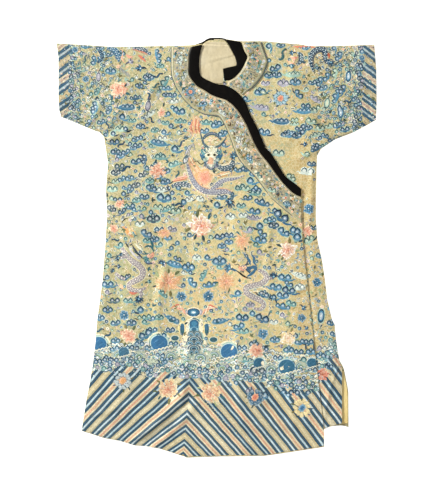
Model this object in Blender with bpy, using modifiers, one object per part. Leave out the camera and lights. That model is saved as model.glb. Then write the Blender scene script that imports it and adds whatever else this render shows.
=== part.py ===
"""Chinese dragon robe, laid flat with its front up.

Units are metres, +Z up, +Y towards the collar, +X towards the wearer's left
sleeve as the robe is looked at from above (the viewer's right).  The origin is
on the resting face, under the middle of the outline.  The tables are in
millimetres and MM turns them into metres.

The robe is layered as it is worn and laid down: two back panels, the linings
that show at the neck and in the side vent, the inner right front, the outer
left front with the overlap panel seamed to it, the collar border and the black
binding.  Every panel is a sheet of one wall thickness whose middle surface
follows the outline tables and the height functions below.
"""
import bpy
import bmesh
from mathutils import Vector
from mathutils.bvhtree import BVHTree
from math import cos, sin, pi, hypot, exp

MM = 0.001

# ---------------------------------------------------------------- sizes (mm)
CLOTH = 1.4            # lined silk panel, wall thickness
BORDER = 1.0           # collar border
BAND = 1.2             # black satin binding
PIPING = 1.0           # piping beside the border, height
PIPING_WIDTH = 2.4
LINING = 1.0
GAP = 0.3              # between pieces that touch or meet at a seam
SEAM = 0.15            # each side of a seam between two panels

LAY = CLOTH + GAP      # one panel lying directly on another
OPEN_SEP = 3.0         # middle of back to middle of front, away from the seams
OUTER_SEP = 2.4        # middle of the inner right front to middle of the overlap
EDGE_RUN = 16.0        # the front comes down to the side seam over this width
RELIEF_RUN = 75.0      # the folds die out over this width towards a side seam
BACK_LIFT = BAND + GAP # the back rides on its own neck binding and border

COLLAR_CENTRE = (0.0, 690.0)       # middle of the back neck
BACK_BORDER_RADII = (148.0, 128.0) # outer edge of the back border, an ellipse
BACK_BAND_RADII = (86.0, 46.0)     # outer edge of the back binding

KNOT_RADIUS = 2.6
TOGGLE_RADIUS = 2.5
RESTS_ON = 9.0         # a strip clears the panel's height within this distance

# ------------------------------------------------------------ outline tables
# shoulder line, from cuff to cuff: the fold of the cloth
SHOULDER = (  # x, y
    (-533, 679), (-445, 674), (-342, 667), (-152, 670), (-89, 672), (-47, 677),
    (28, 692), (81, 684), (163, 684), (223, 678), (319, 670), (378, 670), (525, 674))

# back neck edge, between the two shoulder points
BACK_NECK = ((-47, 675), (-35, 684), (-24, 689), (-8, 690), (14, 690), (28, 687))

# hem of the outer front, inner right front and back, left to right
HEM_OUTER = (  # x, y
    (-450, -611), (-375, -635), (-324, -644), (-270, -660), (-237, -662), (-194, -669),
    (-150, -683), (-103, -698), (-56, -696), (11, -694), (161, -692), (256, -678), (358, -662))
HEM_INNER = ((-80, -612), (200, -618), (300, -612), (358, -606), (379, -597), (418, -586))
HEM_BACK = ((-450, -607), (-375, -630), (-324, -639), (-237, -656), (-150, -676), (-60, -688),
            (160, -684), (256, -668), (320, -640), (358, -600), (379, -592), (418, -589), (440, -595))

# side and underarm of the body, bottom to top: y, x
LEFT_SIDE = (
    (-611, -450), (-509, -434), (-443, -421), (-376, -411), (-309, -403), (-243, -398),
    (-176, -389), (-109, -380), (-9, -372), (107, -365), (190, -369), (280, -362),
    (327, -369), (365, -375), (430, -315.5), (700, -315.5))
RIGHT_SIDE_INNER = (
    (-640, 418), (-396, 418), (-376, 409), (-309, 398), (-256, 393), (-243, 385),
    (-176, 369), (-109, 361), (-43, 351), (24, 336), (90, 331), (157, 331),
    (260, 333), (305, 335), (385, 291.5), (700, 291.5))
RIGHT_SIDE_BACK = (
    (-640, 440), (-483, 439), (-463, 436), (-409, 425), (-396, 420), (-376, 409),
    (-309, 398), (-256, 393), (-243, 385), (-176, 369), (-109, 361), (-43, 351),
    (24, 336), (90, 331), (157, 331), (260, 333), (305, 335), (385, 291.5), (700, 291.5))

# neck and centre edge of the left front, and free edge of the overlap: y, x
CENTRE_SEAM = ((-700, -103), (-293, -75), (307, -19), (490, -9), (543, -8))
LEFT_NECK = ((543, -9), (546, -14), (552, -27), (558, -39), (566, -52), (578, -57),
             (605, -60), (640, -58), (680, -49))
OVERLAP_EDGE = (
    (-665, 358), (-610, 358), (-509, 346), (-376, 331), (-176, 308), (24, 286), (167, 285),
    (189, 284), (193, 280), (205, 265), (219, 246), (237, 226), (279, 199), (311, 179),
    (329, 162), (361, 148), (394, 134), (422, 120), (449, 107), (476, 97), (498, 82),
    (518, 62), (530, 43), (538, 24), (540, 5), (541, -3))
# leading edge and neck edge of the inner right front: y, x
INNER_EDGE = (
    (-620, -72), (-293, -45), (307, 8), (490, 18), (540, 22), (590, 23), (595, 24),
    (600, 46), (604, 62), (610, 67), (622, 66), (636, 62), (651, 55), (668, 46),
    (679, 38), (692, 30))
BACK_SEAM = ((-700, -46), (300, -12), (700, -8))

# left sleeve and right sleeve, cuff line: y, x; underside line: x, y
LEFT_CUFF = ((434, -518), (460, -525), (504, -527), (630, -527), (679, -533))
RIGHT_CUFF = ((424, 531), (480, 533), (594, 532), (674, 525))
LEFT_UNDERSIDE = ((-518, 434), (-483, 420), (-428, 397), (-387, 381), (-375, 365), (-315, 365))
RIGHT_UNDERSIDE = ((291, 305), (335, 305), (348, 328), (397, 360), (457, 383), (503, 408), (531, 424))

# sections across the collar on the outer front, from the left shoulder round
# the neck and down the overlap's edge
COLLAR = (  # binding inner x, y; binding outer x, y; border outer x, y
    (-47, 675, -83, 667, -150, 666),
    (-56, 640, -91, 645, -150, 638),
    (-58, 605, -93, 608, -150, 602),
    (-55, 578, -93, 580, -148, 570),
    (-49, 567, -84, 560, -136, 536),
    (-36, 559, -64, 536, -109, 494),
    (-24, 553, -42, 523, -79, 464),
    (-10, 547, -19, 508, -45, 445),
    (6, 542, 5, 498, -12, 439),
    (25, 540, 28, 491, 9, 436),
    (44, 532, 44, 481, 21, 420),
    (64, 519, 58, 469, 30, 404),
    (84, 499, 71, 454, 38, 385),
    (99, 477, 82, 438, 45, 368),
    (109, 449, 92, 421, 52, 350),
    (122, 423, 102, 402, 58, 332),
    (136, 395, 113, 376, 66, 312),
    (150, 362, 126, 346, 76, 294),
    (164, 330, 139, 323, 92, 273),
    (181, 312, 153, 303, 110, 256),
    (201, 280, 173, 279, 131, 234),
    (227, 238, 200, 241, 156, 201),
    (247, 221, 224, 211, 186, 162),
    (266, 207, 247, 187, 218, 134),
    (275, 199, 263, 175, 250, 107),
    (281, 194, 281, 167, 283, 79))

# sections across the binding of the inner right front's neck
RIGHT_BAND = (  # inner x, y; outer x, y
    (27, 688, 34, 691),
    (36, 679, 58, 687),
    (44, 668, 83, 681),
    (53, 651, 91, 655),
    (60, 636, 100, 640),
    (64, 622, 102, 630),
    (66, 611, 95, 616),
    (63, 604, 88, 600),
    (50, 601, 76, 582),
    (36, 598, 60, 566),
    (29, 596, 44, 556),
    (21, 594, 25, 555))

# sections across the collar border on the inner right front
RIGHT_BORDER = (  # inner x, y; outer x, y
    (84, 681, 147, 682),
    (92, 655, 157, 655),
    (101, 640, 165, 633),
    (103, 629, 169, 618),
    (96, 614, 164, 600),
    (89, 598, 153, 574),
    (77, 580, 137, 552),
    (60, 563, 120, 533),
    (42, 553, 103, 521),
    (36, 541, 87, 506))

# soft folds of the front: a ridge along a line, highest in the middle of it
FOLDS = (  # x0, y0, x1, y1, height, half width
    (-375, 365, -270, 590, 4.0, 40),
    (335, 310, 240, 590, 4.0, 40),
    (-500, 560, -360, 530, 2.0, 30),
    (500, 545, 350, 510, 2.2, 30),
    (-235, 330, -310, -560, 4.5, 50),
    (-130, 260, -205, -600, 2.5, 40),
    (90, 180, 130, -640, 4.0, 55),
    (215, 120, 285, -620, 3.0, 40),
    (-340, 70, -215, 25, 1.8, 26),
    (-345, -60, -250, -30, 1.5, 26),
    (-215, -560, -40, -670, -2.0, 38),
    (20, 420, -60, 100, 2.0, 60))


# ------------------------------------------------------------------ functions
def along(table, t):
    """Second column of a table at t in its first column, straight between rows."""
    rows = table if table[0][0] < table[-1][0] else tuple(reversed(table))
    if t <= rows[0][0]:
        return rows[0][1]
    for (a, fa), (b, fb) in zip(rows, rows[1:]):
        if t <= b:
            return fa + (fb - fa) * (t - a) / (b - a)
    return rows[-1][1]


def mix(a, b, t):
    return a + (b - a) * t


def smooth(t):
    t = min(1.0, max(0.0, t))
    return t * t * (3 - 2 * t)


def to_line(points, x, y):
    """Distance from (x, y) to a chain of points."""
    best = 1e9
    for (ax, ay), (bx, by) in zip(points, points[1:]):
        ux, uy = bx - ax, by - ay
        t = min(1.0, max(0.0, ((x - ax) * ux + (y - ay) * uy) / (ux * ux + uy * uy)))
        best = min(best, hypot(x - ax - t * ux, y - ay - t * uy))
    return best


LEFT_CLOSED = tuple((x, y) for y, x in LEFT_SIDE if y < 370) + tuple(
    reversed(LEFT_UNDERSIDE[:-2]))
RIGHT_CLOSED = tuple((x, y) for y, x in RIGHT_SIDE_INNER if -400 < y < 310) + tuple(
    RIGHT_UNDERSIDE[2:])


def relief(x, y):
    """Height of the soft folds."""
    total = 0.0
    for x0, y0, x1, y1, height, half in FOLDS:
        ux, uy = x1 - x0, y1 - y0
        length = hypot(ux, uy)
        t = ((x - x0) * ux + (y - y0) * uy) / length ** 2
        off = ((x - x0) * uy - (y - y0) * ux) / length
        if -0.1 < t < 1.1:
            total += height * exp(-(off / half) ** 2) * smooth((t + 0.1) * 3) * smooth((1.1 - t) * 3)
    return total


def back_mid(x, y):
    """Middle of the back's wall: on the table, and up over the back collar."""
    cx, cy = COLLAR_CENTRE
    reach = hypot((x - cx) / (BACK_BORDER_RADII[0] + 40), (y - cy) / (BACK_BORDER_RADII[1] + 40))
    return CLOTH / 2 + BACK_LIFT * (1 - smooth((reach - 1.0) / 0.35))


def inner_mid(x, y):
    """Middle of the first front layer, which lies on the back."""
    edge = min(to_line(LEFT_CLOSED, x, y), to_line(RIGHT_CLOSED, x, y))
    folds = relief(x, y) * smooth(edge / RELIEF_RUN)
    vent = (LINING + GAP) * smooth((x - 330) / 30) * smooth((-330 - y) / 60)
    sep = mix(LAY, OPEN_SEP + max(-0.9, folds), smooth(edge / EDGE_RUN))
    return back_mid(x, y) + sep + vent * smooth(edge / EDGE_RUN + (y < -396))


def outer_mid(x, y):
    """Middle of the outer front: over the inner right front from the centre on."""
    centre = along(CENTRE_SEAM, y)
    return inner_mid(x, y) + OUTER_SEP * smooth((x - centre + 55) / 65)


def shoulder_drop(x, y, run=9.0):
    """How far a front's top edge comes down to meet the back at the shoulder."""
    return (OPEN_SEP - LAY) * smooth(1 - (along(SHOULDER, x) - y) / run)


def new_object(name, mesh, colour, roughness, metallic=0.0):
    obj = bpy.data.objects.new(name, mesh)
    PARTS.objects.link(obj)
    mat = bpy.data.materials.new(name + "_material")
    mat.use_nodes = True
    bsdf = mat.node_tree.nodes["Principled BSDF"]
    bsdf.inputs["Base Color"].default_value = (*colour, 1)
    bsdf.inputs["Roughness"].default_value = roughness
    bsdf.inputs["Metallic"].default_value = metallic
    mat.diffuse_color = (*colour, 1)
    mesh.materials.append(mat)
    return obj


def cloth(name, columns, rows, place, wall, colour, roughness=0.6):
    """A sheet of cloth: a grid put in place by place(column, row), given a wall."""
    bm = bmesh.new()
    bmesh.ops.create_grid(bm, x_segments=len(columns) - 1, y_segments=len(rows) - 1, size=0.5)
    n, m = len(columns) - 1, len(rows) - 1
    for v in bm.verts:
        x, y, z = place(columns[round((v.co.x + 0.5) * n)], rows[round((v.co.y + 0.5) * m)])
        v.co = (x * MM, y * MM, z * MM)
    bmesh.ops.recalc_face_normals(bm, faces=bm.faces)
    mesh = bpy.data.meshes.new(name)
    bm.to_mesh(mesh)
    bm.free()
    mesh.shade_smooth()
    obj = new_object(name, mesh, colour, roughness)
    wall_mod = obj.modifiers.new("wall", "SOLIDIFY")
    wall_mod.thickness = wall * MM
    wall_mod.offset = 0.0
    wall_mod.use_even_offset = True
    return obj


def spread(count, ends=0.0):
    """count + 1 stations from 0 to 1, with an extra one close to each end."""
    inner = [i / count for i in range(count + 1)]
    if ends:
        inner = [0.0, ends] + inner[1:-1] + [1 - ends, 1.0]
    return inner


def levels(*ys):
    """Row stations of a panel, by their height on it."""
    return list(ys)


def panel(name, left, right, hem, top, middle, rows, columns, colour, lift=None, exact="left"):
    """A body panel between two side tables (y, x), a hem and a top (x, y).

    Each row's level is its exact height at the panel's left or right edge.
    """
    side = left if exact == "left" else right

    def place(u, level):
        edge_x = along(side, level)
        low, high = along(hem, edge_x), along(top, edge_x)
        s = (level - low) / (high - low)
        s = 0.0 if level == rows[0] else 1.0 if level == rows[-1] else s
        x, y = 0.0, level
        for _ in range(24):
            x = mix(x, mix(along(left, y), along(right, y), u), 0.7)
            y = mix(y, mix(along(hem, x), along(top, x), s), 0.7)
        z = middle(x, y)
        if lift:
            z -= lift(x, y)
        return x, y, z
    return cloth(name, columns, rows, place, CLOTH, colour)


def lying_on(*carriers, reach=None, beside=-1000.0):
    """Height of the middle of the panels below a point, the highest close around it."""
    reach = reach or RESTS_ON
    trees = []
    for obj in carriers:
        faces = [tuple(p.vertices) for p in obj.data.polygons]
        trees.append(BVHTree.FromPolygons([v.co for v in obj.data.vertices], faces))
    near = [(0, 0)] + [(reach * cos(k * pi / 4), reach * sin(k * pi / 4)) for k in range(8)]

    def middle(x, y):
        found = []
        for dx, dy in near:
            for tree in trees:
                hit = tree.ray_cast(Vector(((x + dx) * MM, (y + dy) * MM, 1.0)), Vector((0, 0, -1)))
                if hit[0] is not None:
                    found.append(hit[0].z / MM)
        return max(found, default=beside)
    return middle


def shifted(table, by):
    return tuple((y, x + by) for y, x in table)


def strip(name, sections, middle, above, wall, across, colour, roughness=0.6):
    """A strip lying on a panel: sections (x, y) to (x, y), raised above its middle."""
    rows = list(range(len(sections)))

    def place(u, k):
        ax, ay, bx, by = sections[k]
        x, y = mix(ax, bx, u), mix(ay, by, u)
        return x, y, middle(x, y) + above
    return cloth(name, spread(across), rows, place, wall, colour, roughness)


def moved_out(ax, ay, bx, by, d):
    """The point (bx, by) moved by d away from (ax, ay)."""
    length = hypot(bx - ax, by - ay)
    return bx + (bx - ax) * d / length, by + (by - ay) * d / length


def sleeve(name, cuff, seam, underside, columns, heights, colour):
    """A sleeve: one piece folded at the shoulder line, front and back wall."""
    arc = 4

    def place(u, row):
        side, s = row
        x, y = 0.0, 500.0
        for _ in range(24):
            x = mix(x, mix(along(cuff, y), along(seam, y), u), 0.7)
            y = mix(y, mix(along(underside, x), along(SHOULDER, x), s), 0.7)
        radius = OPEN_SEP / 2
        fold = along(SHOULDER, x) - radius
        if side == "arc":
            angle = pi / 2 - s_arc[row]
            return x, fold + radius * cos(angle), back_mid(x, fold) + radius + radius * sin(angle)
        y = min(y, fold - 0.4) if s > 0.9 else y
        z = inner_mid(x, y) if side == "front" else back_mid(x, y)
        return x, y, z

    s_arc = {("arc", 1.0 + k * 1e-6): pi * k / arc for k in range(arc + 1)}
    rows = [("front", s) for s in heights] + sorted(s_arc) + [("back", s) for s in reversed(heights)]
    return cloth(name, columns, rows, place, CLOTH, colour)


# ---------------------------------------------------------------------- build
for old in list(bpy.data.objects):
    bpy.data.objects.remove(old, do_unlink=True)
PARTS = bpy.data.collections.new("chinese_dragon_robe")
bpy.context.scene.collection.children.link(PARTS)

GOLD = (0.60, 0.47, 0.21)
GOLD_PALE = (0.62, 0.49, 0.25)
BLACK = (0.012, 0.011, 0.010)
CREAM = (0.77, 0.66, 0.42)
YELLOW = (0.60, 0.45, 0.16)
PALE = (0.66, 0.58, 0.38)
BLUE = (0.09, 0.17, 0.32)

COLUMNS = spread(7, 0.035)
FRONT_LEVELS = levels(-612, -585, -540, -470, -400, -330, -260, -190, -120, -50, 20, 90, 160,
                      220, 280, 327, 365, 397, 430, 475, 515, 538, 546, 553, 561, 570, 582, 605,
                      632, 648, 657, 662, 668)
BACK_LEFT_LEVELS = levels(-612, -560, -480, -400, -309, -243, -176, -109, -9, 107, 190, 280, 327,
                          365, 397, 430, 500, 530, 555, 580, 610, 640, 668)
BACK_RIGHT_LEVELS = levels(-600, -540, -483, -463, -409, -396, -376, -309, -256, -243, -176, -109,
                           -43, 24, 90, 157, 260, 305, 345, 385, 440, 500, 530, 555, 580, 610, 640,
                           675)

# two back panels, joined at the centre-back seam
BACK_TOP = tuple((x, y - 0.3) for x, y in SHOULDER if x < -47 or x > 30) + BACK_NECK
BACK_TOP = tuple(sorted(BACK_TOP))
back_left = panel("back_left", LEFT_SIDE, shifted(BACK_SEAM, -SEAM), HEM_BACK, BACK_TOP, back_mid,
      BACK_LEFT_LEVELS, spread(6), GOLD_PALE)
back_right = panel("back_right", shifted(BACK_SEAM, SEAM), RIGHT_SIDE_BACK, HEM_BACK, BACK_TOP, back_mid,
      BACK_RIGHT_LEVELS, spread(6), GOLD_PALE, exact="right")

# inner right front, under the overlap
INNER_LEVELS = levels(-586, -540, -470, -409, -396, -376, -309, -256, -243, -176, -109, -43, 24,
                      90, 157, 210, 260, 305, 345, 385, 440, 490, 540, 570, 582, 587, 591, 595,
                      601, 612, 625, 640, 654, 663, 669, 674)
inner = panel("front_right_inner", INNER_EDGE, RIGHT_SIDE_INNER, HEM_INNER, SHOULDER, inner_mid,
      INNER_LEVELS, COLUMNS, GOLD_PALE, shoulder_drop, exact="right")

# outer front: left half and the overlap panel, joined at the centre-front seam
LEFT_FRONT_EDGE = tuple((y, x - SEAM) for y, x in CENTRE_SEAM[:-1]) + LEFT_NECK
front_left = panel("front_left", LEFT_SIDE, LEFT_FRONT_EDGE, HEM_OUTER, SHOULDER, outer_mid,
      FRONT_LEVELS, COLUMNS, GOLD, shoulder_drop)
OVERLAP_TOP = ((-8, 541), (300, 541))
OVERLAP_LEVELS = levels(-665, -600, -540, -470, -400, -330, -260, -190, -120, -50, 24, 90, 140,
                        167, 189, 193, 205, 219, 237, 258, 279, 311, 329, 361, 394, 422, 449,
                        476, 498, 518, 530, 538, 541)
under_overlap = lying_on(inner, reach=22.0)


def overlap_mid(x, y):
    return max(outer_mid(x, y), under_overlap(x, y) + LAY + 0.2)


overlap = panel("front_overlap", shifted(CENTRE_SEAM, SEAM), OVERLAP_EDGE, HEM_OUTER, OVERLAP_TOP, overlap_mid,
      OVERLAP_LEVELS, COLUMNS, GOLD, exact="right")

# sleeves
LEFT_SEAM = tuple((y, x - 2 * SEAM) for y, x in LEFT_SIDE if y > 360)
RIGHT_SEAM = tuple((y, x + 2 * SEAM) for y, x in RIGHT_SIDE_INNER if y > 300)


def heights(corner):
    """Row stations up a sleeve, from the underarm seam to the fold, through the corner."""
    return [0.0, corner * 0.3, corner * 0.65, corner, 0.32, 0.46, 0.6, 0.74, 0.88, 0.97]


left_corner = (430 - 365) / (along(SHOULDER, LEFT_SEAM[-1][1]) - 365)
right_corner = (385 - 305) / (along(SHOULDER, RIGHT_SEAM[-1][1]) - 305)
sleeve("sleeve_left", LEFT_CUFF, LEFT_SEAM, LEFT_UNDERSIDE, spread(6), heights(left_corner), GOLD)
sleeve("sleeve_right", RIGHT_CUFF, RIGHT_SEAM, RIGHT_UNDERSIDE, spread(6),
       heights(right_corner), GOLD)

# collar border, piping and binding on the outer front
on_cloth = CLOTH / 2 + GAP
on_outer = lying_on(front_left, overlap)
on_inner = lying_on(inner)
on_back = lying_on(back_left, back_right)
border_sections = [moved_out(px, py, bx, by, -0.4) + (px, py)
                   for _, _, bx, by, px, py in COLLAR]
strip("collar_border_front", border_sections, on_outer, on_cloth + BORDER / 2, BORDER, 3,
      PALE)
piping_sections = [moved_out(bx, by, px, py, 0.4) + moved_out(bx, by, px, py, 0.4 + PIPING_WIDTH)
                   for _, _, bx, by, px, py in COLLAR[:-1]]
strip("piping_front", piping_sections, on_outer, on_cloth + PIPING / 2, PIPING, 1, BLUE)
strip("neck_binding_front", [row[:4] for row in COLLAR], on_outer, on_cloth + BAND / 2, BAND, 3,
      BLACK, 0.35)

# the same on the inner right front
strip("neck_binding_right", RIGHT_BAND, on_inner, on_cloth + BAND / 2, BAND, 3, BLACK, 0.35)
strip("collar_border_right", [moved_out(px, py, bx, by, -0.8) + (px, py)
                              for bx, by, px, py in RIGHT_BORDER],
      on_inner, on_cloth + BORDER / 2, BORDER, 3, PALE)
strip("piping_right", [moved_out(bx, by, px, py, 0.4) + moved_out(bx, by, px, py, 0.4 + PIPING_WIDTH)
                       for bx, by, px, py in RIGHT_BORDER[:-1]],
      on_inner, on_cloth + PIPING / 2, PIPING, 1, BLUE)


# back neck binding and back border, under the back panels: half ellipses
def ring_point(radii, k, steps, inset):
    angle = pi + pi * (inset + (1 - 2 * inset) * k / steps)
    return COLLAR_CENTRE[0] + radii[0] * cos(angle), COLLAR_CENTRE[1] + radii[1] * sin(angle)


STEPS = 18
band_back = []
for k in range(STEPS + 1):
    ox, oy = ring_point(BACK_BAND_RADII, k, STEPS, 0.125)
    nx = mix(-48, 29, k / STEPS)
    band_back.append((nx, along(BACK_NECK, nx) + 8.2, ox, oy))
strip("neck_binding_back", band_back, lambda x, y: BAND / 2, 0.0, BAND, 3, BLACK, 0.35)
border_back = []
for k in range(STEPS + 1):
    ax, ay = ring_point((BACK_BAND_RADII[0] + 0.6, BACK_BAND_RADII[1] + 0.6), k, STEPS, 0.13)
    bx, by = ring_point(BACK_BORDER_RADII, k, STEPS, 0.06)
    border_back.append((ax, ay, bx, by))
strip("collar_border_back", border_back, lambda x, y: BORDER / 2, 0.0, BORDER, 3, PALE)

# lining, where it shows: inside the neck, and in the side vent
NECK_LINING = (  # y, left x, right x
    (545, -20, 16), (552, -34, 30), (562, -52, 44), (580, -64, 60), (605, -68, 74), (628, -66, 70),
    (640, -56, 58), (652, -54, 52), (664, -52, 45), (674, -46, 38), (680, -38, 33), (684, -30, 26))
strip("neck_lining", [(l, y, r, y) for y, l, r in NECK_LINING], on_back,
      on_cloth + LINING / 2, LINING, 6, CREAM)
VENT_LINING = (  # y, left x, right x
    (-588, 412, 438), (-560, 411, 438), (-520, 410, 438), (-483, 410, 437), (-463, 410, 434),
    (-440, 409, 429), (-412, 408, 423))
strip("vent_lining", [(l, y, r, y) for y, l, r in VENT_LINING], on_back,
      on_cloth + LINING / 2, LINING, 2, YELLOW)


# knots of the closing
def knot(name, x, y, z, radius):
    bm = bmesh.new()
    bmesh.ops.create_uvsphere(bm, u_segments=12, v_segments=8, radius=radius * MM)
    mesh = bpy.data.meshes.new(name)
    bm.to_mesh(mesh)
    bm.free()
    mesh.shade_smooth()
    obj = new_object(name, mesh, BLACK, 0.4)
    obj.location = (x * MM, y * MM, z * MM)
    return obj


kx, ky = 24.0, 549.5
knot("knot_neck", kx, ky, on_inner(kx, ky) + CLOTH / 2 + GAP + KNOT_RADIUS, KNOT_RADIUS)
tx, ty = 125.0, 682.0
knot("knot_shoulder", tx, ty, on_inner(tx, ty) + CLOTH / 2 + BORDER + 2 * GAP + TOGGLE_RADIUS,
     TOGGLE_RADIUS)
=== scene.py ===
"""Looks of the chinese dragon robe, laid flat with its front up.

Work is in millimetres in the robe's own frame (x to the viewer's right, y to
the collar, z up) and is turned into metres when a mesh is made.
"""
from math import cos, sin, pi, hypot, radians, degrees, atan2, sqrt
import bpy
import numpy as np
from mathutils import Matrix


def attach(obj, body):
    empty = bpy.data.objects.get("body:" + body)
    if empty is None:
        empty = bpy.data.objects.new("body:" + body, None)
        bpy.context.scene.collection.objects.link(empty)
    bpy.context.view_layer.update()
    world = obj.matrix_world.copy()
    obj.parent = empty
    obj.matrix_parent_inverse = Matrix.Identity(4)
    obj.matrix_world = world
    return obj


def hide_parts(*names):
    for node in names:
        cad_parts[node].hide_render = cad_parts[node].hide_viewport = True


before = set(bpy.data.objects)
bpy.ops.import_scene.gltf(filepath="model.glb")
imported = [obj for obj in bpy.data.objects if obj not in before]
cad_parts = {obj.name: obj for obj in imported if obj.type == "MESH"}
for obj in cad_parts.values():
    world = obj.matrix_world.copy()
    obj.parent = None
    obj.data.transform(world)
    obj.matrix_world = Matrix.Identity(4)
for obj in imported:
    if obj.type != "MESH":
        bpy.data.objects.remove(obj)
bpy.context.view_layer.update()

MM = 0.001
SHELL = 0.9            # thickness of a silk panel as seen
RNG = np.random.default_rng(1644)

# ============================================================ the cut (mm)
CLOTH, GAP, SEAM = 1.4, 0.3, 0.15
LAY = CLOTH + GAP
OPEN_SEP, OUTER_SEP = 3.0, 2.4
EDGE_RUN, RELIEF_RUN = 16.0, 75.0
BACK_LIFT = 1.5
COLLAR_CENTRE = (0.0, 690.0)
BACK_BORDER_RADII = (148.0, 128.0)
BACK_BAND_RADII = (86.0, 46.0)

SHOULDER = (  # x, y: fold of the cloth, cuff to cuff
    (-533, 679), (-445, 674), (-342, 667), (-152, 670), (-89, 672), (-47, 677),
    (28, 692), (81, 684), (163, 684), (223, 678), (319, 670), (378, 670), (525, 674))
BACK_NECK = ((-47, 675), (-35, 684), (-24, 689), (-8, 690), (14, 690), (28, 687))
HEM_OUTER = (  # x, y
    (-450, -611), (-375, -635), (-324, -644), (-270, -660), (-237, -662), (-194, -669),
    (-150, -683), (-103, -698), (-56, -696), (11, -694), (161, -692), (256, -678), (358, -662))
HEM_INNER = ((-80, -612), (200, -618), (300, -612), (358, -606), (379, -597), (418, -586))
HEM_BACK = ((-450, -607), (-375, -630), (-324, -639), (-237, -656), (-150, -676), (-60, -688),
            (160, -684), (256, -668), (320, -640), (358, -600), (379, -592), (418, -589), (440, -595))
LEFT_SIDE = (  # y, x
    (-611, -450), (-509, -434), (-443, -421), (-376, -411), (-309, -403), (-243, -398),
    (-176, -389), (-109, -380), (-9, -372), (107, -365), (190, -369), (280, -362),
    (327, -369), (365, -375), (430, -315.5), (700, -315.5))
RIGHT_SIDE_INNER = (
    (-640, 418), (-396, 418), (-376, 409), (-309, 398), (-256, 393), (-243, 385),
    (-176, 369), (-109, 361), (-43, 351), (24, 336), (90, 331), (157, 331),
    (260, 333), (305, 335), (385, 291.5), (700, 291.5))
RIGHT_SIDE_BACK = (
    (-640, 440), (-483, 439), (-463, 436), (-409, 425), (-396, 420), (-376, 409),
    (-309, 398), (-256, 393), (-243, 385), (-176, 369), (-109, 361), (-43, 351),
    (24, 336), (90, 331), (157, 331), (260, 333), (305, 335), (385, 291.5), (700, 291.5))
CENTRE_SEAM = ((-700, -103), (-293, -75), (307, -19), (490, -9), (543, -8))
LEFT_NECK = ((543, -9), (546, -14), (552, -27), (558, -39), (566, -52), (578, -57),
             (605, -60), (640, -58), (680, -49))
OVERLAP_EDGE = (
    (-665, 358), (-610, 358), (-509, 346), (-376, 331), (-176, 308), (24, 286), (167, 285),
    (189, 284), (193, 280), (205, 265), (219, 246), (237, 226), (279, 199), (311, 179),
    (329, 162), (361, 148), (394, 134), (422, 120), (449, 107), (476, 97), (498, 82),
    (518, 62), (530, 43), (538, 24), (540, 5), (541, -3))
INNER_EDGE = (
    (-620, -72), (-293, -45), (307, 8), (490, 18), (540, 22), (590, 23), (595, 24),
    (600, 46), (604, 62), (610, 67), (622, 66), (636, 62), (651, 55), (668, 46),
    (679, 38), (692, 30))
BACK_SEAM = ((-700, -46), (300, -12), (700, -8))
LEFT_CUFF = ((434, -518), (460, -525), (504, -527), (630, -527), (679, -533))
RIGHT_CUFF = ((424, 531), (480, 533), (594, 532), (674, 525))
LEFT_UNDERSIDE = ((-518, 434), (-483, 420), (-428, 397), (-387, 381), (-375, 365), (-315, 365))
RIGHT_UNDERSIDE = ((291, 305), (335, 305), (348, 328), (397, 360), (457, 383), (503, 408), (531, 424))

COLLAR = (  # binding inner x, y; binding outer x, y; border outer x, y
    (-47, 675, -83, 667, -150, 666),
    (-56, 640, -91, 645, -150, 638),
    (-58, 605, -93, 608, -150, 602),
    (-55, 578, -93, 580, -148, 570),
    (-49, 567, -84, 560, -136, 536),
    (-36, 559, -64, 536, -109, 494),
    (-24, 553, -42, 523, -79, 464),
    (-10, 547, -19, 508, -45, 445),
    (6, 542, 5, 498, -12, 439),
    (25, 540, 28, 491, 9, 436),
    (44, 532, 44, 481, 21, 420),
    (64, 519, 58, 469, 30, 404),
    (84, 499, 71, 454, 38, 385),
    (99, 477, 82, 438, 45, 368),
    (109, 449, 92, 421, 52, 350),
    (122, 423, 102, 402, 58, 332),
    (136, 395, 113, 376, 66, 312),
    (150, 362, 126, 346, 76, 294),
    (164, 330, 139, 323, 92, 273),
    (181, 312, 153, 303, 110, 256),
    (201, 280, 173, 279, 131, 234),
    (227, 238, 200, 241, 156, 201),
    (247, 221, 224, 211, 186, 162),
    (266, 207, 247, 187, 218, 134),
    (275, 199, 263, 175, 250, 107),
    (281, 194, 281, 167, 283, 79))
RIGHT_BAND = (  # inner x, y; outer x, y
    (27, 688, 34, 691), (36, 679, 58, 687), (44, 668, 83, 681), (53, 651, 91, 655),
    (60, 636, 100, 640), (64, 622, 102, 630), (66, 611, 95, 616), (63, 604, 88, 600),
    (50, 601, 76, 582), (36, 598, 60, 566), (29, 596, 44, 556), (21, 594, 25, 555))
RIGHT_BORDER = (  # inner x, y; outer x, y
    (84, 681, 147, 682), (92, 655, 157, 655), (101, 640, 165, 633), (103, 629, 169, 618),
    (96, 614, 164, 600), (89, 598, 153, 574), (77, 580, 137, 552), (60, 563, 120, 533),
    (42, 553, 103, 521), (36, 541, 87, 506))
FOLDS = (  # x0, y0, x1, y1, height, half width
    (-375, 365, -270, 590, 4.0, 40),
    (335, 310, 240, 590, 4.0, 40),
    (-500, 560, -360, 530, 2.0, 30),
    (500, 545, 350, 510, 2.2, 30),
    (-235, 330, -310, -560, 4.5, 50),
    (-130, 260, -205, -600, 2.5, 40),
    (90, 180, 130, -640, 4.0, 55),
    (215, 120, 285, -620, 3.0, 40),
    (-340, 70, -215, 25, 1.8, 26),
    (-345, -60, -250, -30, 1.5, 26),
    (-215, -560, -40, -670, -2.0, 38),
    (20, 420, -60, 100, 2.0, 60))
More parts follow.
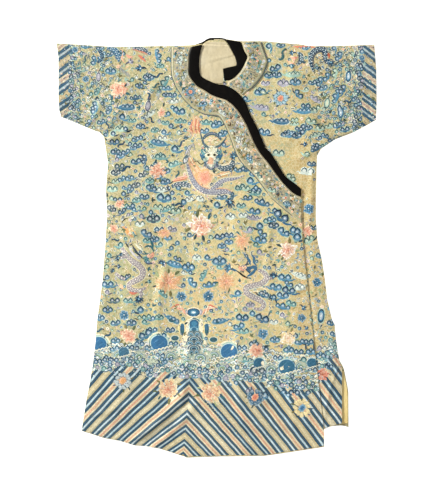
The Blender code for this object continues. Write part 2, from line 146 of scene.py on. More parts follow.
NECK_LINING = (  # y, left x, right x
    (545, -20, 16), (552, -34, 30), (562, -52, 44), (580, -64, 60), (605, -68, 74), (628, -66, 70),
    (640, -56, 58), (652, -54, 52), (664, -52, 45), (674, -46, 38), (680, -38, 33), (684, -30, 26))
VENT_LINING = (  # y, left x, right x
    (-588, 412, 438), (-560, 411, 438), (-520, 410, 438), (-483, 410, 437), (-463, 410, 434),
    (-440, 409, 429), (-412, 408, 423))

# Main creases seen in the silk, on top of the soft folds: a trough or ridge
# along a slightly bowed line.
CREASES = (  # x0, y0, x1, y1, height, half width, bow
    (-250, -660, -88, -505, -3.0, 8, 10), (-272, -640, -108, -484, 2.0, 14, 10), (-228, -676, -70, -528, 1.1, 11, 9),
    (-62, -528, 72, -640, -2.4, 9, -7), (-40, -507, 96, -614, 1.6, 13, -7), (-84, -548, 44, -662, 0.8, 12, -6), (-330, -610, -300, -420, -0.8, 10, 5),
    (273, -160, 304, -142, -1.1, 5, 1), (262, -148, 300, -128, 0.7, 5, -1),
    (286, 164, 322, 182, -1.3, 5, 2), (286, 152, 318, 168, 0.8, 6, 2),
    (255, 330, 290, 365, -0.9, 7, 4), (225, 345, 262, 395, 0.8, 8, 6),
    (262, 262, 315, 250, -1.0, 8, 5), (240, 290, 330, 330, 0.9, 9, 8),
    (330, 310, 268, 372, -1.1, 8, -6), (326, 300, 240, 330, -0.8, 8, 6),
    (330, 296, 262, 240, -0.8, 7, 4), (296, 385, 300, 470, -0.7, 6, 3),
    (372, 350, 300, 440, 1.0, 10, 8), (402, 366, 330, 470, -0.9, 9, 10),
    (470, 392, 420, 520, 0.8, 11, 9), (512, 440, 480, 620, -0.7, 9, 6),
    (-368, 372, -300, 455, -1.2, 9, 6), (-372, 356, -290, 400, 1.1, 9, 8),
    (-374, 346, -300, 330, -0.9, 9, -4), (-430, 402, -380, 500, 0.9, 11, 6),
    (-500, 432, -470, 560, -0.8, 9, 5), (-452, 412, -430, 470, -0.8, 8, 3),
    (-362, 90, -250, 70, -1.2, 9, 6), (-362, 60, -262, 44, 1.0, 9, 5),
    (-364, 30, -268, 6, -1.1, 9, 7), (-368, -10, -290, -20, 0.9, 9, 4),
    (-372, -62, -300, -60, -0.8, 10, 5), (-366, 140, -300, 128, 0.8, 8, 4),
    (-360, 196, -250, 216, -0.8, 10, 7), (-392, -210, -330, -170, -0.7, 10, 4),
    (-322, -300, -350, -90, -0.9, 12, 14), (-170, -60, -196, -330, 0.9, 15, 12),
    (-128, 60, -152, -170, -0.8, 12, 10), (-88, -330, -110, -560, 0.8, 14, 9),
    (44, 120, 62, -240, -0.9, 14, 16), (66, -300, 96, -600, 0.9, 15, 12),
    (176, 60, 190, -210, 0.8, 13, 12), (150, -260, 176, -560, -0.9, 13, 10),
    (236, -60, 262, -330, -0.8, 12, 10), (240, -400, 262, -610, 0.8, 11, 6),
    (300, 60, 318, -170, -0.8, 8, 6), (320, -60, 348, -330, 0.7, 8, 6),
    (318, 250, 306, 70, 0.8, 8, -5), (304, 240, 296, 110, -0.7, 6, 3),
    (-10, 410, -130, 330, -0.7, 13, 10), (-40, 300, -160, 250, 0.7, 14, 9),
    (-190, 560, -250, 420, 0.8, 14, 9), (-210, 600, -140, 470, -0.7, 12, 8),
    (-300, 640, -280, 520, -0.7, 12, 7), (-262, 300, -232, 190, -0.8, 12, 8),
    (200, 600, 176, 460, -0.7, 12, 8), (170, 470, 214, 380, 0.7, 10, 6),
    (262, 640, 250, 520, 0.7, 12, 6), (120, 300, 210, 150, 0.7, 13, 9),
    (40, 330, 150, 190, -0.6, 12, 9), (-60, 190, 40, 130, 0.6, 14, 8),
    (-430, -480, -330, -470, -0.6, 10, 6), (-420, -560, -300, -520, 0.7, 10, 8),
    (380, -330, 330, -420, -0.7, 7, 3), (404, -400, 360, -560, 0.7, 8, 5),
    (-60, -40, 60, -70, -0.5, 14, 8), (-220, -400, -120, -440, -0.5, 12, 7))


# ============================================================ form functions
def table(t):
    a = np.array(t, float)
    return a[np.argsort(a[:, 0], kind="stable")]


_tables = {}


def along(t, v):
    key = id(t)
    if key not in _tables:
        _tables[key] = (t, table(t))
    a = _tables[key][1]
    return np.interp(v, a[:, 0], a[:, 1])


def mix(a, b, t):
    return a + (b - a) * t


def smooth(t):
    t = np.clip(t, 0.0, 1.0)
    return t * t * (3 - 2 * t)


def to_line(points, x, y):
    best = np.full(np.shape(x), 1e9)
    for (ax, ay), (bx, by) in zip(points, points[1:]):
        ux, uy = bx - ax, by - ay
        t = np.clip(((x - ax) * ux + (y - ay) * uy) / (ux * ux + uy * uy), 0, 1)
        best = np.minimum(best, np.hypot(x - ax - t * ux, y - ay - t * uy))
    return best


LEFT_CLOSED = tuple((x, y) for y, x in LEFT_SIDE if y < 370) + tuple(reversed(LEFT_UNDERSIDE[:-2]))
RIGHT_CLOSED = tuple((x, y) for y, x in RIGHT_SIDE_INNER if -400 < y < 310) + tuple(RIGHT_UNDERSIDE[2:])
OPEN_EDGE = tuple(HEM_OUTER) + tuple((x, y) for y, x in reversed(table(OVERLAP_EDGE)[:8].tolist()))


def relief(x, y):
    total = np.zeros(np.shape(x))
    for x0, y0, x1, y1, height, half in FOLDS:
        ux, uy = x1 - x0, y1 - y0
        length = hypot(ux, uy)
        t = ((x - x0) * ux + (y - y0) * uy) / length ** 2
        off = ((x - x0) * uy - (y - y0) * ux) / length
        total += (height * np.exp(-(off / half) ** 2) * smooth((t + 0.1) * 3) * smooth((1.1 - t) * 3)
                  * ((t > -0.1) & (t < 1.1)))
    return total


CREASE_UP = 3.5


def wander(x, y):
    """Slow unevenness of the laid cloth, from a few unlike waves."""
    return (0.30 * np.sin(x / 37 + 1.3 * np.sin(y / 61)) * np.sin(y / 43 + 0.7)
            + 0.22 * np.sin(x / 19 + y / 83 + 2.0) * np.sin(y / 27 - x / 71)
            + 0.10 * np.sin(x / 9.5 + 2 * np.sin(y / 33)) * np.sin(y / 12 + x / 47))


def creases(x, y, rows=CREASES):
    total = wander(x, y) * 1.7
    for x0, y0, x1, y1, height, half, bow in rows:
        height = height * (CREASE_UP if height > 0 else 1.4)
        ux, uy = x1 - x0, y1 - y0
        length = hypot(ux, uy)
        t = ((x - x0) * ux + (y - y0) * uy) / length ** 2
        off = ((x - x0) * uy - (y - y0) * ux) / length - bow * 4 * t * (1 - t)
        width = half * (0.65 + 0.5 * np.clip(t, 0, 1))
        near = (t > -0.15) & (t < 1.15)
        total += near * height * np.exp(-(off / width) ** 2) * smooth((t + 0.15) * 4) * smooth((1.15 - t) * 3)
    return total


def back_mid(x, y):
    cx, cy = COLLAR_CENTRE
    reach = np.hypot((x - cx) / (BACK_BORDER_RADII[0] + 40), (y - cy) / (BACK_BORDER_RADII[1] + 40))
    return CLOTH / 2 + 0.1 + BACK_LIFT * (1 - smooth((reach - 1.0) / 0.35))


def inner_mid(x, y):
    edge = np.minimum(to_line(LEFT_CLOSED, x, y), to_line(RIGHT_CLOSED, x, y))
    folds = relief(x, y) * smooth(edge / RELIEF_RUN)
    fine = creases(x, y) * smooth(edge / 22 + 0.15)
    vent = (1.0 + GAP) * smooth((x - 330) / 30) * smooth((-330 - y) / 60)
    sep = mix(1.25, OPEN_SEP + np.maximum(-1.3, folds + fine), smooth(edge / EDGE_RUN))
    return back_mid(x, y) + sep + vent * smooth(edge / EDGE_RUN + (y < -396))


def outer_mid(x, y):
    centre = along(CENTRE_SEAM, y)
    return inner_mid(x, y) + OUTER_SEP * smooth((x - centre + 55) / 65)


def shoulder_drop(x, y, run=9.0):
    return (OPEN_SEP - LAY) * smooth(1 - (along(SHOULDER, x) - y) / run)


def back_under(x, y):
    """How far the underside's soft troughs reach up into the laid back."""
    d = creases(-x * 0.94 + 11, y + 17) * 0.6
    return np.clip(-d, 0, 0.9) * 0.55 + np.clip(d, 0, 1.2) * 0.25


# ============================================================ colours
def srgb(h):
    h = h.lstrip("#")
    c = np.array([int(h[i:i + 2], 16) / 255 for i in (0, 2, 4)])
    return np.where(c <= 0.04045, c / 12.92, ((c + 0.055) / 1.055) ** 2.4)


def rgba(h, k=1.0):
    return (*(srgb(h) * k), 1.0)


# ============================================================ mesh making
PIECES = []


def make_mesh(name, verts, faces, material, uv=None, colours=None, smooth_it=True):
    """verts in mm (n, 3); faces a list of index arrays of quads or triangles."""
    me = bpy.data.meshes.new(name)
    faces = [f for f in faces if len(f)]
    n_loops = sum(f.size for f in faces)
    n_faces = sum(len(f) for f in faces)
    me.vertices.add(len(verts))
    me.vertices.foreach_set("co", (np.asarray(verts) * MM).astype(np.float32).ravel())
    me.loops.add(n_loops)
    me.polygons.add(n_faces)
    loops = np.concatenate([f.ravel() for f in faces]).astype(np.int32)
    starts, at = [], 0
    for f in faces:
        starts.append(at + np.arange(len(f)) * f.shape[1])
        at += f.size
    me.loops.foreach_set("vertex_index", loops)
    me.polygons.foreach_set("loop_start", np.concatenate(starts).astype(np.int32))
    me.update(calc_edges=True)
    if uv is not None:
        layer = me.uv_layers.new(name="thread")
        layer.uv.foreach_set("vector", np.asarray(uv)[loops].astype(np.float32).ravel())
    if colours is not None:
        att = me.color_attributes.new("Col", "FLOAT_COLOR", "CORNER")
        per = np.concatenate([np.repeat(c, f.shape[1], axis=0) for c, f in zip(colours, faces)])
        rgba_ = np.ones((len(per), 4), np.float32)
        rgba_[:, :3] = per
        att.data.foreach_set("color", rgba_.ravel())
    me.validate()
    if smooth_it:
        me.shade_smooth()
    ob = bpy.data.objects.new(name, me)
    bpy.context.scene.collection.objects.link(ob)
    me.materials.append(material)
    PIECES.append(ob)
    return ob


def grid_faces(rows, cols):
    i = np.arange((rows - 1) * cols).reshape(rows - 1, cols)[:, :-1]
    return np.stack([i, i + 1, i + 1 + cols, i + cols], -1).reshape(-1, 4)


def sheet_shell(name, x, y, z, material, thick=SHELL, uv=None, flip=False):
    """A grid of the cloth's middle, given its wall by Solidify."""
    rows, cols = x.shape
    verts = np.stack([x, y, z], -1).reshape(-1, 3)
    f = grid_faces(rows, cols)
    # make the faces point up
    a, b, c = verts[f[:, 0]], verts[f[:, 1]], verts[f[:, 2]]
    up = np.cross(b - a, c - a)[:, 2].sum()
    if (up < 0) != flip:
        f = f[:, ::-1]
    if uv is None:
        uv = np.stack([x, y], -1).reshape(-1, 2) * 0.001
    ob = make_mesh(name, verts, [f], material, uv=uv)
    wall = ob.modifiers.new("wall", "SOLIDIFY")
    wall.thickness = thick * MM
    wall.offset = 0.0
    wall.use_even_offset = False
    return ob


def dense(levels, step):
    levels = [levels[0], levels[0] + 0.5, *levels[1:-1], levels[-1] - 0.5, levels[-1]]
    out = [levels[0]]
    for a, b in zip(levels, levels[1:]):
        n = max(1, int(np.ceil(abs(b - a) / step)))
        out += [a + (b - a) * k / n for k in range(1, n + 1)]
    return np.array(out, float)


def panel_grid(left, right, hem, top, levels, columns, exact="left"):
    u, level = np.meshgrid(columns, levels)
    side = left if exact == "left" else right
    edge_x = along(side, level)
    low, high = along(hem, edge_x), along(top, edge_x)
    s = (level - low) / (high - low)
    s[0, :], s[-1, :] = 0.0, 1.0
    x, y = np.zeros_like(level), level.copy()
    for _ in range(30):
        x = mix(x, mix(along(left, y), along(right, y), u), 0.7)
        y = mix(y, mix(along(hem, x), along(top, x), s), 0.7)
    return x, y


def catmull(points, per):
    """A smooth curve through rows of numbers, with `per` steps between rows."""
    p = np.array(points, float)
    p = np.vstack([2 * p[0] - p[1], p, 2 * p[-1] - p[-2]])
    out = []
    for i in range(1, len(p) - 2):
        for k in range(per):
            t = k / per
            out.append(0.5 * ((2 * p[i]) + (-p[i - 1] + p[i + 1]) * t
                              + (2 * p[i - 1] - 5 * p[i] + 4 * p[i + 1] - p[i + 2]) * t * t
                              + (-p[i - 1] + 3 * p[i] - 3 * p[i + 1] + p[i + 2]) * t ** 3))
    out.append(p[-2])
    return np.array(out)


# ============================================================ materials
def new_material(name):
    mat = bpy.data.materials.new(name)
    mat.use_nodes = True
    nt = mat.node_tree
    return mat, nt, nt.nodes["Principled BSDF"]


class Nodes:
    """Short names for the node making that the materials share."""

    def __init__(self, nt):
        self.nt = nt

    def node(self, kind, **values):
        n = self.nt.nodes.new(kind)
        for k, v in values.items():
            setattr(n, k, v)
        return n

    def link(self, a, b):
        self.nt.links.new(a, b)

    def coords(self, scale=(1, 1, 1), rotate=0.0, kind="Object"):
        tc = self.node("ShaderNodeTexCoord")
        mp = self.node("ShaderNodeMapping")
        mp.inputs["Scale"].default_value = scale
        mp.inputs["Rotation"].default_value = (0, 0, rotate)
        self.link(tc.outputs[kind], mp.inputs["Vector"])
        return mp.outputs["Vector"]

    def noise(self, vec, scale, detail=4.0, rough=0.55, distortion=0.0):
        n = self.node("ShaderNodeTexNoise")
        n.inputs["Scale"].default_value = scale
        n.inputs["Detail"].default_value = detail
        n.inputs["Roughness"].default_value = rough
        n.inputs["Distortion"].default_value = distortion
        self.link(vec, n.inputs["Vector"])
        return n.outputs["Fac"]

    def wave(self, vec, scale, distortion=0.0, direction="X", profile="SIN", detail_scale=1.0):
        n = self.node("ShaderNodeTexWave")
        n.bands_direction = direction
        n.wave_profile = profile
        n.inputs["Scale"].default_value = scale
        n.inputs["Distortion"].default_value = distortion
        n.inputs["Detail Scale"].default_value = detail_scale
        self.link(vec, n.inputs["Vector"])
        return n.outputs["Fac"]

    def ramp(self, fac, stops, mode="LINEAR"):
        n = self.node("ShaderNodeValToRGB")
        n.color_ramp.interpolation = mode
        els = n.color_ramp.elements
        while len(els) < len(stops):
            els.new(0.5)
        for e, (p, c) in zip(els, stops):
            e.position = p
            e.color = c
        self.link(fac, n.inputs["Fac"])
        return n.outputs["Color"]

    def grey(self, fac, lo, hi, a=0.0, b=1.0):
        n = self.node("ShaderNodeMapRange")
        n.inputs["From Min"].default_value = a
        n.inputs["From Max"].default_value = b
        n.inputs["To Min"].default_value = lo
        n.inputs["To Max"].default_value = hi
        self.link(fac, n.inputs["Value"])
        return n.outputs["Result"]

    def mix(self, a, b, fac, mode="MIX"):
        n = self.node("ShaderNodeMix")
        n.data_type = "RGBA"
        n.blend_type = mode
        for sock, v in ((n.inputs[0], fac), (n.inputs[6], a), (n.inputs[7], b)):
            if hasattr(v, "is_output") or isinstance(v, bpy.types.NodeSocket):
                self.link(v, sock)
            else:
                sock.default_value = v
        return n.outputs[2]

    def maths(self, op, a, b=0.5):
        n = self.node("ShaderNodeMath")
        n.operation = op
        for sock, v in zip(n.inputs, (a, b)):
            if isinstance(v, bpy.types.NodeSocket):
                self.link(v, sock)
            else:
                sock.default_value = v
        return n.outputs[0]

    def bump(self, height, strength, distance, normal=None):
        n = self.node("ShaderNodeBump")
        n.inputs["Strength"].default_value = strength
        n.inputs["Distance"].default_value = distance
        self.link(height, n.inputs["Height"])
        if normal is not None:
            self.link(normal, n.inputs["Normal"])
        return n.outputs["Normal"]


def silk(name, base, dark, light, warm=None, side_tint=None, thin=("#aab184", "#ecdfb2", "#e3b685", "#efe3bb")):
    """Satin-woven silk ground: aged, with fine warp streaks and slow blotches."""
    mat, nt, p = new_material(name)
    k = Nodes(nt)
    v = k.coords()
    blotch = k.noise(v, 5.0, 5, 0.6, 0.6)
    col = k.ramp(blotch, [(0.28, rgba(dark)), (0.5, rgba(base)), (0.72, rgba(light))])
    if warm:
        col = k.mix(col, rgba(warm), k.grey(k.noise(v, 3.1, 3, 0.5), 0.0, 0.75, 0.48, 0.68))
    if side_tint:
        sep = k.node("ShaderNodeSeparateXYZ")
        k.link(v, sep.inputs[0])
        left, right, sleeves = side_tint
        col = k.mix(col, rgba(left), k.grey(sep.outputs["X"], 0.85, 0.0, -0.33, -0.04))
        col = k.mix(col, rgba(right), k.grey(sep.outputs["X"], 0.0, 0.85, 0.2, 0.28))
        col = k.mix(col, rgba(sleeves), k.grey(k.maths("ABSOLUTE", sep.outputs["X"]), 0.0, 0.75, 0.28, 0.42))
        col = k.mix(col, rgba(sleeves), k.grey(sep.outputs["Y"], 0.0, 0.45, 0.2, 0.5))
    # fine stitched sprays that run between the motifs, worn thin: pale, sage and rose
    v1, v2, v3 = (k.noise(k.coords(a, b), c, 4, 0.62, 1.6) for a, b, c in
                  (((1, 1.4, 1), 0.4, 62.0), ((1.3, 1, 1), -0.7, 88.0), ((1, 1, 1), 1.1, 47.0)))
    col = k.mix(col, rgba(thin[0]), k.grey(v1, 0.5, 0.0, 0.34, 0.48))
    col = k.mix(col, rgba(thin[1]), k.grey(v2, 0.0, 0.38, 0.54, 0.68))
    col = k.mix(col, rgba(thin[2]), k.grey(v3, 0.0, 0.42, 0.55, 0.68))
    cell = k.node("ShaderNodeTexVoronoi", feature="DISTANCE_TO_EDGE")
    warp_by = k.node("ShaderNodeTexNoise")
    warp_by.inputs["Scale"].default_value = 70.0
    k.link(v, warp_by.inputs["Vector"])
    bent = k.node("ShaderNodeVectorMath", operation="MULTIPLY_ADD")
    k.link(warp_by.outputs["Color"], bent.inputs[0])
    bent.inputs[1].default_value = (0.012, 0.012, 0.012)
    k.link(v, bent.inputs[2])
    k.link(bent.outputs[0], cell.inputs["Vector"])
    cell.inputs["Scale"].default_value = 105.0
    col = k.mix(col, rgba(thin[3]), k.grey(cell.outputs["Distance"], 0.5, 0.0, 0.05, 0.13))
    if side_tint:
        scroll = k.node("ShaderNodeTexVoronoi", feature="DISTANCE_TO_EDGE")
        k.link(bent.outputs[0], scroll.inputs["Vector"])
        scroll.inputs["Scale"].default_value = 64.0
        edge_of = k.grey(scroll.outputs["Distance"], 0.75, 0.0, 0.05, 0.17)
        where = k.grey(k.noise(k.coords((1, 1, 1), 2.3), 17, 3, 0.6, 0.8), 0.0, 1.0, 0.46, 0.58)
        side = k.grey(sep.outputs["X"], 1.0, 0.15, 0.22, 0.275)
        col = k.mix(col, rgba("#a7b291"), k.maths("MULTIPLY", k.maths("MULTIPLY", edge_of, where), side))
        where = k.grey(k.noise(k.coords((1, 1, 1), -1.9), 21, 3, 0.6, 0.8), 0.0, 1.0, 0.5, 0.6)
        inner = k.grey(scroll.outputs["Distance"], 0.0, 0.6, 0.3, 0.42)
        col = k.mix(col, rgba("#e9e2c6"), k.maths("MULTIPLY", k.maths("MULTIPLY", inner, where), side))
    fine = k.noise(k.coords((1, 0.12, 1)), 420, 3, 0.6)
    mottle = k.noise(v, 190, 3, 0.7)
    col = k.mix(col, (0.0, 0.0, 0.0, 1), k.grey(mottle, 0.07, 0.0, 0.32, 0.55))
    col = k.mix(col, rgba(light), k.grey(fine, 0.0, 0.22, 0.5, 0.75))
    warp = k.wave(v, 340, 0.6, "X")
    weft = k.wave(v, 260, 0.9, "Y")
    slub = k.noise(k.coords((0.05, 1, 1)), 900, 2, 0.5)
    height = k.maths("ADD", k.maths("MULTIPLY", warp, 0.55), k.maths("MULTIPLY", weft, 0.3))
    height = k.maths("ADD", height, k.maths("MULTIPLY", slub, 0.5))
    k.link(col, p.inputs["Base Color"])
    k.link(k.grey(mottle, 0.46, 0.66, 0.3, 0.7), p.inputs["Roughness"])
    k.link(k.bump(height, 0.2, 0.0004), p.inputs["Normal"])
    p.inputs["Sheen Weight"].default_value = 0.14
    p.inputs["Sheen Roughness"].default_value = 0.4
    p.inputs["Specular IOR Level"].default_value = 0.42
    return mat


def plain_cloth(name, base, dark, light, rough=0.8, weave=520.0, sheen=0.15, streaks=(1, 1, 1)):
    mat, nt, p = new_material(name)
    k = Nodes(nt)
    v = k.coords()
    blotch = k.noise(v, 11, 5, 0.6, 0.4)
    col = k.ramp(blotch, [(0.3, rgba(dark)), (0.52, rgba(base)), (0.75, rgba(light))])
    mottle = k.noise(k.coords(streaks), 130, 4, 0.7)
    col = k.mix(col, rgba(dark, 0.8), k.grey(mottle, 0.45, 0.0, 0.3, 0.55))
    warp = k.wave(v, weave, 1.0, "X")
    weft = k.wave(v, weave * 0.8, 1.0, "Y")
    height = k.maths("ADD", k.maths("MULTIPLY", warp, 0.5), k.maths("MULTIPLY", weft, 0.5))
    k.link(col, p.inputs["Base Color"])
    k.link(k.grey(mottle, rough - 0.08, rough + 0.1, 0.3, 0.7), p.inputs["Roughness"])
    k.link(k.bump(height, 0.4, 0.0004), p.inputs["Normal"])
    p.inputs["Sheen Weight"].default_value = sheen
    p.inputs["Sheen Roughness"].default_value = 0.5
    return mat


def black_satin(name):
    """Black satin binding: thread lines along the band, soft streaky shine painted into its colour."""
    mat, nt, p = new_material(name)
    k = Nodes(nt)
    uv = k.coords(kind="UV")
    v = k.coords()
    streak = k.noise(k.coords((6.0, 90.0, 1.0), kind="UV"), 1.0, 4, 0.65, 0.3)
    cloud = k.noise(v, 26, 4, 0.6)
    # painted sheen: lighter streaks running along the band
    col = k.ramp(streak, [(0.3, rgba("#050403")), (0.55, rgba("#0a0807")), (0.8, rgba("#171310"))])
    col = k.mix(col, rgba("#241d16"), k.grey(cloud, 0.0, 0.3, 0.55, 0.75))
    ribs = k.noise(k.coords((3.0, 320.0, 1.0), kind="UV"), 1.0, 3, 0.6)
    k.link(col, p.inputs["Base Color"])
    k.link(k.grey(streak, 0.34, 0.6, 0.3, 0.75), p.inputs["Roughness"])
    k.link(k.bump(ribs, 0.35, 0.0006), p.inputs["Normal"])
    p.inputs["Specular IOR Level"].default_value = 0.12
    return mat


def embroidery(name):
    """Silk floss: the stitched colour, with thread lines across each shape, painted lighter along the lines as sheen.
    """
    mat, nt, p = new_material(name)
    k = Nodes(nt)
    att = k.node("ShaderNodeAttribute")
    att.attribute_name = "Col"
    v = k.coords()
    threads_and_sheen = k.wave(k.coords((1, 1, 1), kind="UV"), 0.62, 0.8, "X", detail_scale=2.0)
    worn = k.noise(v, 260, 4, 0.7)
    fade = k.noise(v, 9, 3, 0.5)
    # a brightened copy of the floss colour, used for painted sheen and painted highlights
    lit = k.node("ShaderNodeHueSaturation")
    lit.inputs["Value"].default_value = 1.7
    lit.inputs["Saturation"].default_value = 0.92
    k.link(att.outputs["Color"], lit.inputs["Color"])
    # painted sheen: the colour is lightened along the thread lines
    col = k.mix(att.outputs["Color"], lit.outputs["Color"], k.grey(threads_and_sheen, 0.0, 0.3))
    col = k.mix(col, rgba("#d8cba0"), k.grey(worn, 0.0, 0.26, 0.62, 0.76))
    col = k.mix(col, rgba("#cfd2c0"), k.grey(fade, 0.0, 0.05, 0.5, 0.7))
    col = k.mix(col, (0.0, 0.0, 0.0, 1), k.grey(k.noise(v, 330, 3, 0.6), 0.3, 0.0, 0.34, 0.54))
    # painted highlights: scattered spots of the brightened colour
    col = k.mix(col, lit.outputs["Color"], k.grey(k.noise(k.coords((1, 1, 1), 0.6), 260, 2, 0.6), 0.0, 0.6, 0.55, 0.68))
    k.link(col, p.inputs["Base Color"])
    k.link(k.grey(worn, 0.42, 0.6, 0.3, 0.7), p.inputs["Roughness"])
    k.link(k.bump(threads_and_sheen, 0.4, 0.0004), p.inputs["Normal"])
    p.inputs["Sheen Weight"].default_value = 0.06
    p.inputs["Sheen Roughness"].default_value = 0.35
    p.inputs["Specular IOR Level"].default_value = 0.3
    return mat


GROUND = silk("ground_silk", "#d4c288", "#c2af72", "#e4d3a0", warm="#e3bc84",
              side_tint=("#aaa678", "#c9ab6c", "#a19b70"))
GROUND_BACK = silk("ground_silk_back", "#d2c189", "#c1af74", "#e1d2a0", warm="#dcc08e", side_tint=("#aaa678", "#b5a776", "#a19b70"))
BORDER_SILK = silk("border_silk", "#c4b78d", "#b1a378", "#d3c8a3", warm="#dcc09c",
                   thin=("#8f9485", "#e9e3cb", "#a08a78", "#8d958c"))
CREAM = plain_cloth("cream_lining", "#d5c8a6", "#c5b58c", "#e0d6b9", 0.85, streaks=(1, 0.4, 1))
# the yellow is painted lighter than the cloth: painted light that lifts the shadow the front panel's edge casts on the
# vent strip
YELLOW = plain_cloth("yellow_lining", "#f5dd98", "#e3c67c", "#faecb4", 0.7, streaks=(1, 0.3, 1))
SATIN = black_satin("black_satin")
FLOSS = embroidery("silk_floss")
KNOT = plain_cloth("black_knot", "#181613", "#0e0d0b", "#2a2621", 0.6, weave=900)
CORD = plain_cloth("piping_cord", "#3f5c62", "#2c4750", "#6d8a88", 0.6, weave=900)
CORD_WHITE = plain_cloth("white_cord", "#dfe3d4", "#b9c2b4", "#f2f2e6", 0.6, weave=900)


def cut_of(x, y, strip=False):
    """Works out the width, length and area of the flat cut, in millimetres, and keeps none of them."""
    a = np.stack([x, y], -1)
    p, q, r, t = a[:-1, :-1], a[:-1, 1:], a[1:, 1:], a[1:, :-1]
    d1, d2 = r - p, t - q
    area = np.abs(d1[..., 0] * d2[..., 1] - d1[..., 1] * d2[..., 0]).sum() / 2
    if strip:
        width = np.hypot(*(a[:, -1] - a[:, 0]).T).max()
        centre = a.mean(axis=1)
        length = np.hypot(*np.diff(centre, axis=0).T).sum()
    else:
        width, length = np.ptp(x), np.ptp(y)
    width = max(width, area / length * 1.0005)


def add_panel(name, node, x, y, z, material, strip=False, **kw):
    ob = sheet_shell(name, x, y, z, material, **kw)
    cut_of(x, y, strip)
    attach(ob, "root")
    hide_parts(*([node] if isinstance(node, str) else node))
    return ob


def columns(n):
    inner = np.linspace(0, 1, n + 1)
    return np.concatenate([[0.0, 0.0012, 0.006], inner[1:-1], [0.994, 0.9988, 1.0]])


FRONT_LEVELS = [-612, -585, -540, -470, -400, -330, -260, -190, -120, -50, 20, 90, 160,
                220, 280, 327, 365, 397, 430, 475, 515, 538, 546, 553, 561, 570, 582, 605,
                632, 648, 657, 662, 668]
OVERLAP_LEVELS = [-665, -600, -540, -470, -400, -330, -260, -190, -120, -50, 24, 90, 140,
                  167, 189, 193, 205, 219, 237, 258, 279, 311, 329, 361, 394, 422, 449,
                  476, 498, 518, 530, 538, 541]
INNER_LEVELS = [-586, -540, -470, -409, -396, -376, -309, -256, -243, -176, -109, -43, 24,
                90, 157, 210, 260, 305, 345, 385, 440, 490, 540, 570, 582, 587, 591, 595,
                601, 612, 625, 640, 654, 663, 669, 674]
BACK_LEFT_LEVELS = [-612, -560, -480, -400, -309, -243, -176, -109, -9, 107, 190, 280, 327,
                    365, 397, 430, 500, 530, 555, 580, 610, 640, 668]
BACK_RIGHT_LEVELS = [-600, -540, -483, -463, -409, -396, -376, -309, -256, -243, -176, -109,
                     -43, 24, 90, 157, 260, 305, 345, 385, 440, 500, 530, 555, 580, 610, 640, 675]
BACK_TOP = tuple(sorted(tuple((x, y - 0.3) for x, y in SHOULDER if x < -47 or x > 30) + BACK_NECK))


def shifted(t, by):
    return tuple((y, x + by) for y, x in t)


SEAM_LEFT, SEAM_RIGHT = shifted(BACK_SEAM, -SEAM), shifted(BACK_SEAM, SEAM)
x, y = panel_grid(LEFT_SIDE, SEAM_LEFT, HEM_BACK, BACK_TOP, dense(BACK_LEFT_LEVELS, 12), columns(34))
add_panel("back_left_silk", "back_left", x, y, back_mid(x, y) + back_under(x, y) * 0.6, GROUND_BACK)
x, y = panel_grid(SEAM_RIGHT, RIGHT_SIDE_BACK, HEM_BACK, BACK_TOP, dense(BACK_RIGHT_LEVELS, 12), columns(38), "right")
add_panel("back_right_silk", "back_right", x, y, back_mid(x, y) + back_under(x, y) * 0.6, GROUND_BACK)

x, y = panel_grid(INNER_EDGE, RIGHT_SIDE_INNER, HEM_INNER, SHOULDER, dense(INNER_LEVELS, 9), columns(48), "right")
add_panel("front_right_inner_silk", "front_right_inner", x, y, inner_mid(x, y) - shoulder_drop(x, y), GROUND)

LEFT_FRONT_EDGE = tuple((y_, x_ - SEAM) for y_, x_ in CENTRE_SEAM[:-1]) + LEFT_NECK
x, y = panel_grid(LEFT_SIDE, LEFT_FRONT_EDGE, HEM_OUTER, SHOULDER, dense(FRONT_LEVELS, 7), columns(60))
add_panel("front_left_silk", "front_left", x, y, outer_mid(x, y) - shoulder_drop(x, y), GROUND)
OVERLAP_TOP = ((-8, 541), (300, 541))
SEAM_OVERLAP = shifted(CENTRE_SEAM, SEAM)
x, y = panel_grid(SEAM_OVERLAP, OVERLAP_EDGE, HEM_OUTER, OVERLAP_TOP, dense(OVERLAP_LEVELS, 7), columns(60), "right")
add_panel("front_overlap_silk", "front_overlap", x, y, outer_mid(x, y), GROUND)

LEFT_SEAM = tuple((y_, x_ - 2 * SEAM) for y_, x_ in LEFT_SIDE if y_ > 360)
RIGHT_SEAM = tuple((y_, x_ + 2 * SEAM) for y_, x_ in RIGHT_SIDE_INNER if y_ > 300)


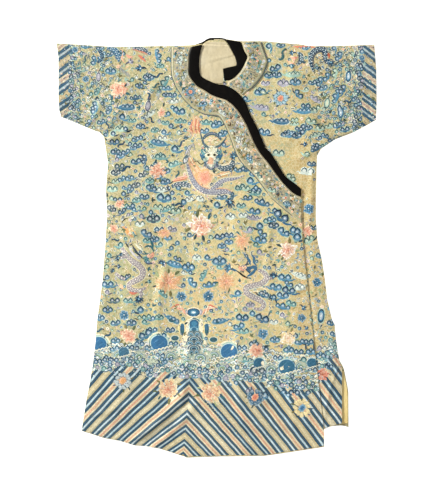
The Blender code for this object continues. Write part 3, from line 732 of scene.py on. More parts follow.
def sleeve_shell(name, node, cuff, seam, underside, corner, ncol):
    """Folded at the shoulder line: front, the fold's arc, back."""
    s_up = np.array(sorted(set(np.round(np.concatenate([np.linspace(0, corner, 10), np.linspace(corner, 0.97, 34)]), 5))))
    u, s = np.meshgrid(columns(ncol), s_up)
    x, y = np.zeros_like(u), np.full(u.shape, 500.0)
    for _ in range(40):
        x = mix(x, mix(along(cuff, y), along(seam, y), u), 0.6)
        y = mix(y, mix(along(underside, x), along(SHOULDER, x), s), 0.6)
    radius = OPEN_SEP / 2
    fold = along(SHOULDER, x) - radius
    y = np.where(s > 0.9, np.minimum(y, fold - 0.4), y)
    arcs = []
    for k in range(7):
        angle = pi / 2 - pi * k / 6
        xa = x[-1]
        fa = along(SHOULDER, xa) - radius
        mid = (inner_mid(xa, fa) + back_mid(xa, fa)) / 2
        half = (inner_mid(xa, fa) - back_mid(xa, fa)) / 2
        arcs.append((xa, fa + radius * cos(angle), mid + half * sin(angle)))
    xs = np.vstack([x] + [a[0][None] for a in arcs] + [x[::-1]])
    ys = np.vstack([y] + [a[1][None] for a in arcs] + [y[::-1]])
    zs = np.vstack([inner_mid(x, y)] + [a[2][None] for a in arcs]
                   + [(back_mid(x, y) + back_under(x, y) * 0.6)[::-1]])
    rows, cols = xs.shape
    verts = np.stack([xs, ys, zs], -1).reshape(-1, 3)
    f = grid_faces(rows, cols)
    a, b, c = verts[f[: cols * 5, 0]], verts[f[: cols * 5, 1]], verts[f[: cols * 5, 2]]
    if np.cross(b - a, c - a)[:, 2].sum() < 0:
        f = f[:, ::-1]
    ob = make_mesh(name, verts, [f], GROUND, uv=np.stack([xs, ys], -1).reshape(-1, 2) * 0.001)
    wall = ob.modifiers.new("wall", "SOLIDIFY")
    wall.thickness, wall.offset, wall.use_even_offset = SHELL * MM, 0.0, False
    run = np.concatenate([[0], np.cumsum(np.hypot(np.diff(ys.mean(axis=1)), np.diff(zs.mean(axis=1))))])
    cut_of(xs, np.broadcast_to(run[:, None], xs.shape))
    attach(ob, "root")
    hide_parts(node)
    return ob


left_corner = float((430 - 365) / (along(SHOULDER, LEFT_SEAM[-1][1]) - 365))
right_corner = float((385 - 305) / (along(SHOULDER, RIGHT_SEAM[-1][1]) - 305))
sleeve_shell("sleeve_left_silk", "sleeve_left", LEFT_CUFF, LEFT_SEAM, LEFT_UNDERSIDE, left_corner, 34)
sleeve_shell("sleeve_right_silk", "sleeve_right", RIGHT_CUFF, RIGHT_SEAM, RIGHT_UNDERSIDE, right_corner, 36)


# ============================================================ collar pieces
def strip_grid(sections, per, across, pairs):
    """Rows along the strip, columns across it between two columns of the sections."""
    s = catmull(sections, per)
    u = np.linspace(0, 1, across + 1)
    a, b = s[:, pairs[0]:pairs[0] + 2], s[:, pairs[1]:pairs[1] + 2]
    xy = a[:, None, :] + (b - a)[:, None, :] * u[None, :, None]
    length = np.concatenate([[0], np.cumsum(np.hypot(*np.diff(s[:, pairs[0]:pairs[0] + 2] / 2
                                                             + s[:, pairs[1]:pairs[1] + 2] / 2, axis=0).T))])
    return xy[..., 0], xy[..., 1], np.broadcast_to(u, xy.shape[:2]), np.broadcast_to(length[:, None], xy.shape[:2])


def cloth_strip(name, node, sections, per, across, pairs, top, lift, puff, material, thick=0.7, wrinkle=0.0):
    x, y, u, s = strip_grid(sections, per, across, pairs)
    z = top(x, y) + lift + puff * (1 - (2 * u - 1) ** 4)
    if wrinkle:
        z = z + wrinkle * (0.6 * np.sin(s / 5.3 + 2.1 * np.sin(s / 23)) * np.clip(1.3 - 1.6 * u, 0, 1)
                           + 0.4 * np.sin(s / 8.7 + 4 * u + 1.4 * np.sin(s / 31)))
    uv = np.stack([s * 0.01, u * 0.4], -1).reshape(-1, 2)
    return add_panel(name, node, x, y, z, material, strip=True, thick=thick, uv=uv)


def outer_top(x, y):
    return outer_mid(x, y) + SHELL / 2


def inner_top(x, y):
    return inner_mid(x, y) + SHELL / 2


BORDER_LIFT = 0.75
cloth_strip("collar_border_front_silk", "collar_border_front", COLLAR, 10, 12, (2, 4), outer_top, BORDER_LIFT, 0.15, BORDER_SILK)
cloth_strip("collar_border_right_silk", "collar_border_right", RIGHT_BORDER, 12, 12, (0, 2), inner_top, BORDER_LIFT, 0.15, BORDER_SILK)
cloth_strip("neck_binding_front_satin", "neck_binding_front", COLLAR, 12, 10, (0, 2), outer_top, BORDER_LIFT, 0.9, SATIN, wrinkle=0.42)
cloth_strip("neck_binding_right_satin", "neck_binding_right", RIGHT_BAND, 12, 10, (0, 2), inner_top, BORDER_LIFT, 0.8, SATIN, wrinkle=0.36)


def ring_point(radii, k, steps, inset):
    angle = pi + pi * (inset + (1 - 2 * inset) * k / steps)
    return COLLAR_CENTRE[0] + radii[0] * cos(angle), COLLAR_CENTRE[1] + radii[1] * sin(angle)


band_back, border_back = [], []
for k in range(19):
    ox, oy = ring_point(BACK_BAND_RADII, k, 18, 0.125)
    nx = mix(-48, 29, k / 18)
    band_back.append((nx, float(along(BACK_NECK, nx)) + 8.2, ox, oy))
    ax, ay = ring_point((BACK_BAND_RADII[0] + 0.6, BACK_BAND_RADII[1] + 0.6), k, 18, 0.13)
    bx, by = ring_point(BACK_BORDER_RADII, k, 18, 0.06)
    border_back.append((ax, ay, bx, by))


def table_top(x, y):
    return np.zeros(np.shape(x))


cloth_strip("neck_binding_back_satin", "neck_binding_back", band_back, 5, 10, (0, 2), table_top, 0.55, 0.35, SATIN, wrinkle=0.05)
cloth_strip("collar_border_back_silk", "collar_border_back", border_back, 6, 12, (0, 2), table_top, 0.45, 0.1, BORDER_SILK, thick=0.6)

# linings
rows_ = catmull([(l, y_, r, y_) for y_, l, r in NECK_LINING], 8)
x, y, u, s = strip_grid([(l, y_, r, y_) for y_, l, r in NECK_LINING], 8, 40, (0, 2))
fold = (-0.55 * np.exp(-((y - (675 - 0.06 * (x + 10))) / 2.2) ** 2) + 0.4 * np.exp(-((y - 670) / 3.5) ** 2)
        + 0.35 * np.exp(-((y - 628 - 0.25 * x) / 5) ** 2) * smooth((x + 40) / 40) - 0.3 * np.exp(-((y - 618 - 0.3 * x) / 4) ** 2)
        + 0.3 * np.exp(-((x + 20 + 0.2 * (y - 600)) / 7) ** 2) * smooth((640 - y) / 40)
        - 0.25 * np.exp(-((y - 598 + 0.35 * x) / 3.5) ** 2) + 0.12 * np.sin(x / 6 + y / 17) * np.sin(y / 9 - x / 13))
add_panel("neck_lining_cloth", "neck_lining", x, y, back_mid(x, y) + SHELL / 2 + 0.95 + fold * 1.9, CREAM, thick=0.6)
x, y, u, s = strip_grid([(l, y_, r, y_) for y_, l, r in VENT_LINING], 8, 10, (0, 2))
add_panel("vent_lining_cloth", "vent_lining", x, y,
          back_mid(x, y) + SHELL / 2 + 0.5 + 0.3 * np.sin(y / 11 + x / 9) + 0.15 * np.sin(y / 5.2), YELLOW, thick=0.6)




# ============================================================ embroidery kit
def px(x, y):
    """Robe millimetres of a place on the drawing, whose unit is 10/3 mm."""
    return (x - 216.6) / 0.3, (247.15 - y) / 0.3


PX = 10 / 3.0

HEX = dict(
    navy="#213f57", deep="#182f45", mid="#346a8c", blue="#4482a4", cobalt="#35719f", sky="#95c2d2", eye="#f3f8f6",
    teal="#2f6670", dteal="#1f434c", pteal="#a3c6b8", sea="#68a0a2", sage="#a9b585", moss="#5f6c45",
    lilac="#a3a2b2", plilac="#d0ccd0", iron="#666c82", dlilac="#51566e", dusk="#8f8f98", ash="#a2989c", shell="#e6dcc4", haze="#868a9b", rose="#cfbfbc", blush="#f2d2b0", buff="#ead9a4", wash="#b9c3ae", cream="#f2e8c8", pale="#e2e5d2", yellow="#ead996",
    peach="#eebd96", coral="#d87a60", salmon="#e89f88", pink="#f3cdb6", orange="#dfa262", brown="#5f4a35",
    ink="#1f1e1c", tan="#d3b981", grey="#8b949a", foam="#cfdcd2", white="#f8f8f2", olive="#7d7644",
    slate="#44606e", rust="#b35f3f", amber="#e3b57e", mist="#b9c4c4")
COL = {k: srgb(v) for k, v in HEX.items()}


def vary(c, amount=0.07):
    return np.clip(c * (1 + amount * RNG.standard_normal()), 0, 1)


def blend_col(a, b, t):
    return a * (1 - t) + b * t


class Work:
    """Collects stitched shapes: places with a height above the cloth."""

    def __init__(self):
        self.p, self.t, self.q, self.qc, self.r, self.rc, self.n = [], [], [], [], [], [], 0

    def add(self, p, t, quads, qc, tris=None, tc=None):
        self.p.append(p)
        self.t.append(t)
        if quads is not None and len(quads):
            self.q.append(quads + self.n)
            self.qc.append(qc)
        if tris is not None and len(tris):
            self.r.append(tris + self.n)
            self.rc.append(tc)
        self.n += len(p)


class At:
    """A place, turn, size and handedness for a motif."""

    def __init__(self, x, y, turn=0.0, k=1.0, flip=1):
        self.x, self.y, self.turn, self.k, self.flip = x, y, turn, k, flip

    def __call__(self, dx, dy):
        dx, dy = np.asarray(dx, float) * self.flip * self.k, np.asarray(dy, float) * self.k
        c, s = cos(self.turn), sin(self.turn)
        return self.x + dx * c - dy * s, self.y + dx * s + dy * c

    def ang(self, a):
        return (pi - a if self.flip < 0 else a) + self.turn


_fan = {}
LOD = {"fan": 1.0, "line": 1.0, "scale": 1.0}
RIM = -0.04            # the rim of every stitched shape dips into the cloth


def fan(w, cx, cy, rx, ry, rot, bands, lift=0.1, dome=0.3, seg=10, a0=0.0, a1=None, grain=0.8, wobble=0.0):
    """A domed disc or sector in rings of colour; bands are (share of radius, colour)."""
    full = a1 is None
    nb = len(bands)
    seg = max(5, int(round(seg * LOD["fan"])))
    key = (nb, seg, full)
    n = seg if full else seg + 1
    if key not in _fan:
        i = np.arange(seg)
        j = (i + 1) % n if full else i + 1
        tris = np.stack([np.zeros(seg, int), 1 + i, 1 + j], -1)
        quads = (np.concatenate([np.stack([1 + (k - 1) * n + i, 1 + k * n + i, 1 + k * n + j, 1 + (k - 1) * n + j], -1)
                                 for k in range(1, nb)]) if nb > 1 else np.zeros((0, 4), int))
        _fan[key] = tris, quads
    tris, quads = _fan[key]
    th = a0 + (2 * pi if full else a1 - a0) * np.arange(n) / seg
    fr = np.array([b[0] for b in bands])
    hh = lift + dome * (1 - fr ** 2)
    hh[-1] = RIM
    ux, uy = np.cos(th) * rx, np.sin(th) * ry
    if wobble:
        k_ = 1 + wobble * np.sin(th * 5 + RNG.uniform(0, 6)) + wobble * 0.7 * RNG.standard_normal(n)
        ux, uy = ux * k_, uy * k_
    grow = fr.copy()
    grow[-1] *= 1.05
    lx = np.concatenate([[0], (grow[:, None] * ux).ravel()])
    ly = np.concatenate([[0], (grow[:, None] * uy).ravel()])
    h = np.concatenate([[lift + dome], np.repeat(hh, n)])
    c, s = cos(rot), sin(rot)
    p = np.stack([cx + lx * c - ly * s, cy + lx * s + ly * c, h], -1)
    t = np.stack([lx * cos(grain) + ly * sin(grain), ly], -1)
    cols = [b[1] for b in bands]
    qc = np.repeat(np.array(cols[1:]), seg, axis=0) if nb > 1 else None
    w.add(p, t, quads, qc, tris, np.repeat(np.array(cols[:1]), seg, axis=0))


_rib = {}


def ribbon(w, pts, half, bands, lift=0.1, dome=0.25, per=4, straight=False):
    """A stitched line: points, half widths, and colours across it."""
    pts = np.array(pts, float)
    half = np.broadcast_to(np.array(half, float), (len(pts),)) if np.ndim(half) == 0 else np.array(half, float)
    if len(half) != len(pts):
        half = np.interp(np.linspace(0, 1, len(pts)), np.linspace(0, 1, len(half)), half)
    rows = np.column_stack([pts, half])
    c = rows if straight else catmull(rows, max(1, int(round(per * LOD["line"]))))
    xy, hw = c[:, :2], np.maximum(c[:, 2], 0.02)
    d = np.gradient(xy, axis=0)
    d /= np.maximum(np.hypot(d[:, 0], d[:, 1]), 1e-9)[:, None]
    nrm = np.stack([-d[:, 1], d[:, 0]], -1)
    e = np.array([bands[0][0]] + [b[1] for b in bands])
    off = e * 1.06
    m = len(off)
    n = len(xy)
    across = off[None, :] * hw[:, None]
    P = xy[:, None, :] + nrm[:, None, :] * across[..., None]
    h = lift + dome * (1 - e ** 2)
    h[0] = h[-1] = RIM
    H = np.broadcast_to(h, (n, m)).copy()
    H[0] = H[-1] = RIM
    s = np.concatenate([[0], np.cumsum(np.hypot(*np.diff(xy, axis=0).T))])
    T = np.stack(np.broadcast_arrays(s[:, None], across), -1)
    key = (n, m)
    if key not in _rib:
        i = np.arange((n - 1) * m).reshape(n - 1, m)[:, :-1]
        _rib[key] = np.stack([i, i + m, i + m + 1, i + 1], -1).reshape(-1, 4)[:, ::-1]
    quads = _rib[key]
    cols = np.array([b[2] for b in bands])
    w.add(np.concatenate([P, H[..., None]], -1).reshape(-1, 3), T.reshape(-1, 2), quads, np.tile(cols, (n - 1, 1)))
    return c


def line(w, pts, half, c, lift=0.1, dome=0.2, per=4):
    return ribbon(w, pts, half, [(-1, 0, c), (0, 1, c)], lift, dome, per)


def petal(w, x, y, ang, r0, r1, hw, cols, edge=None, skew=1.4, lift=0.1, dome=0.3, bend=0.0, notch=0.0):
    """A petal or leaf from r0 to r1; cols run from its base to its tip."""
    n = len(cols)
    t = np.linspace(0, 1, n + 1)
    half = hw * np.sqrt(np.clip(4 * t ** skew * (1 - t ** skew), 0, 1))
    half[0] = max(half[0], hw * 0.18)
    half[-1] = max(half[-1], hw * (0.3 if skew > 1.1 else 0.04))
    e = np.array([-1, -0.6, 0, 0.6, 1.0]) if edge is not None else np.array([-1, 0, 1.0])
    along_ = r0 + (r1 - r0) * t
    X = along_[:, None] + 0 * e[None, :] - notch * (r1 - r0) * (t[:, None] ** 3) * (e[None, :] ** 2) \
        + notch * 0.6 * (r1 - r0) * (t[:, None] ** 3) * (np.abs(e)[None, :] * (1 - np.abs(e)[None, :]) * 2)
    Y = half[:, None] * e[None, :] + bend * (t[:, None] ** 2) * (r1 - r0)
    H = lift + dome * (1 - e[None, :] ** 2) * np.sin(pi * (0.15 + 0.8 * t[:, None]))
    Xs, Ys, Hs = X, Y, H.copy()
    Hs[:, 0] = Hs[:, -1] = RIM
    Hs[-1, :] = RIM
    c, s = cos(ang), sin(ang)
    P = np.stack([x + Xs * c - Ys * s, y + Xs * s + Ys * c, Hs], -1)
    rows, m = Xs.shape
    key = ("p", rows, m)
    if key not in _rib:
        i = np.arange((rows - 1) * m).reshape(rows - 1, m)[:, :-1]
        _rib[key] = np.stack([i, i + m, i + m + 1, i + 1], -1).reshape(-1, 4)
    C = np.zeros((rows - 1, m - 1, 3))
    for k in range(rows - 1):
        C[k, :, :] = cols[min(k, n - 1)]
    if edge is not None:
        C[:, :1], C[:, -1:] = edge, edge
        C[-1:, :] = blend_col(edge, cols[-1], 0.3)
    w.add(P.reshape(-1, 3), np.stack([Ys, Xs], -1).reshape(-1, 2), _rib[key], C.reshape(-1, 3))


# ------------------------------------------------------------ cloud motifs
TONES = {  # dark arch, fill, light, halo
    "N": ("deep", "mid", "eye", "pteal"), "D": ("deep", "slate", "white", "pale"), "B": ("navy", "blue", "eye", "pteal"),
    "T": ("dteal", "sea", "pale", "pteal"), "G": ("dteal", "pteal", "cream", "sage"),
    "L": ("dlilac", "lilac", "plilac", "pale"), "P": ("slate", "foam", "white", "cream")}
HALOS = ("foam", "sage", "pteal", "wash", "wash", "sage")


def tones(key):
    ring, fill, eye, halo = TONES[key]
    if RNG.random() < 0.5:
        halo = RNG.choice(HALOS)
    return vary(COL[ring], 0.12), vary(COL[fill], 0.09), vary(COL[eye], 0.03), vary(COL[halo], 0.05)


def curl(w, at, dx, dy, r, tone, eye_at=0.0, squash=1.0, lift=0.12, opening=None):
    """One curled head of a cloud: a dark arch over shaded floss and a pale eye."""
    ring, fill, eye, halo = tone
    x, y = at(dx, dy)
    r = r * at.k
    if y > 20:  # the chest and sleeves are worked in deeper blues than the skirt
        ring, fill = ring * 0.78, fill * 0.93
    light = blend_col(fill, eye, 0.5)
    fan(w, x, y, r * 1.16, r * 1.1 * squash, at.turn, [(0.3, light), (0.82, blend_col(fill, eye, 0.08)), (1.0, halo)], lift - 0.06, 0.26, 9)
    gap = at.ang(-pi / 2 if opening is None else opening)
    a = gap + np.array([0.62, 1.5, pi, 2 * pi - 1.5, 2 * pi - 0.62])
    rad = r * np.array([0.66, 0.8, 0.84, 0.8, 0.66])
    line(w, np.column_stack([x + rad * np.cos(a), y + rad * squash * np.sin(a)]), np.array([0.06, 0.25, 0.31, 0.25, 0.06]) * r, ring, lift + 0.2, 0.16, 2)
    ex, ey = at(dx + eye_at * r / at.k, dy - 0.1 * r / at.k)
    fan(w, ex, ey, r * 0.32, r * 0.28, at.turn, [(1.0, blend_col(eye, COL["white"], 0.75) if max(eye) > 0.5 else eye)], lift + 0.26, 0.06, 7)


def cloud(w, kind, x, y, turn=0.0, r=2.8):
    """The small clouds, by a letter for their form and one for their tone."""
    form, tone_key = kind[0], kind[1]
    r *= PX * 0.91
    tone = tones(tone_key)
    ring, fill, eye, halo = tone
    at = At(x, y, radians(turn), 1.0, 1 if RNG.random() < 0.5 else -1)
    if form == "T":
        line(w, np.column_stack(at([-1.0 * r, 0.0, 1.0 * r], [-0.55 * r, -0.75 * r, -0.5 * r])), [0.3 * r, 0.42 * r, 0.3 * r], fill, 0.06)
        curl(w, at, -0.9 * r, 0.0, r, tone, 0.18)
        curl(w, at, 0.92 * r, 0.05 * r, r * 0.93, tone, -0.12)
        if RNG.random() < 0.55:
            line(w, np.column_stack(at([0.9 * r, 1.9 * r, 2.6 * r, 3.2 * r], [-0.8 * r, -0.75 * r, -0.35 * r, -0.5 * r])),
                 [0.26 * r, 0.22 * r, 0.15 * r, 0.03 * r], ring if RNG.random() < 0.5 else fill, 0.1)
        if RNG.random() < 0.4:
            curl(w, at, 0.05 * r, 0.95 * r, r * 0.55, tone, 0.0)
    elif form == "O":
        curl(w, at, 0, 0, r, tone, 0.15)
        line(w, np.column_stack(at([0.3 * r, 1.2 * r, 1.9 * r, 2.5 * r], [-0.85 * r, -0.8 * r, -0.45 * r, -0.6 * r])),
             [0.28 * r, 0.26 * r, 0.16 * r, 0.03 * r], fill if RNG.random() < 0.6 else ring, 0.1)
    elif form == "C":
        line(w, np.column_stack(at([-1.9 * r, 0.0, 1.9 * r], [-0.5 * r, -0.5 * r, -0.4 * r])), [0.3 * r, 0.5 * r, 0.3 * r], fill, 0.06)
        for dx, dy, k in ((-1.75, -0.1, 0.85), (1.7, 0.1, 0.8), (0.0, 0.28, 1.0)):
            curl(w, at, dx * r, dy * r, r * k, tone, 0.1 if dx >= 0 else -0.1)
    elif form == "W":
        fan(w, *at(0.1 * r, -0.15 * r), 2.7 * r, 1.02 * r, at.turn, [(0.5, blend_col(fill, COL["sky"], 0.3)), (0.8, fill), (0.9, fill), (1.0, halo)], 0.06, 0.3, 16)
        for dx, k in ((-1.35, 0.72), (0.0, 0.8), (1.2, 0.62)):
            curl(w, at, dx * r, 0.12 * r, r * k, (ring, fill, eye, blend_col(fill, halo, 0.3)), 0.1, lift=0.3)
        line(w, np.column_stack(at([1.6 * r, 2.6 * r, 3.4 * r, 4.0 * r], [-0.3 * r, -0.35 * r, 0.0, -0.25 * r])),
             [0.45 * r, 0.3 * r, 0.18 * r, 0.03 * r], fill, 0.1)
    elif form == "J":
        line(w, np.column_stack(at([-1.5 * r, -0.6 * r, 0.5 * r, 1.1 * r, 0.7 * r], [-0.35 * r, 0.15 * r, -0.1 * r, 0.45 * r, 0.75 * r])),
             [0.06 * r, 0.26 * r, 0.3 * r, 0.2 * r, 0.05 * r], blend_col(ring, fill, 0.3), 0.12)
        fan(w, *at(-1.2 * r, -0.3 * r), 0.3 * r, 0.3 * r, 0, [(1.0, ring)], 0.1, 0.2, 8)
    elif form == "L":
        fan(w, *at(0, 0), 1.85 * r, 0.92 * r, at.turn, [(0.2, blend_col(fill, eye, 0.85)), (0.46, blend_col(fill, eye, 0.4)), (0.68, fill), (0.88, ring), (1.0, halo)], 0.1, 0.3, 14)
        fan(w, *at(-0.75 * r, 0), 0.34 * r, 0.3 * r, at.turn, [(0.5, eye), (1.0, ring)], 0.34, 0.1, 8)
        line(w, np.column_stack(at([-1.6 * r, -2.2 * r, -2.8 * r], [0.0, -0.3 * r, 0.1 * r])), [0.2 * r, 0.15 * r, 0.03 * r], ring, 0.1)
    elif form == "X":
        for k in range(5):
            a = radians(-80 + 40 * k) + RNG.normal() * 0.08
            tip = At(x, y, at.turn, 1.0, at.flip).ang(a)
            reach = r * (1.25 - 0.12 * abs(k - 2)) * RNG.uniform(0.85, 1.1)
            mx, my = x + 0.55 * reach * cos(tip), y + 0.55 * reach * sin(tip)
            tx, ty = x + reach * cos(tip + 0.18), y + reach * sin(tip + 0.18)
            line(w, [(x, y), (mx, my), (tx, ty)], [0.2 * r, 0.22 * r, 0.03 * r], ring if k % 2 else fill, 0.14)
        fan(w, x, y, 0.42 * r, 0.36 * r, at.turn, [(0.4, eye), (1.0, fill)], 0.2, 0.25, 9)
        line(w, np.column_stack(at([0.0, -0.9 * r, -1.5 * r], [0.0, 0.15 * r, -0.2 * r])), [0.25 * r, 0.2 * r, 0.04 * r], ring, 0.12)
    elif form == "F":
        n = 9
        for k in range(n):
            a = at.turn + 2 * pi * k / n
            petal(w, x, y, a + RNG.normal() * 0.1, 0.35 * r, r * RNG.uniform(0.84, 1.08), 0.36 * r, [ring, fill, blend_col(fill, COL["sky"], 0.5)], edge=blend_col(fill, eye, 0.55), lift=0.1, notch=0.25)
        for k in range(6):
            a = at.turn + 2 * pi * (k + 0.5) / 6
            petal(w, x, y, a, 0.08 * r, 0.62 * r * RNG.uniform(0.85, 1.1), 0.25 * r, [ring, fill, COL["sky"] * 0.9], edge=blend_col(ring, fill, 0.5), lift=0.26, notch=0.2)
        fan(w, x, y, 0.17 * r, 0.17 * r, 0, [(0.5, COL["eye"]), (1.0, COL["sky"])], 0.42, 0.1, 8)


# ------------------------------------------------------------ flowers
FLOWER_TONES = {  # outer, middle, core, edge
    "P": ("blush", "salmon", "coral", "cream"), "C": ("cream", "peach", "coral", "white"),
    "O": ("amber", "orange", "salmon", "blush"), "Y": ("yellow", "cream", "peach", "white"),
    "K": ("salmon", "coral", "rust", "pink"), "H": ("buff", "blush", "coral", "cream"), "W": ("cream", "yellow", "mid", "white")}


def leaf(w, x, y, a, length, tone="sage"):
    c = vary(COL[tone])
    petal(w, x, y, a, 0, length, length * 0.2, [c * 0.8, c, c, blend_col(c, COL["cream"], 0.25)], edge=c * 0.7, skew=0.85, lift=0.08,
          bend=RNG.uniform(-0.15, 0.15))
    line(w, [(x, y), (x + 0.8 * length * cos(a), y + 0.8 * length * sin(a))], [length * 0.035, 0.1], c * 0.5, 0.4, 0.05, 3)


def peony(w, x, y, r, tone="P", sx=1.0, sy=1.0, leaves=4, turn=0.0):
    r *= PX * 1.22
    outer, middle, core, edge = (COL[c] for c in FLOWER_TONES[tone])
    for k in range(leaves):
        a = turn + 2 * pi * k / max(1, leaves) + RNG.normal() * 0.35
        leaf(w, x + 0.75 * r * sx * cos(a), y + 0.75 * r * sy * sin(a), a + RNG.normal() * 0.3, r * RNG.uniform(0.5, 0.75),
             RNG.choice(["sage", "moss", "teal", "dteal", "olive"]))
    rings = ((11, 0.42, 1.0, 0.26, 0.0), (10, 0.26, 0.8, 0.23, 0.5), (8, 0.12, 0.6, 0.19, 0.2), (5, 0.02, 0.38, 0.15, 0.7))
    soft = tone == "O"
    if soft:
        rings = ((17, 0.5, 1.04, 0.15, 0.0), (15, 0.34, 0.84, 0.14, 0.5), (12, 0.18, 0.6, 0.12, 0.2), (7, 0.02, 0.36, 0.11, 0.7))
    for ring_no, (n, r0, r1, hw, phase) in enumerate(rings):
        for k in range(n):
            a = turn + 2 * pi * (k + phase) / n + RNG.normal() * 0.15
            squeeze = 1.0 / sqrt((cos(a) / sx) ** 2 + (sin(a) / sy) ** 2)
            reach = r * r1 * RNG.uniform(0.72, 1.16) * squeeze
            t = ring_no / 3
            base = vary(blend_col(core, middle, 0.15 * (1 - t)), 0.1) * 0.92
            tip = vary(blend_col(outer, middle, 0.75 * t), 0.08)
            if soft:
                base = blend_col(base, outer, (0.6, 0.4, 0.15, 0.0)[ring_no])
                tip = blend_col(tip, COL["tan"], (0.5, 0.3, 0.0, 0.0)[ring_no])
            if RNG.random() < 0.3:
                tip = blend_col(tip, edge, 0.6)
            petal(w, x, y, a, r * r0 * squeeze * 0.8, reach, r * hw * RNG.uniform(0.85, 1.1),
                  [base, blend_col(base, tip, 0.3), blend_col(base, tip, 0.8), tip],
                  edge=vary(edge, 0.06) if RNG.random() < 0.7 else base, skew=RNG.uniform(1.1, 1.8), lift=0.1 + 0.1 * ring_no, dome=0.28,
                  bend=RNG.uniform(-0.18, 0.18), notch=RNG.uniform(0.1, 0.3))
    for k in range(7):
        a, d = RNG.uniform(0, 2 * pi), r * RNG.uniform(0, 0.12)
        fan(w, x + d * cos(a) * sx, y + d * sin(a) * sy, r * 0.045, r * 0.045, 0, [(1.0, COL["yellow"] if k % 2 else core)], 0.62, 0.1, 6)


def aster(w, x, y, r, petals="blue", centre="coral", ring="navy", n=11, turn=0.3, oval=1.0):
    """A many-petalled flower with a plain round heart, dark leaves about it."""
    r *= PX
    for k in range(7):
        a = turn + 2 * pi * (k + 0.3 * RNG.random()) / 7
        leaf(w, x + 0.72 * r * cos(a), y + 0.72 * r * sin(a), a + RNG.normal() * 0.5, r * RNG.uniform(0.4, 0.55), RNG.choice(["dteal", "moss", "olive", "slate"]))
    for ring_no, (m, r0, r1, hw) in enumerate(((n, 0.4, 1.0, 0.27), (n - 2, 0.32, 0.74, 0.2))):
        for k in range(m):
            a = turn + 2 * pi * (k + 0.5 * ring_no) / m + RNG.normal() * 0.06
            p_ = COL[petals]
            petal(w, x, y, a, r * r0, r * r1 * RNG.uniform(0.88, 1.05), r * hw,
                  [blend_col(COL[ring], p_, 0.4), vary(p_), blend_col(p_, COL["mist"], 0.55), blend_col(p_, COL["plilac"], 0.75)] if petals != "buff"
                  else [COL["tan"], vary(p_), vary(p_), COL["cream"]],
                  edge=vary(blend_col(COL["slate"], p_, 0.3 if petals != "buff" else 0.8), 0.1), skew=1.4, lift=0.12 + 0.1 * ring_no, bend=RNG.uniform(-0.2, 0.2), notch=0.2)
    soft = COL["peach"] if centre != "cobalt" else COL["sky"]
    fan(w, x, y, r * 0.42 * oval, r * 0.38 / oval, 0.9, [(0.45, COL[centre]), (0.8, blend_col(COL[centre], soft, 0.5)), (1.0, soft)], 0.25, 0.3, 14)
    for k in range(6):
        d = (k - 2.5) * 0.1 * r
        line(w, [(x + d - 0.16 * r, y + 0.2 * r - d * 0.3), (x + d + 0.16 * r, y - 0.2 * r - d * 0.3)], 0.022 * r, COL["rust"] if k % 2 else COL["pink"], 0.6, 0.03, 2)


def blossom(w, x, y, r, c, heart="yellow", n=5):
    r *= PX
    turn = RNG.uniform(0, 6)
    c = vary(COL[c])
    for k in range(n):
        petal(w, x, y, turn + 2 * pi * k / n, 0.12 * r, r, 0.42 * r, [c * 0.85, c, blend_col(c, COL["white"], 0.3)],
              edge=blend_col(c, COL["white"], 0.4), skew=1.5, lift=0.1)
    fan(w, x, y, 0.24 * r, 0.24 * r, 0, [(1.0, COL[heart])], 0.3, 0.15, 7)


def sprig(w, x, y, a, r, tone="dteal"):
    r *= PX
    c = vary(COL[tone])
    ex, ey = x + 2 * r * cos(a), y + 2 * r * sin(a)
    mx, my = (x + ex) / 2 + 0.3 * r * sin(a), (y + ey) / 2 - 0.3 * r * cos(a)
    line(w, [(x, y), (mx, my), (ex, ey)], [0.12 * r, 0.16 * r, 0.05 * r], c, 0.08, 0.15, 3)
    for k, side in ((0.35, 1), (0.6, -1), (0.85, 1)):
        qx, qy = mix(x, ex, k), mix(y, ey, k)
        leaf(w, qx, qy, a + side * 0.8, r * 0.9, RNG.choice([tone, "sage", "teal"]))


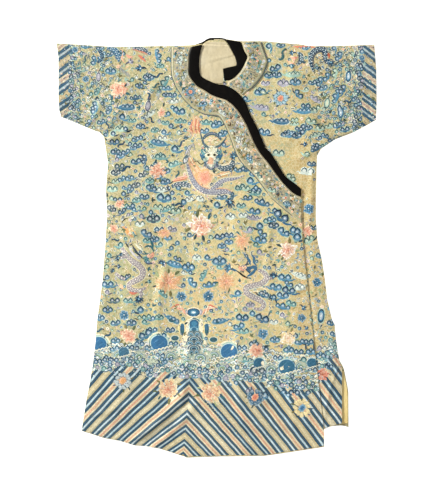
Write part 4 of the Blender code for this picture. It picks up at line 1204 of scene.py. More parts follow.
# ------------------------------------------------------------ dragons
def scaled(w, pts, half, tone=("iron", "lilac", "eye"), size=7.2, lift=0.2, fin=None, fin_side=1, belly=None):
    """A scaled body along a line; scales are small edged half discs in rows."""
    edge, body, light = (COL[c] for c in tone)
    pts = np.array([px(*p) for p in pts])
    half = np.array(half, float) * PX
    size *= LOD["scale"]
    ribbon(w, pts, half * 1.22, [(-1, 0.0, COL["cream"]), (0.0, 1, COL["foam"])], lift - 0.16, 0.12, 5)
    c = ribbon(w, pts, half, [(-1, -0.84, edge * 0.8), (-0.84, 0.0, edge), (0.0, 0.84, edge), (0.84, 1, edge * 0.8)], lift - 0.08, 0.35, 6)
    xy, hw = c[:, :2], c[:, 2]
    s = np.concatenate([[0], np.cumsum(np.hypot(*np.diff(xy, axis=0).T))])
    d = np.gradient(xy, axis=0)
    heading = np.unwrap(np.arctan2(d[:, 1], d[:, 0]))
    row, at_s = 0, size * 0.5
    while at_s < s[-1] - size * 0.4:
        x, y = np.interp(at_s, s, xy[:, 0]), np.interp(at_s, s, xy[:, 1])
        a, h = np.interp(at_s, s, heading), np.interp(at_s, s, hw)
        n = max(1, int(round(2 * h * 0.86 / size)))
        for k in range(n + (row % 2)):
            v = ((k + 0.5 * (1 - row % 2) - n / 2)) * (2 * h * 0.86 / n)
            if abs(v) > h * 0.8:
                continue
            sx, sy = x - v * sin(a), y + v * cos(a)
            lum = vary(blend_col(light, COL["white"], 0.45 if (k + row) % 3 == 0 else 0.1), 0.06)
            fan(w, sx - 0.12 * size * cos(a), sy - 0.12 * size * sin(a), size * 0.6, size * 0.46, a,
                [(0.5, vary(body, 0.16)), (0.86, lum), (1.0, blend_col(edge, body, 0.35))], lift + 0.1, 0.22, 6, -pi / 2, pi / 2)
        at_s += size * 0.74
        row += 1
    if fin:
        fc = COL[fin]
        at_s = size * 0.6
        while at_s < s[-1] - size * 0.6:
            x, y = np.interp(at_s, s, xy[:, 0]), np.interp(at_s, s, xy[:, 1])
            a, h = np.interp(at_s, s, heading), np.interp(at_s, s, hw)
            bx, by = x - fin_side * h * sin(a), y + fin_side * h * cos(a)
            tip = a + fin_side * (pi / 2 + 0.45)
            petal(w, bx, by, tip, -0.3, size * 0.95, size * 0.34, [fc, fc, COL["cream"]], edge=fc * 0.75, skew=0.8, lift=lift - 0.02)
            at_s += size * 0.85
    if belly:
        bc = COL[belly]
        at_s = size * 0.5
        while at_s < s[-1] - size * 0.4:
            x, y = np.interp(at_s, s, xy[:, 0]), np.interp(at_s, s, xy[:, 1])
            a, h = np.interp(at_s, s, heading), np.interp(at_s, s, hw)
            v = -fin_side * h * 1.12
            fan(w, x - v * sin(a), y + v * cos(a), size * 0.4, size * 0.42, a, [(0.6, bc), (1.0, bc * 0.7)], lift, 0.15, 7)
            at_s += size * 0.68


def flame(w, pts, half, c1="coral", c2="orange"):
    p = np.array([px(*q_) for q_ in pts])
    line(w, p, np.array(half) * PX, vary(COL[c1]), 0.1, 0.25, 5)
    line(w, p[1:], np.array(half[1:]) * PX * 0.4, vary(COL[c2]), 0.32, 0.1, 5)


def whisker(w, pts, half, c):
    line(w, [px(*q_) for q_ in pts], np.array(half) * PX, COL[c], 0.16, 0.2, 5)


def talons(w, x, y, turn, r, tone=("navy", "mid", "eye"), n=5, spread=150):
    """A dragon's foot: a round pad and curved claws."""
    x, y = px(x, y)
    r *= PX
    ring, fill, light = (COL[c] for c in tone)
    for k in range(n):
        a = radians(turn + spread * (k / (n - 1) - 0.5))
        sweep = 0.5 if k < n / 2 else -0.5
        p1 = (x + 0.55 * r * cos(a), y + 0.55 * r * sin(a))
        p2 = (x + 0.95 * r * cos(a + 0.12 * sweep), y + 0.95 * r * sin(a + 0.12 * sweep))
        p3 = (x + 1.25 * r * cos(a + 0.5 * sweep), y + 1.25 * r * sin(a + 0.5 * sweep))
        line(w, [(x, y), p1, p2, p3], np.array([0.2, 0.2, 0.15, 0.03]) * r, ring, 0.14, 0.25)
        line(w, [p1, p2, p3], np.array([0.08, 0.08, 0.01]) * r, light, 0.38, 0.08)
    fan(w, x, y, 0.42 * r, 0.38 * r, 0, [(0.5, light), (0.75, fill), (1.0, ring)], 0.28, 0.25, 10)


def main_dragon(w):
    """The forward-facing dragon on the breast."""
    gold, coral = COL["orange"], COL["coral"]
    for k in range(9):  # flames rising behind
        x0 = 190.5 + 1.15 * k
        top_ = 113 + 1.6 * abs(k - 5) + RNG.normal() * 0.8
        flame(w, [(x0 + 1.5, 133.5), (x0 + RNG.normal() * 0.5, 127.5), (x0 + 0.8 + RNG.normal() * 0.5, 121.5), (x0 - 0.4 + RNG.normal(), top_)],
              [0.3, 0.85, 0.7, 0.06], ("peach", "coral", "amber")[k % 3], ("pink", "salmon", "cream")[k % 3])
    flame(w, [(193.5, 136), (190, 131.5), (186.5, 130.5), (184.5, 127.5)], [0.3, 0.8, 0.5, 0.05], "peach", "pink")
    for dx, dy in ((224, 143), (227.5, 148.5), (222.5, 146), (226, 156)):
        flame(w, [(dx, dy), (dx + 3, dy - 2), (dx + 5, dy - 1)], [0.2, 0.8, 0.1], "peach", "pink")
    # the golden breast within the coil, in long strokes of floss
    for k in range(30):  # a band of gold that runs down from the lock of hair
        t = RNG.uniform(0, 1)
        x0, y0 = 188.5 + 3.4 * t + RNG.normal() * 0.5, 158.0 + RNG.normal() * 1.4
        x1, y1 = 196.5 + 6.0 * t + RNG.normal() * 0.6, 173.5 + RNG.normal() * 1.8
        c = COL[("orange", "peach", "amber", "cream", "salmon", "tan")[k % 6]]
        line(w, [px(x0, y0), px(mix(x0, x1, 0.3) - 0.8, mix(y0, y1, 0.34)), px(mix(x0, x1, 0.66) - 0.4, mix(y0, y1, 0.68)), px(x1, y1)],
             np.array([0.1, 0.42, 0.42, 0.06]) * PX, vary(c), 0.1, 0.14, 3)
    x, y = px(203.4, 177.3)
    fan(w, x, y, 11.5 * PX, 10.0 * PX, 0.5, [(0.5, COL["peach"]), (0.8, COL["amber"]), (1.0, blend_col(COL["amber"], COL["cream"], 0.55))], 0.02, 0.1, 20, wobble=0.1)
    x, y = px(204.6, 178.0)
    fan(w, x, y, 6.8 * PX, 7.2 * PX, 0, [(0.3, blend_col(coral, COL["salmon"], 0.5)), (0.65, COL["salmon"]), (0.88, blend_col(COL["salmon"], COL["peach"], 0.6)), (1.0, COL["peach"])], 0.12, 0.16, 20, wobble=0.14)
    for k in range(84):  # long and short stitches that swirl about the heart
        a, r0 = RNG.uniform(0, 2 * pi), 7.6 * sqrt(RNG.uniform(0.0, 1))
        bend = a + pi / 2 + RNG.normal() * 0.6
        d_ = RNG.uniform(0.7, 1.6)
        cx_, cy_ = 204.6 + r0 * cos(a), 178.0 + r0 * sin(a)
        c = COL[("salmon", "coral", "peach", "salmon", "cream", "amber", "peach", "pink")[k % 8]] if r0 > 3 else COL[("coral", "salmon", "peach", "orange")[k % 4]]
        line(w, [px(cx_ - d_ * cos(bend), cy_ - d_ * sin(bend)), px(cx_ + 0.3 * d_ * sin(bend), cy_ - 0.3 * d_ * cos(bend)), px(cx_ + d_ * cos(bend), cy_ + d_ * sin(bend))],
             np.array([0.08, 0.32, 0.06]) * PX, vary(c), 0.34, 0.12, 2)
    for k in range(5):  # the arm of gold that runs out to the right
        line(w, [px(214 + k, 176 + 0.8 * k), px(220, 173 + 1.3 * k), px(227, 170.5 + 1.6 * k), px(235 + k, 169 + 0.6 * k)],
             np.array([0.1, 0.45, 0.4, 0.05]) * PX, vary(COL[("amber", "peach", "cream", "orange", "tan")[k]]), 0.05, 0.14, 3)
    # coils
    coat = ("haze", "plilac", "white")
    scaled(w, [(187.2, 163), (188.6, 168.5), (190.6, 174.5), (193.8, 181.5), (198.6, 187.5), (205, 191), (212, 192.2), (219.5, 191.8), (226, 191.6), (232.5, 194)],
           [1.0, 1.7, 2.1, 2.5, 2.7, 2.8, 2.9, 2.8, 2.3, 1.3], coat, 6.4, fin="cream", fin_side=-1, belly="peach")
    scaled(w, [(210, 191), (215.5, 187.2), (220, 182.6), (226, 180), (233, 179.2), (239, 177.8), (245, 175.4)], [2.0, 2.3, 2.2, 1.8, 1.4, 0.8, 0.3], coat, 6.2, fin="cream", fin_side=1)
    for k in range(12):  # tufts that fly off along the outer side of the coil
        t = k / 11
        x0, y0 = np.interp(t, (0, 0.3, 0.6, 1), (184.6, 187.6, 195.5, 208)), np.interp(t, (0, 0.3, 0.6, 1), (166, 177, 188.6, 195.4))
        whisker(w, [(x0, y0), (x0 - 2.2 + 1.6 * t, y0 - 0.4 + 1.4 * t), (x0 - 3.6 + 3.4 * t, y0 + 1.4 + 1.2 * t)], [0.4, 0.5, 0.06], ("peach", "pink", "cream", "salmon")[k % 4])
    # a lock of hair, netted like a shell, at the top of the coil
    lx, ly = px(185.9, 159.4)
    for m, c in ((1.0, "slate"), (0.8, "white"), (0.62, "lilac"), (0.44, "foam"), (0.26, "ink")):
        fan(w, lx, ly, 5.0 * m * PX, 2.5 * m * PX, radians(64), [(0.8, COL[c]), (1.0, COL[c] * 0.85)], 0.1 + 0.12 * (1 - m), 0.1, 14)
    for k in range(9):
        whisker(w, [(184.4 + k * 0.55, 155.4 - 0.2 * k), (186.2 + k * 0.62, 150.6 - 0.5 * k), (189.2 + k * 0.55, 146.2 - 0.3 * k), (192.4 + k * 0.35, 144.8 + 0.7 * k)],
                [0.1, 0.4, 0.4, 0.06], ("slate", "plilac", "haze", "white", "lilac", "slate", "cream", "lilac", "grey")[k])
    # limbs and feet
    for k in range(4):
        whisker(w, [(190 - k, 176.6 + k * 0.7), (183, 176.5 + k), (177, 178 + k * 0.9), (172.5, 180.6 + k * 0.5)], [0.2, 0.7, 0.6, 0.1], ("pink", "salmon", "peach", "coral")[k])
    scaled(w, [(191, 186), (184, 184.4), (178, 184.6), (171.5, 186.5)], [2.1, 2.5, 2.4, 1.6], ("slate", "lilac", "eye"))
    talons(w, 169.5, 188.0, 200, 3.4)
    scaled(w, [(217.5, 166), (222, 168.6), (227, 168.4), (231.5, 165.5), (233.5, 160.5)], [1.8, 2.6, 2.9, 2.6, 1.6], ("slate", "grey", "eye"), fin="cream")
    whisker(w, [(234.5, 164), (233, 169), (230.6, 174)], [0.8, 0.65, 0.1], "ink")
    talons(w, 234, 156.5, 80, 4.4, ("slate", "slate", "sky"))
    scaled(w, [(229, 191.5), (232, 195.5), (231.5, 200)], [2.0, 1.9, 1.4], ("slate", "mid", "sky"))
    talons(w, 230.5, 202.5, 245, 5.0, ("navy", "mid", "sky"))
    talons(w, 186, 138.8, 95, 3.0, ("slate", "slate", "sky"))
    # mane: pointed locks that fly out round the face
    for side in (-1, 1):
        for k, (a0, r0, r1, hw, c) in enumerate(((62, 5.5, 9.8, 1.0, "slate"), (36, 6.0, 10.8, 1.2, "teal"), (12, 6.2, 11.4, 1.4, "sea"),
                                                 (-12, 6.2, 11.4, 1.4, "mid"), (-36, 6.0, 10.6, 1.1, "teal"), (-58, 5.6, 9.6, 0.9, "slate"))):
            a, b = radians(a0), radians(a0 + 16)
            pts = [(211.3 + side * r * cos(a + (b - a) * u), 155.4 - r * sin(a + (b - a) * u))
                   for r, u in ((r0, 0), (mix(r0, r1, 0.45), 0.1), (mix(r0, r1, 0.8), 0.7), (r1, 1.5))]
            whisker(w, pts, np.array([0.7, 1.0, 0.75, 0.08]) * hw, c)
            whisker(w, pts[1:], np.array([0.42, 0.34, 0.03]) * hw, "sky")
    # lower jaw and the beard's locks
    for k in range(9):
        t = (k - 4) / 4
        whisker(w, [(211.2 + 5.2 * t, 164.2 - 0.9 * t * t), (211.2 + 6.2 * t, 167.4 - 1.6 * t * t), (211.2 + 5.4 * t, 170.6 - 2.6 * t * t)],
                [0.5, 0.75, 0.06], ("slate", "lilac", "dlilac")[k % 3])
    whisker(w, [(204.6, 158), (205.8, 162.6), (206.9, 166.2), (209, 168.6), (211.2, 169.1), (213.3, 168.5), (215.2, 166), (216.4, 162.4), (217.6, 158)], [0.3, 0.7, 0.9, 1.0, 1.05, 1.0, 0.9, 0.7, 0.3], "slate")
    whisker(w, [(205.4, 160), (206.8, 164), (208.4, 167.2), (211.2, 168.4), (213.9, 167.1), (215.4, 164), (216.8, 160)], [0.1, 0.3, 0.42, 0.46, 0.42, 0.3, 0.1], "plilac")
    # face: broad at the brow and tapering to the jaw, in short strokes of floss
    outline = [px(*q_) for q_ in ((211.7, 145.8), (211.6, 149), (211.4, 153), (211.1, 157.5), (211, 162.5), (210.9, 167.8))]
    line(w, outline, np.array([5.0, 8.6, 8.5, 6.7, 5.2, 2.9]) * PX, COL["pteal"], 0.28, 0.3, 4)
    line(w, outline, np.array([4.2, 7.8, 7.7, 6.0, 4.6, 2.3]) * PX, blend_col(COL["pale"], COL["cream"], 0.4), 0.4, 0.3, 4)
    for k in range(110):
        ty = RNG.uniform(146.6, 166.6)
        wide = float(np.interp(ty, (146, 149, 153, 157.5, 162.5, 168), (4.6, 8.4, 8.2, 6.2, 4.8, 2.4)))
        tx = 211.3 + RNG.uniform(-1, 1) * wide
        a = np.arctan2(ty - 158.5, (tx - 211.2) * 1.2) + RNG.normal() * 0.25
        d_ = RNG.uniform(0.6, 1.5)
        c = COL[("foam", "cream", "pteal", "sage", "white", "mist", "yellow", "plilac", "sea", "cream", "wash")[k % 11]]
        line(w, [px(tx - d_ * cos(a), ty - d_ * sin(a)), px(tx, ty), px(tx + d_ * cos(a), ty + d_ * sin(a))], np.array([0.06, 0.3, 0.05]) * PX, vary(c), 0.74, 0.1, 1)
    for sx in (-1, 1):  # ragged cheeks
        for k in range(7):
            y0 = 150.0 + 2.5 * k
            x0 = 211.2 + sx * float(np.interp(y0, (146, 149, 153, 157.5, 162.5, 168), (4.6, 8.8, 8.6, 6.8, 5.3, 2.9)))
            whisker(w, [(x0 - 0.5 * sx, y0 - 1.6), (x0 + 0.6 * sx, y0), (x0 + 1.7 * sx, y0 + 1.9)], [0.4, 0.75, 0.08], ("teal", "slate", "mid", "teal", "slate", "mid", "slate")[k])
    # muzzle: long and broad, over a fanged mouth
    line(w, [px(210.9, 156.6), px(210.7, 159), px(210.8, 161.6), px(210.9, 165)], np.array([1.7, 3.2, 3.6, 2.4]) * PX, COL["peach"], 0.8, 0.3, 4)
    for k in range(26):
        tx, ty = 210.8 + RNG.uniform(-2.8, 2.8), RNG.uniform(157.4, 164.0)
        line(w, [px(tx - 0.5, ty - 0.8), px(tx, ty), px(tx + 0.3, ty + 0.9)], np.array([0.08, 0.34, 0.06]) * PX, vary(COL[("orange", "salmon", "coral", "cream", "peach", "rust")[k % 6]]), 1.1, 0.08, 1)
    for sx in (-1, 1):
        x, y = px(210.9 + 2.2 * sx, 160.3)
        fan(w, x, y, 0.62 * PX, 0.5 * PX, 0, [(1.0, COL["ink"])], 1.12, 0.06, 7)
    whisker(w, [(206.8, 162.6), (209, 164.3), (211, 163.6), (213, 164.3), (215.2, 162.6)], [0.15, 0.5, 0.35, 0.5, 0.15], "rust")
    for dx in (-2.6, -1.2, 1.1, 2.5):
        x, y = px(210.9 + dx, 163.9)
        petal(w, x, y, -pi / 2, 0, (1.7 if abs(dx) > 2 else 1.0) * PX, 0.42 * PX, [COL["white"], COL["white"], COL["cream"]], skew=0.8, lift=1.0)
    for sx in (-1, 1):
        # round black eye on white under a heavy toothed brow
        x, y = px(211.4 + 2.95 * sx, 155.0)
        fan(w, x, y, 1.9 * PX, 1.5 * PX, -0.25 * sx, [(0.86, COL["cream"]), (1.0, COL["sage"])], 0.84, 0.2, 12)
        fan(w, x, y, 1.65 * PX, 1.3 * PX, -0.2 * sx, [(0.8, COL["ink"] * 0.5), (1.0, COL["ink"] * 0.5)], 1.1, 0.2, 10)
        whisker(w, [(211.3 + 0.9 * sx, 153.9), (211.3 + 2.6 * sx, 152.4), (211.3 + 4.8 * sx, 152.5), (211.3 + 6.6 * sx, 154.4)], [0.3, 0.62, 0.6, 0.1], "dteal")
        for k in range(5):
            x0 = 211.3 + (1.6 + 1.1 * k) * sx
            whisker(w, [(x0, 152.6 - 0.2 * (2 - abs(k - 2))), (x0 + 0.5 * sx, 151.0), (x0 + 1.3 * sx, 149.9)], [0.3, 0.34, 0.04], ("teal", "foam")[k % 2])
        # cheek scroll and ear
        curl(w, At(*px(211.3 + 6.5 * sx, 160.2), 0.0, 1.0, sx), 0, 0, 1.5 * PX, (COL["teal"], COL["pteal"], COL["white"], COL["foam"]), 0.1, lift=0.7)
        ax, ay = px(211.2 + 6.6 * sx, 148.8)
        petal(w, ax, ay, pi / 2 - 1.15 * sx, 0, 4.2 * PX, 1.15 * PX, [COL["peach"], COL["salmon"], COL["cream"]], edge=COL["slate"], skew=1.0, lift=0.5)
    for k in range(4):
        x, y = px(211.3, 147.6 + 1.2 * k)
        fan(w, x, y, (2.4 - 0.35 * k) * PX, 0.5 * PX, 0, [(0.6, COL["yellow"]), (1.0, COL["teal"])], 0.8, 0.12, 10)
    # whiskers from the muzzle
    whisker(w, [(206.4, 161), (201, 164.4), (196.6, 161), (192.6, 163.6), (189.6, 161.8)], [0.42, 0.42, 0.38, 0.3, 0.05], "ink")
    whisker(w, [(215.6, 161), (221.4, 164.2), (225.6, 161), (229.4, 163.4)], [0.42, 0.42, 0.35, 0.05], "ink")
    # antlers and the arch between them
    for k in range(44):  # peach and cream stitches under the arch
        a, r0 = RNG.uniform(0, 2 * pi), sqrt(RNG.uniform(0, 1))
        tx, ty = 211.6 + 6.6 * r0 * cos(a), 140.6 + 4.0 * r0 * sin(a)
        c = COL[("cream", "pink", "peach", "white", "salmon", "cream", "yellow")[k % 7]]
        line(w, [px(tx - 1.2, ty + 0.4), px(tx, ty + RNG.normal() * 0.3), px(tx + 1.2, ty + 0.3)], np.array([0.06, 0.38, 0.06]) * PX, vary(c), 0.06, 0.12, 1)
    for pts in (((212, 147.4), (207, 147), (203.4, 143), (201.6, 137.5), (199.6, 130)), ((210.5, 147.4), (216.5, 147.4), (221, 144.8), (224, 141.2), (226.8, 136.8))):
        whisker(w, pts, [1.2, 1.3, 1.1, 0.8, 0.1], "slate")
        whisker(w, pts, [0.6, 0.75, 0.6, 0.4, 0.05], "mid")
        whisker(w, pts[1:4], [0.2, 0.34, 0.1], "sky")
    whisker(w, [(202.8, 139.6), (206, 135.8), (211.5, 133.6), (217, 135.2), (221.2, 140)], [1.0, 1.5, 1.6, 1.5, 0.9], "slate")
    whisker(w, [(203.4, 138.6), (206.4, 135.4), (211.5, 133.4), (216.6, 134.8), (220.6, 139)], [0.5, 0.95, 1.0, 0.95, 0.5], "lilac")
    for k in range(9):
        a = pi * (k + 0.5) / 9
        x, y = px(211.9 + 8.4 * cos(a), 141.4 - 7.9 * sin(a))
        fan(w, x, y, 0.52 * PX, 0.52 * PX, 0, [(0.6, COL["plilac"]), (1.0, COL["dlilac"])], 0.42, 0.15, 7)


def side_head(w, x, y, turn, k, flip, mane="navy", fill="mid"):
    """A dragon's head in profile, facing local -x, k in drawing units."""
    at = At(*px(x, y), turn, k * PX, flip)

    def stroke(pts, hw, c, lift=0.16):
        p = np.array(pts, float)
        line(w, np.column_stack(at(p[:, 0], p[:, 1])), np.array(hw) * k * PX, COL[c], lift, 0.22, 5)

    for j in range(6):  # mane
        a = 0.5 - 0.38 * j
        stroke([(2.2, 0.6 - 0.25 * j), (4.6, 1.8 * a + 0.3), (6.8, 3.2 * a + 0.7), (8.4, 4.2 * a - 0.2)], [0.7, 0.8, 0.55, 0.05], mane if j % 2 else fill)
    stroke([(0.8, 2.4), (2.6, 4.6), (2.4, 6.6), (3.8, 8.2)], [0.7, 0.7, 0.5, 0.05], mane)
    stroke([(1.8, 3.6), (4.2, 4.4), (5.2, 5.8)], [0.5, 0.45, 0.05], mane)
    cx, cy = at(0.6, 0.4)
    fan(w, cx, cy, 3.1 * k * PX, 2.5 * k * PX, at.turn, [(0.55, COL["peach"]), (0.85, COL["pink"]), (1.0, COL["slate"])], 0.22, 0.35, 14)
    cx, cy = at(-2.6, -0.3)
    fan(w, cx, cy, 2.5 * k * PX, 1.35 * k * PX, at.turn + 0.12 * flip, [(0.5, COL["salmon"]), (0.85, COL["peach"]), (1.0, COL["rust"])], 0.34, 0.3, 12)
    stroke([(-4.6, -1.2), (-2.6, -2.4), (0.2, -2.6), (2.0, -1.4)], [0.4, 0.7, 0.7, 0.3], "salmon")
    for j in range(3):
        stroke([(-1.6 + 1.3 * j, -2.8), (-1.9 + 1.3 * j, -4.4), (-1.2 + 1.3 * j, -5.6)], [0.45, 0.35, 0.05], mane)
    cx, cy = at(-0.2, 1.15)
    fan(w, cx, cy, 0.95 * k * PX, 0.8 * k * PX, 0, [(0.55, COL["ink"]), (0.8, COL["white"]), (1.0, COL["slate"])], 0.6, 0.2, 10)
    stroke([(-1.6, 1.9), (-0.2, 2.5), (1.4, 2.1)], [0.2, 0.4, 0.2], mane, 0.5)
    stroke([(-4.2, 0.6), (-6.4, 2.2), (-8.6, 1.0), (-10.2, 2.0)], [0.4, 0.4, 0.3, 0.05], mane, 0.4)
    cx, cy = at(-4.2, 0.5)
    fan(w, cx, cy, 0.8 * k * PX, 0.7 * k * PX, 0, [(0.5, COL["rust"]), (1.0, COL["coral"])], 0.5, 0.2, 9)


def left_dragon(w):
    scaled(w, [(121.5, 247), (126, 254), (132, 260.5), (139, 265.5), (143, 271), (141.5, 277), (135, 281), (129.5, 284.5), (131, 289), (138, 290.5), (146, 288)],
           [1.5, 2.2, 2.6, 2.8, 2.8, 2.7, 2.6, 2.5, 2.3, 1.9, 1.0], ("ash", "shell", "white"), fin="buff", fin_side=1, size=6.6)
    whisker(w, [(125.6, 242.3), (127.4, 245.5), (130, 248.5)], [0.3, 0.9, 0.2], "ink")
    whisker(w, [(132.4, 245), (135, 250), (139, 254.5), (143.5, 259)], [0.3, 1.1, 1.0, 0.2], "deep")
    whisker(w, [(128.5, 246), (131.5, 251.5), (136, 256.5), (141, 260.5)], [0.2, 0.9, 0.8, 0.1], "plilac")
    whisker(w, [(135, 243.5), (139, 247.5), (143.5, 251.5)], [0.2, 0.9, 0.2], "pale")
    side_head(w, 150, 255.5, radians(35), 0.95, -1, "teal", "sea")
    for p, h in ((((147, 238.5), (150, 240), (152.5, 244), (152.8, 249)), (0.5, 1.3, 1.3, 0.3)), (((144.5, 247.5), (148, 246), (152, 247.5), (153.8, 252)), (0.3, 1.0, 1.0, 0.2))):
        whisker(w, p, h, "teal")
        whisker(w, p, np.array(h) * 0.45, "sky")
    whisker(w, [(144.2, 261.2), (148, 263.6), (152, 263.2), (156.6, 264.4)], [0.3, 0.9, 0.9, 0.1], "dlilac")
    flame(w, [(129, 291.5), (133, 293.3), (138, 292.5)], [0.3, 1.3, 0.2], "coral", "salmon")
    flame(w, [(120.5, 284), (122, 287.5), (121, 291)], [0.3, 1.6, 0.2], "peach", "orange")
    flame(w, [(121, 226), (126, 229), (129, 234), (134, 237.5)], [0.3, 1.6, 1.5, 0.2], "orange", "rust")
    flame(w, [(128, 223.5), (131, 229.5), (135, 232), (137, 236)], [0.2, 1.1, 1.0, 0.1], "tan", "orange")
    whisker(w, [(121.6, 223.5), (123.2, 220.6), (126, 218.6), (128.6, 218.9)], [0.2, 0.55, 0.5, 0.1], "ink")
    # feet
    talons(w, 118.5, 258, 190, 3.4, ("navy", "slate", "sky"))
    talons(w, 113.5, 271, 150, 2.9, ("navy", "slate", "sky"))
    scaled(w, [(129, 256), (124, 257), (120, 258)], [1.8, 1.6, 1.3], ("ash", "pale", "white"))
    scaled(w, [(126, 279), (120, 277), (115.5, 273)], [1.8, 1.7, 1.2], ("ash", "pale", "white"))
    talons(w, 139, 299, 300, 4.0, ("navy", "mid", "sky"))
    scaled(w, [(139.5, 290), (141.5, 294), (139.5, 297.5)], [1.6, 1.6, 1.2], ("ash", "pale", "white"))
    talons(w, 161.5, 263, 110, 3.4, ("navy", "mid", "sky"))
    talons(w, 170, 263.5, 60, 2.6, ("navy", "mid", "sky"))


def right_dragon(w):
    scaled(w, [(258, 270), (264, 273), (266, 278.5), (261, 283.5), (253, 285.5), (246.5, 287.5), (246.5, 292.5), (252, 296.5), (259, 300), (263.5, 304.5), (260, 309), (252.5, 308)],
           [1.3, 2.2, 2.6, 2.7, 2.7, 2.6, 2.5, 2.6, 2.5, 2.2, 1.8, 0.9], ("ash", "shell", "white"), fin="buff", fin_side=-1, size=6.6)
    side_head(w, 243.5, 267.6, radians(-12), 1.0, 1, "navy", "mid")
    for p, h in ((((246, 257), (249, 260.5), (250.5, 265)), (0.3, 1.4, 0.3)), (((243, 252), (245.5, 256), (249, 258)), (0.1, 0.9, 0.4)),
                 (((251, 254), (253.8, 257.5), (254, 262.5), (257, 266)), (0.2, 1.1, 1.0, 0.2)), (((250, 270), (252, 267.4), (255.5, 267.3), (256.8, 270.5)), (0.3, 1.6, 1.4, 0.4)),
                 (((247, 276.5), (251, 274), (254.5, 270.5), (255.8, 265.5)), (0.4, 1.3, 1.2, 0.2))):
        whisker(w, p, h, "mid")
        whisker(w, p, np.array(h) * 0.4, "sky")
    for ex, ey in ((240.9, 266.4), (244.0, 268.4)):
        x, y = px(ex, ey)
        fan(w, x, y, 0.95 * PX, 0.85 * PX, 0, [(0.6, COL["ink"]), (1.0, COL["cream"])], 0.7, 0.2, 10)
    whisker(w, [(235.5, 269.8), (240, 273.2), (245, 276.8), (251, 278.8)], [0.1, 0.8, 0.8, 0.1], "ink")
    talons(w, 229.5, 268.3, 160, 4.4, ("mid", "blue", "sky"))
    whisker(w, [(231.5, 269), (235, 270.2), (238, 271.5)], [1.2, 0.9, 0.3], "mid")
    talons(w, 273.6, 276.5, 80, 4.2, ("navy", "mid", "sky"))
    scaled(w, [(265, 277), (269, 278), (272.5, 278)], [1.8, 1.6, 1.2], ("ash", "pale", "white"))
    whisker(w, [(274.5, 297.5), (276, 301), (277.2, 304.5)], [0.9, 0.8, 0.1], "navy")
    talons(w, 271.5, 297, 190, 3.4, ("navy", "mid", "sky"))
    whisker(w, [(270.4, 311), (268.8, 314.5), (267.6, 318)], [0.8, 0.6, 0.1], "slate")
    for p in (((252, 288.5), (258, 286.6), (263.5, 288), (267.6, 291)), ((250.5, 291.5), (257, 291), (263, 293), (268, 297))):
        whisker(w, p, [0.2, 0.7, 0.6, 0.1], "cream")


def shoulder_dragons(w):
    scaled(w, [(107, 47.5), (112, 48.6), (116.8, 52), (118.6, 57), (118.8, 62)], [1.2, 2.2, 2.4, 2.2, 0.8], ("mid", "sky", "eye"), fin="mid", fin_side=-1, size=6.8)
    scaled(w, [(98.5, 50), (101.8, 54), (101, 59.5), (97.5, 63)], [1.6, 2.2, 2.0, 0.8], ("navy", "mid", "sky"), fin="sky", fin_side=1, size=6.8)
    scaled(w, [(133, 47), (139, 48.5), (145, 50.5), (149.5, 55)], [1.2, 2.0, 1.8, 0.5], ("slate", "lilac", "eye"), fin="coral", fin_side=-1, size=6.8)
    for k in range(7):
        whisker(w, [(119 + 1.6 * k, 66 + 1.1 * k), (121 + 1.4 * k, 69.5 + 1.1 * k), (120.4 + 1.5 * k, 73 + 0.9 * k)], [0.1, 0.45, 0.1], "grey")
    flame(w, [(120.5, 49), (123, 53), (122, 58), (124.5, 63)], [0.2, 1.3, 1.1, 0.2], "peach", "pink")
    flame(w, [(126, 54), (129, 57), (133.5, 57)], [0.2, 1.2, 0.2], "salmon", "pink")
    flame(w, [(138, 55), (142, 58), (146, 62)], [0.2, 1.4, 0.3], "coral", "salmon")
    scaled(w, [(313.4, 72), (311.2, 65), (310.4, 58), (313, 52.4), (317.6, 49.3), (322.6, 48.9), (325.6, 53), (325, 59), (328, 64)],
           [0.6, 1.6, 2.1, 2.3, 2.4, 2.4, 2.2, 1.8, 0.6], ("navy", "sky", "eye"), fin="navy", fin_side=-1, size=6.8)
    scaled(w, [(297, 65.5), (301.5, 61), (301, 55), (297, 52.4)], [0.8, 1.8, 1.8, 0.6], ("slate", "sky", "eye"), fin="navy", fin_side=1, size=6.8)
    flame(w, [(290, 57), (294, 58.5), (298, 57)], [0.2, 1.5, 0.3], "salmon", "coral")
    flame(w, [(286.5, 60), (290, 63), (295, 64)], [0.2, 1.2, 0.3], "peach", "coral")
    flame(w, [(293, 46.4), (300, 47.2), (308, 46.6), (316, 48)], [0.2, 1.1, 1.2, 0.2], "coral", "salmon")
    flame(w, [(326, 52.5), (328.6, 55), (329, 59)], [0.3, 1.4, 0.2], "rust", "coral")
    talons(w, 331, 62.5, 300, 3.6, ("navy", "mid", "sky"))
    talons(w, 291.5, 67, 90, 3.0, ("teal", "sea", "sky"))


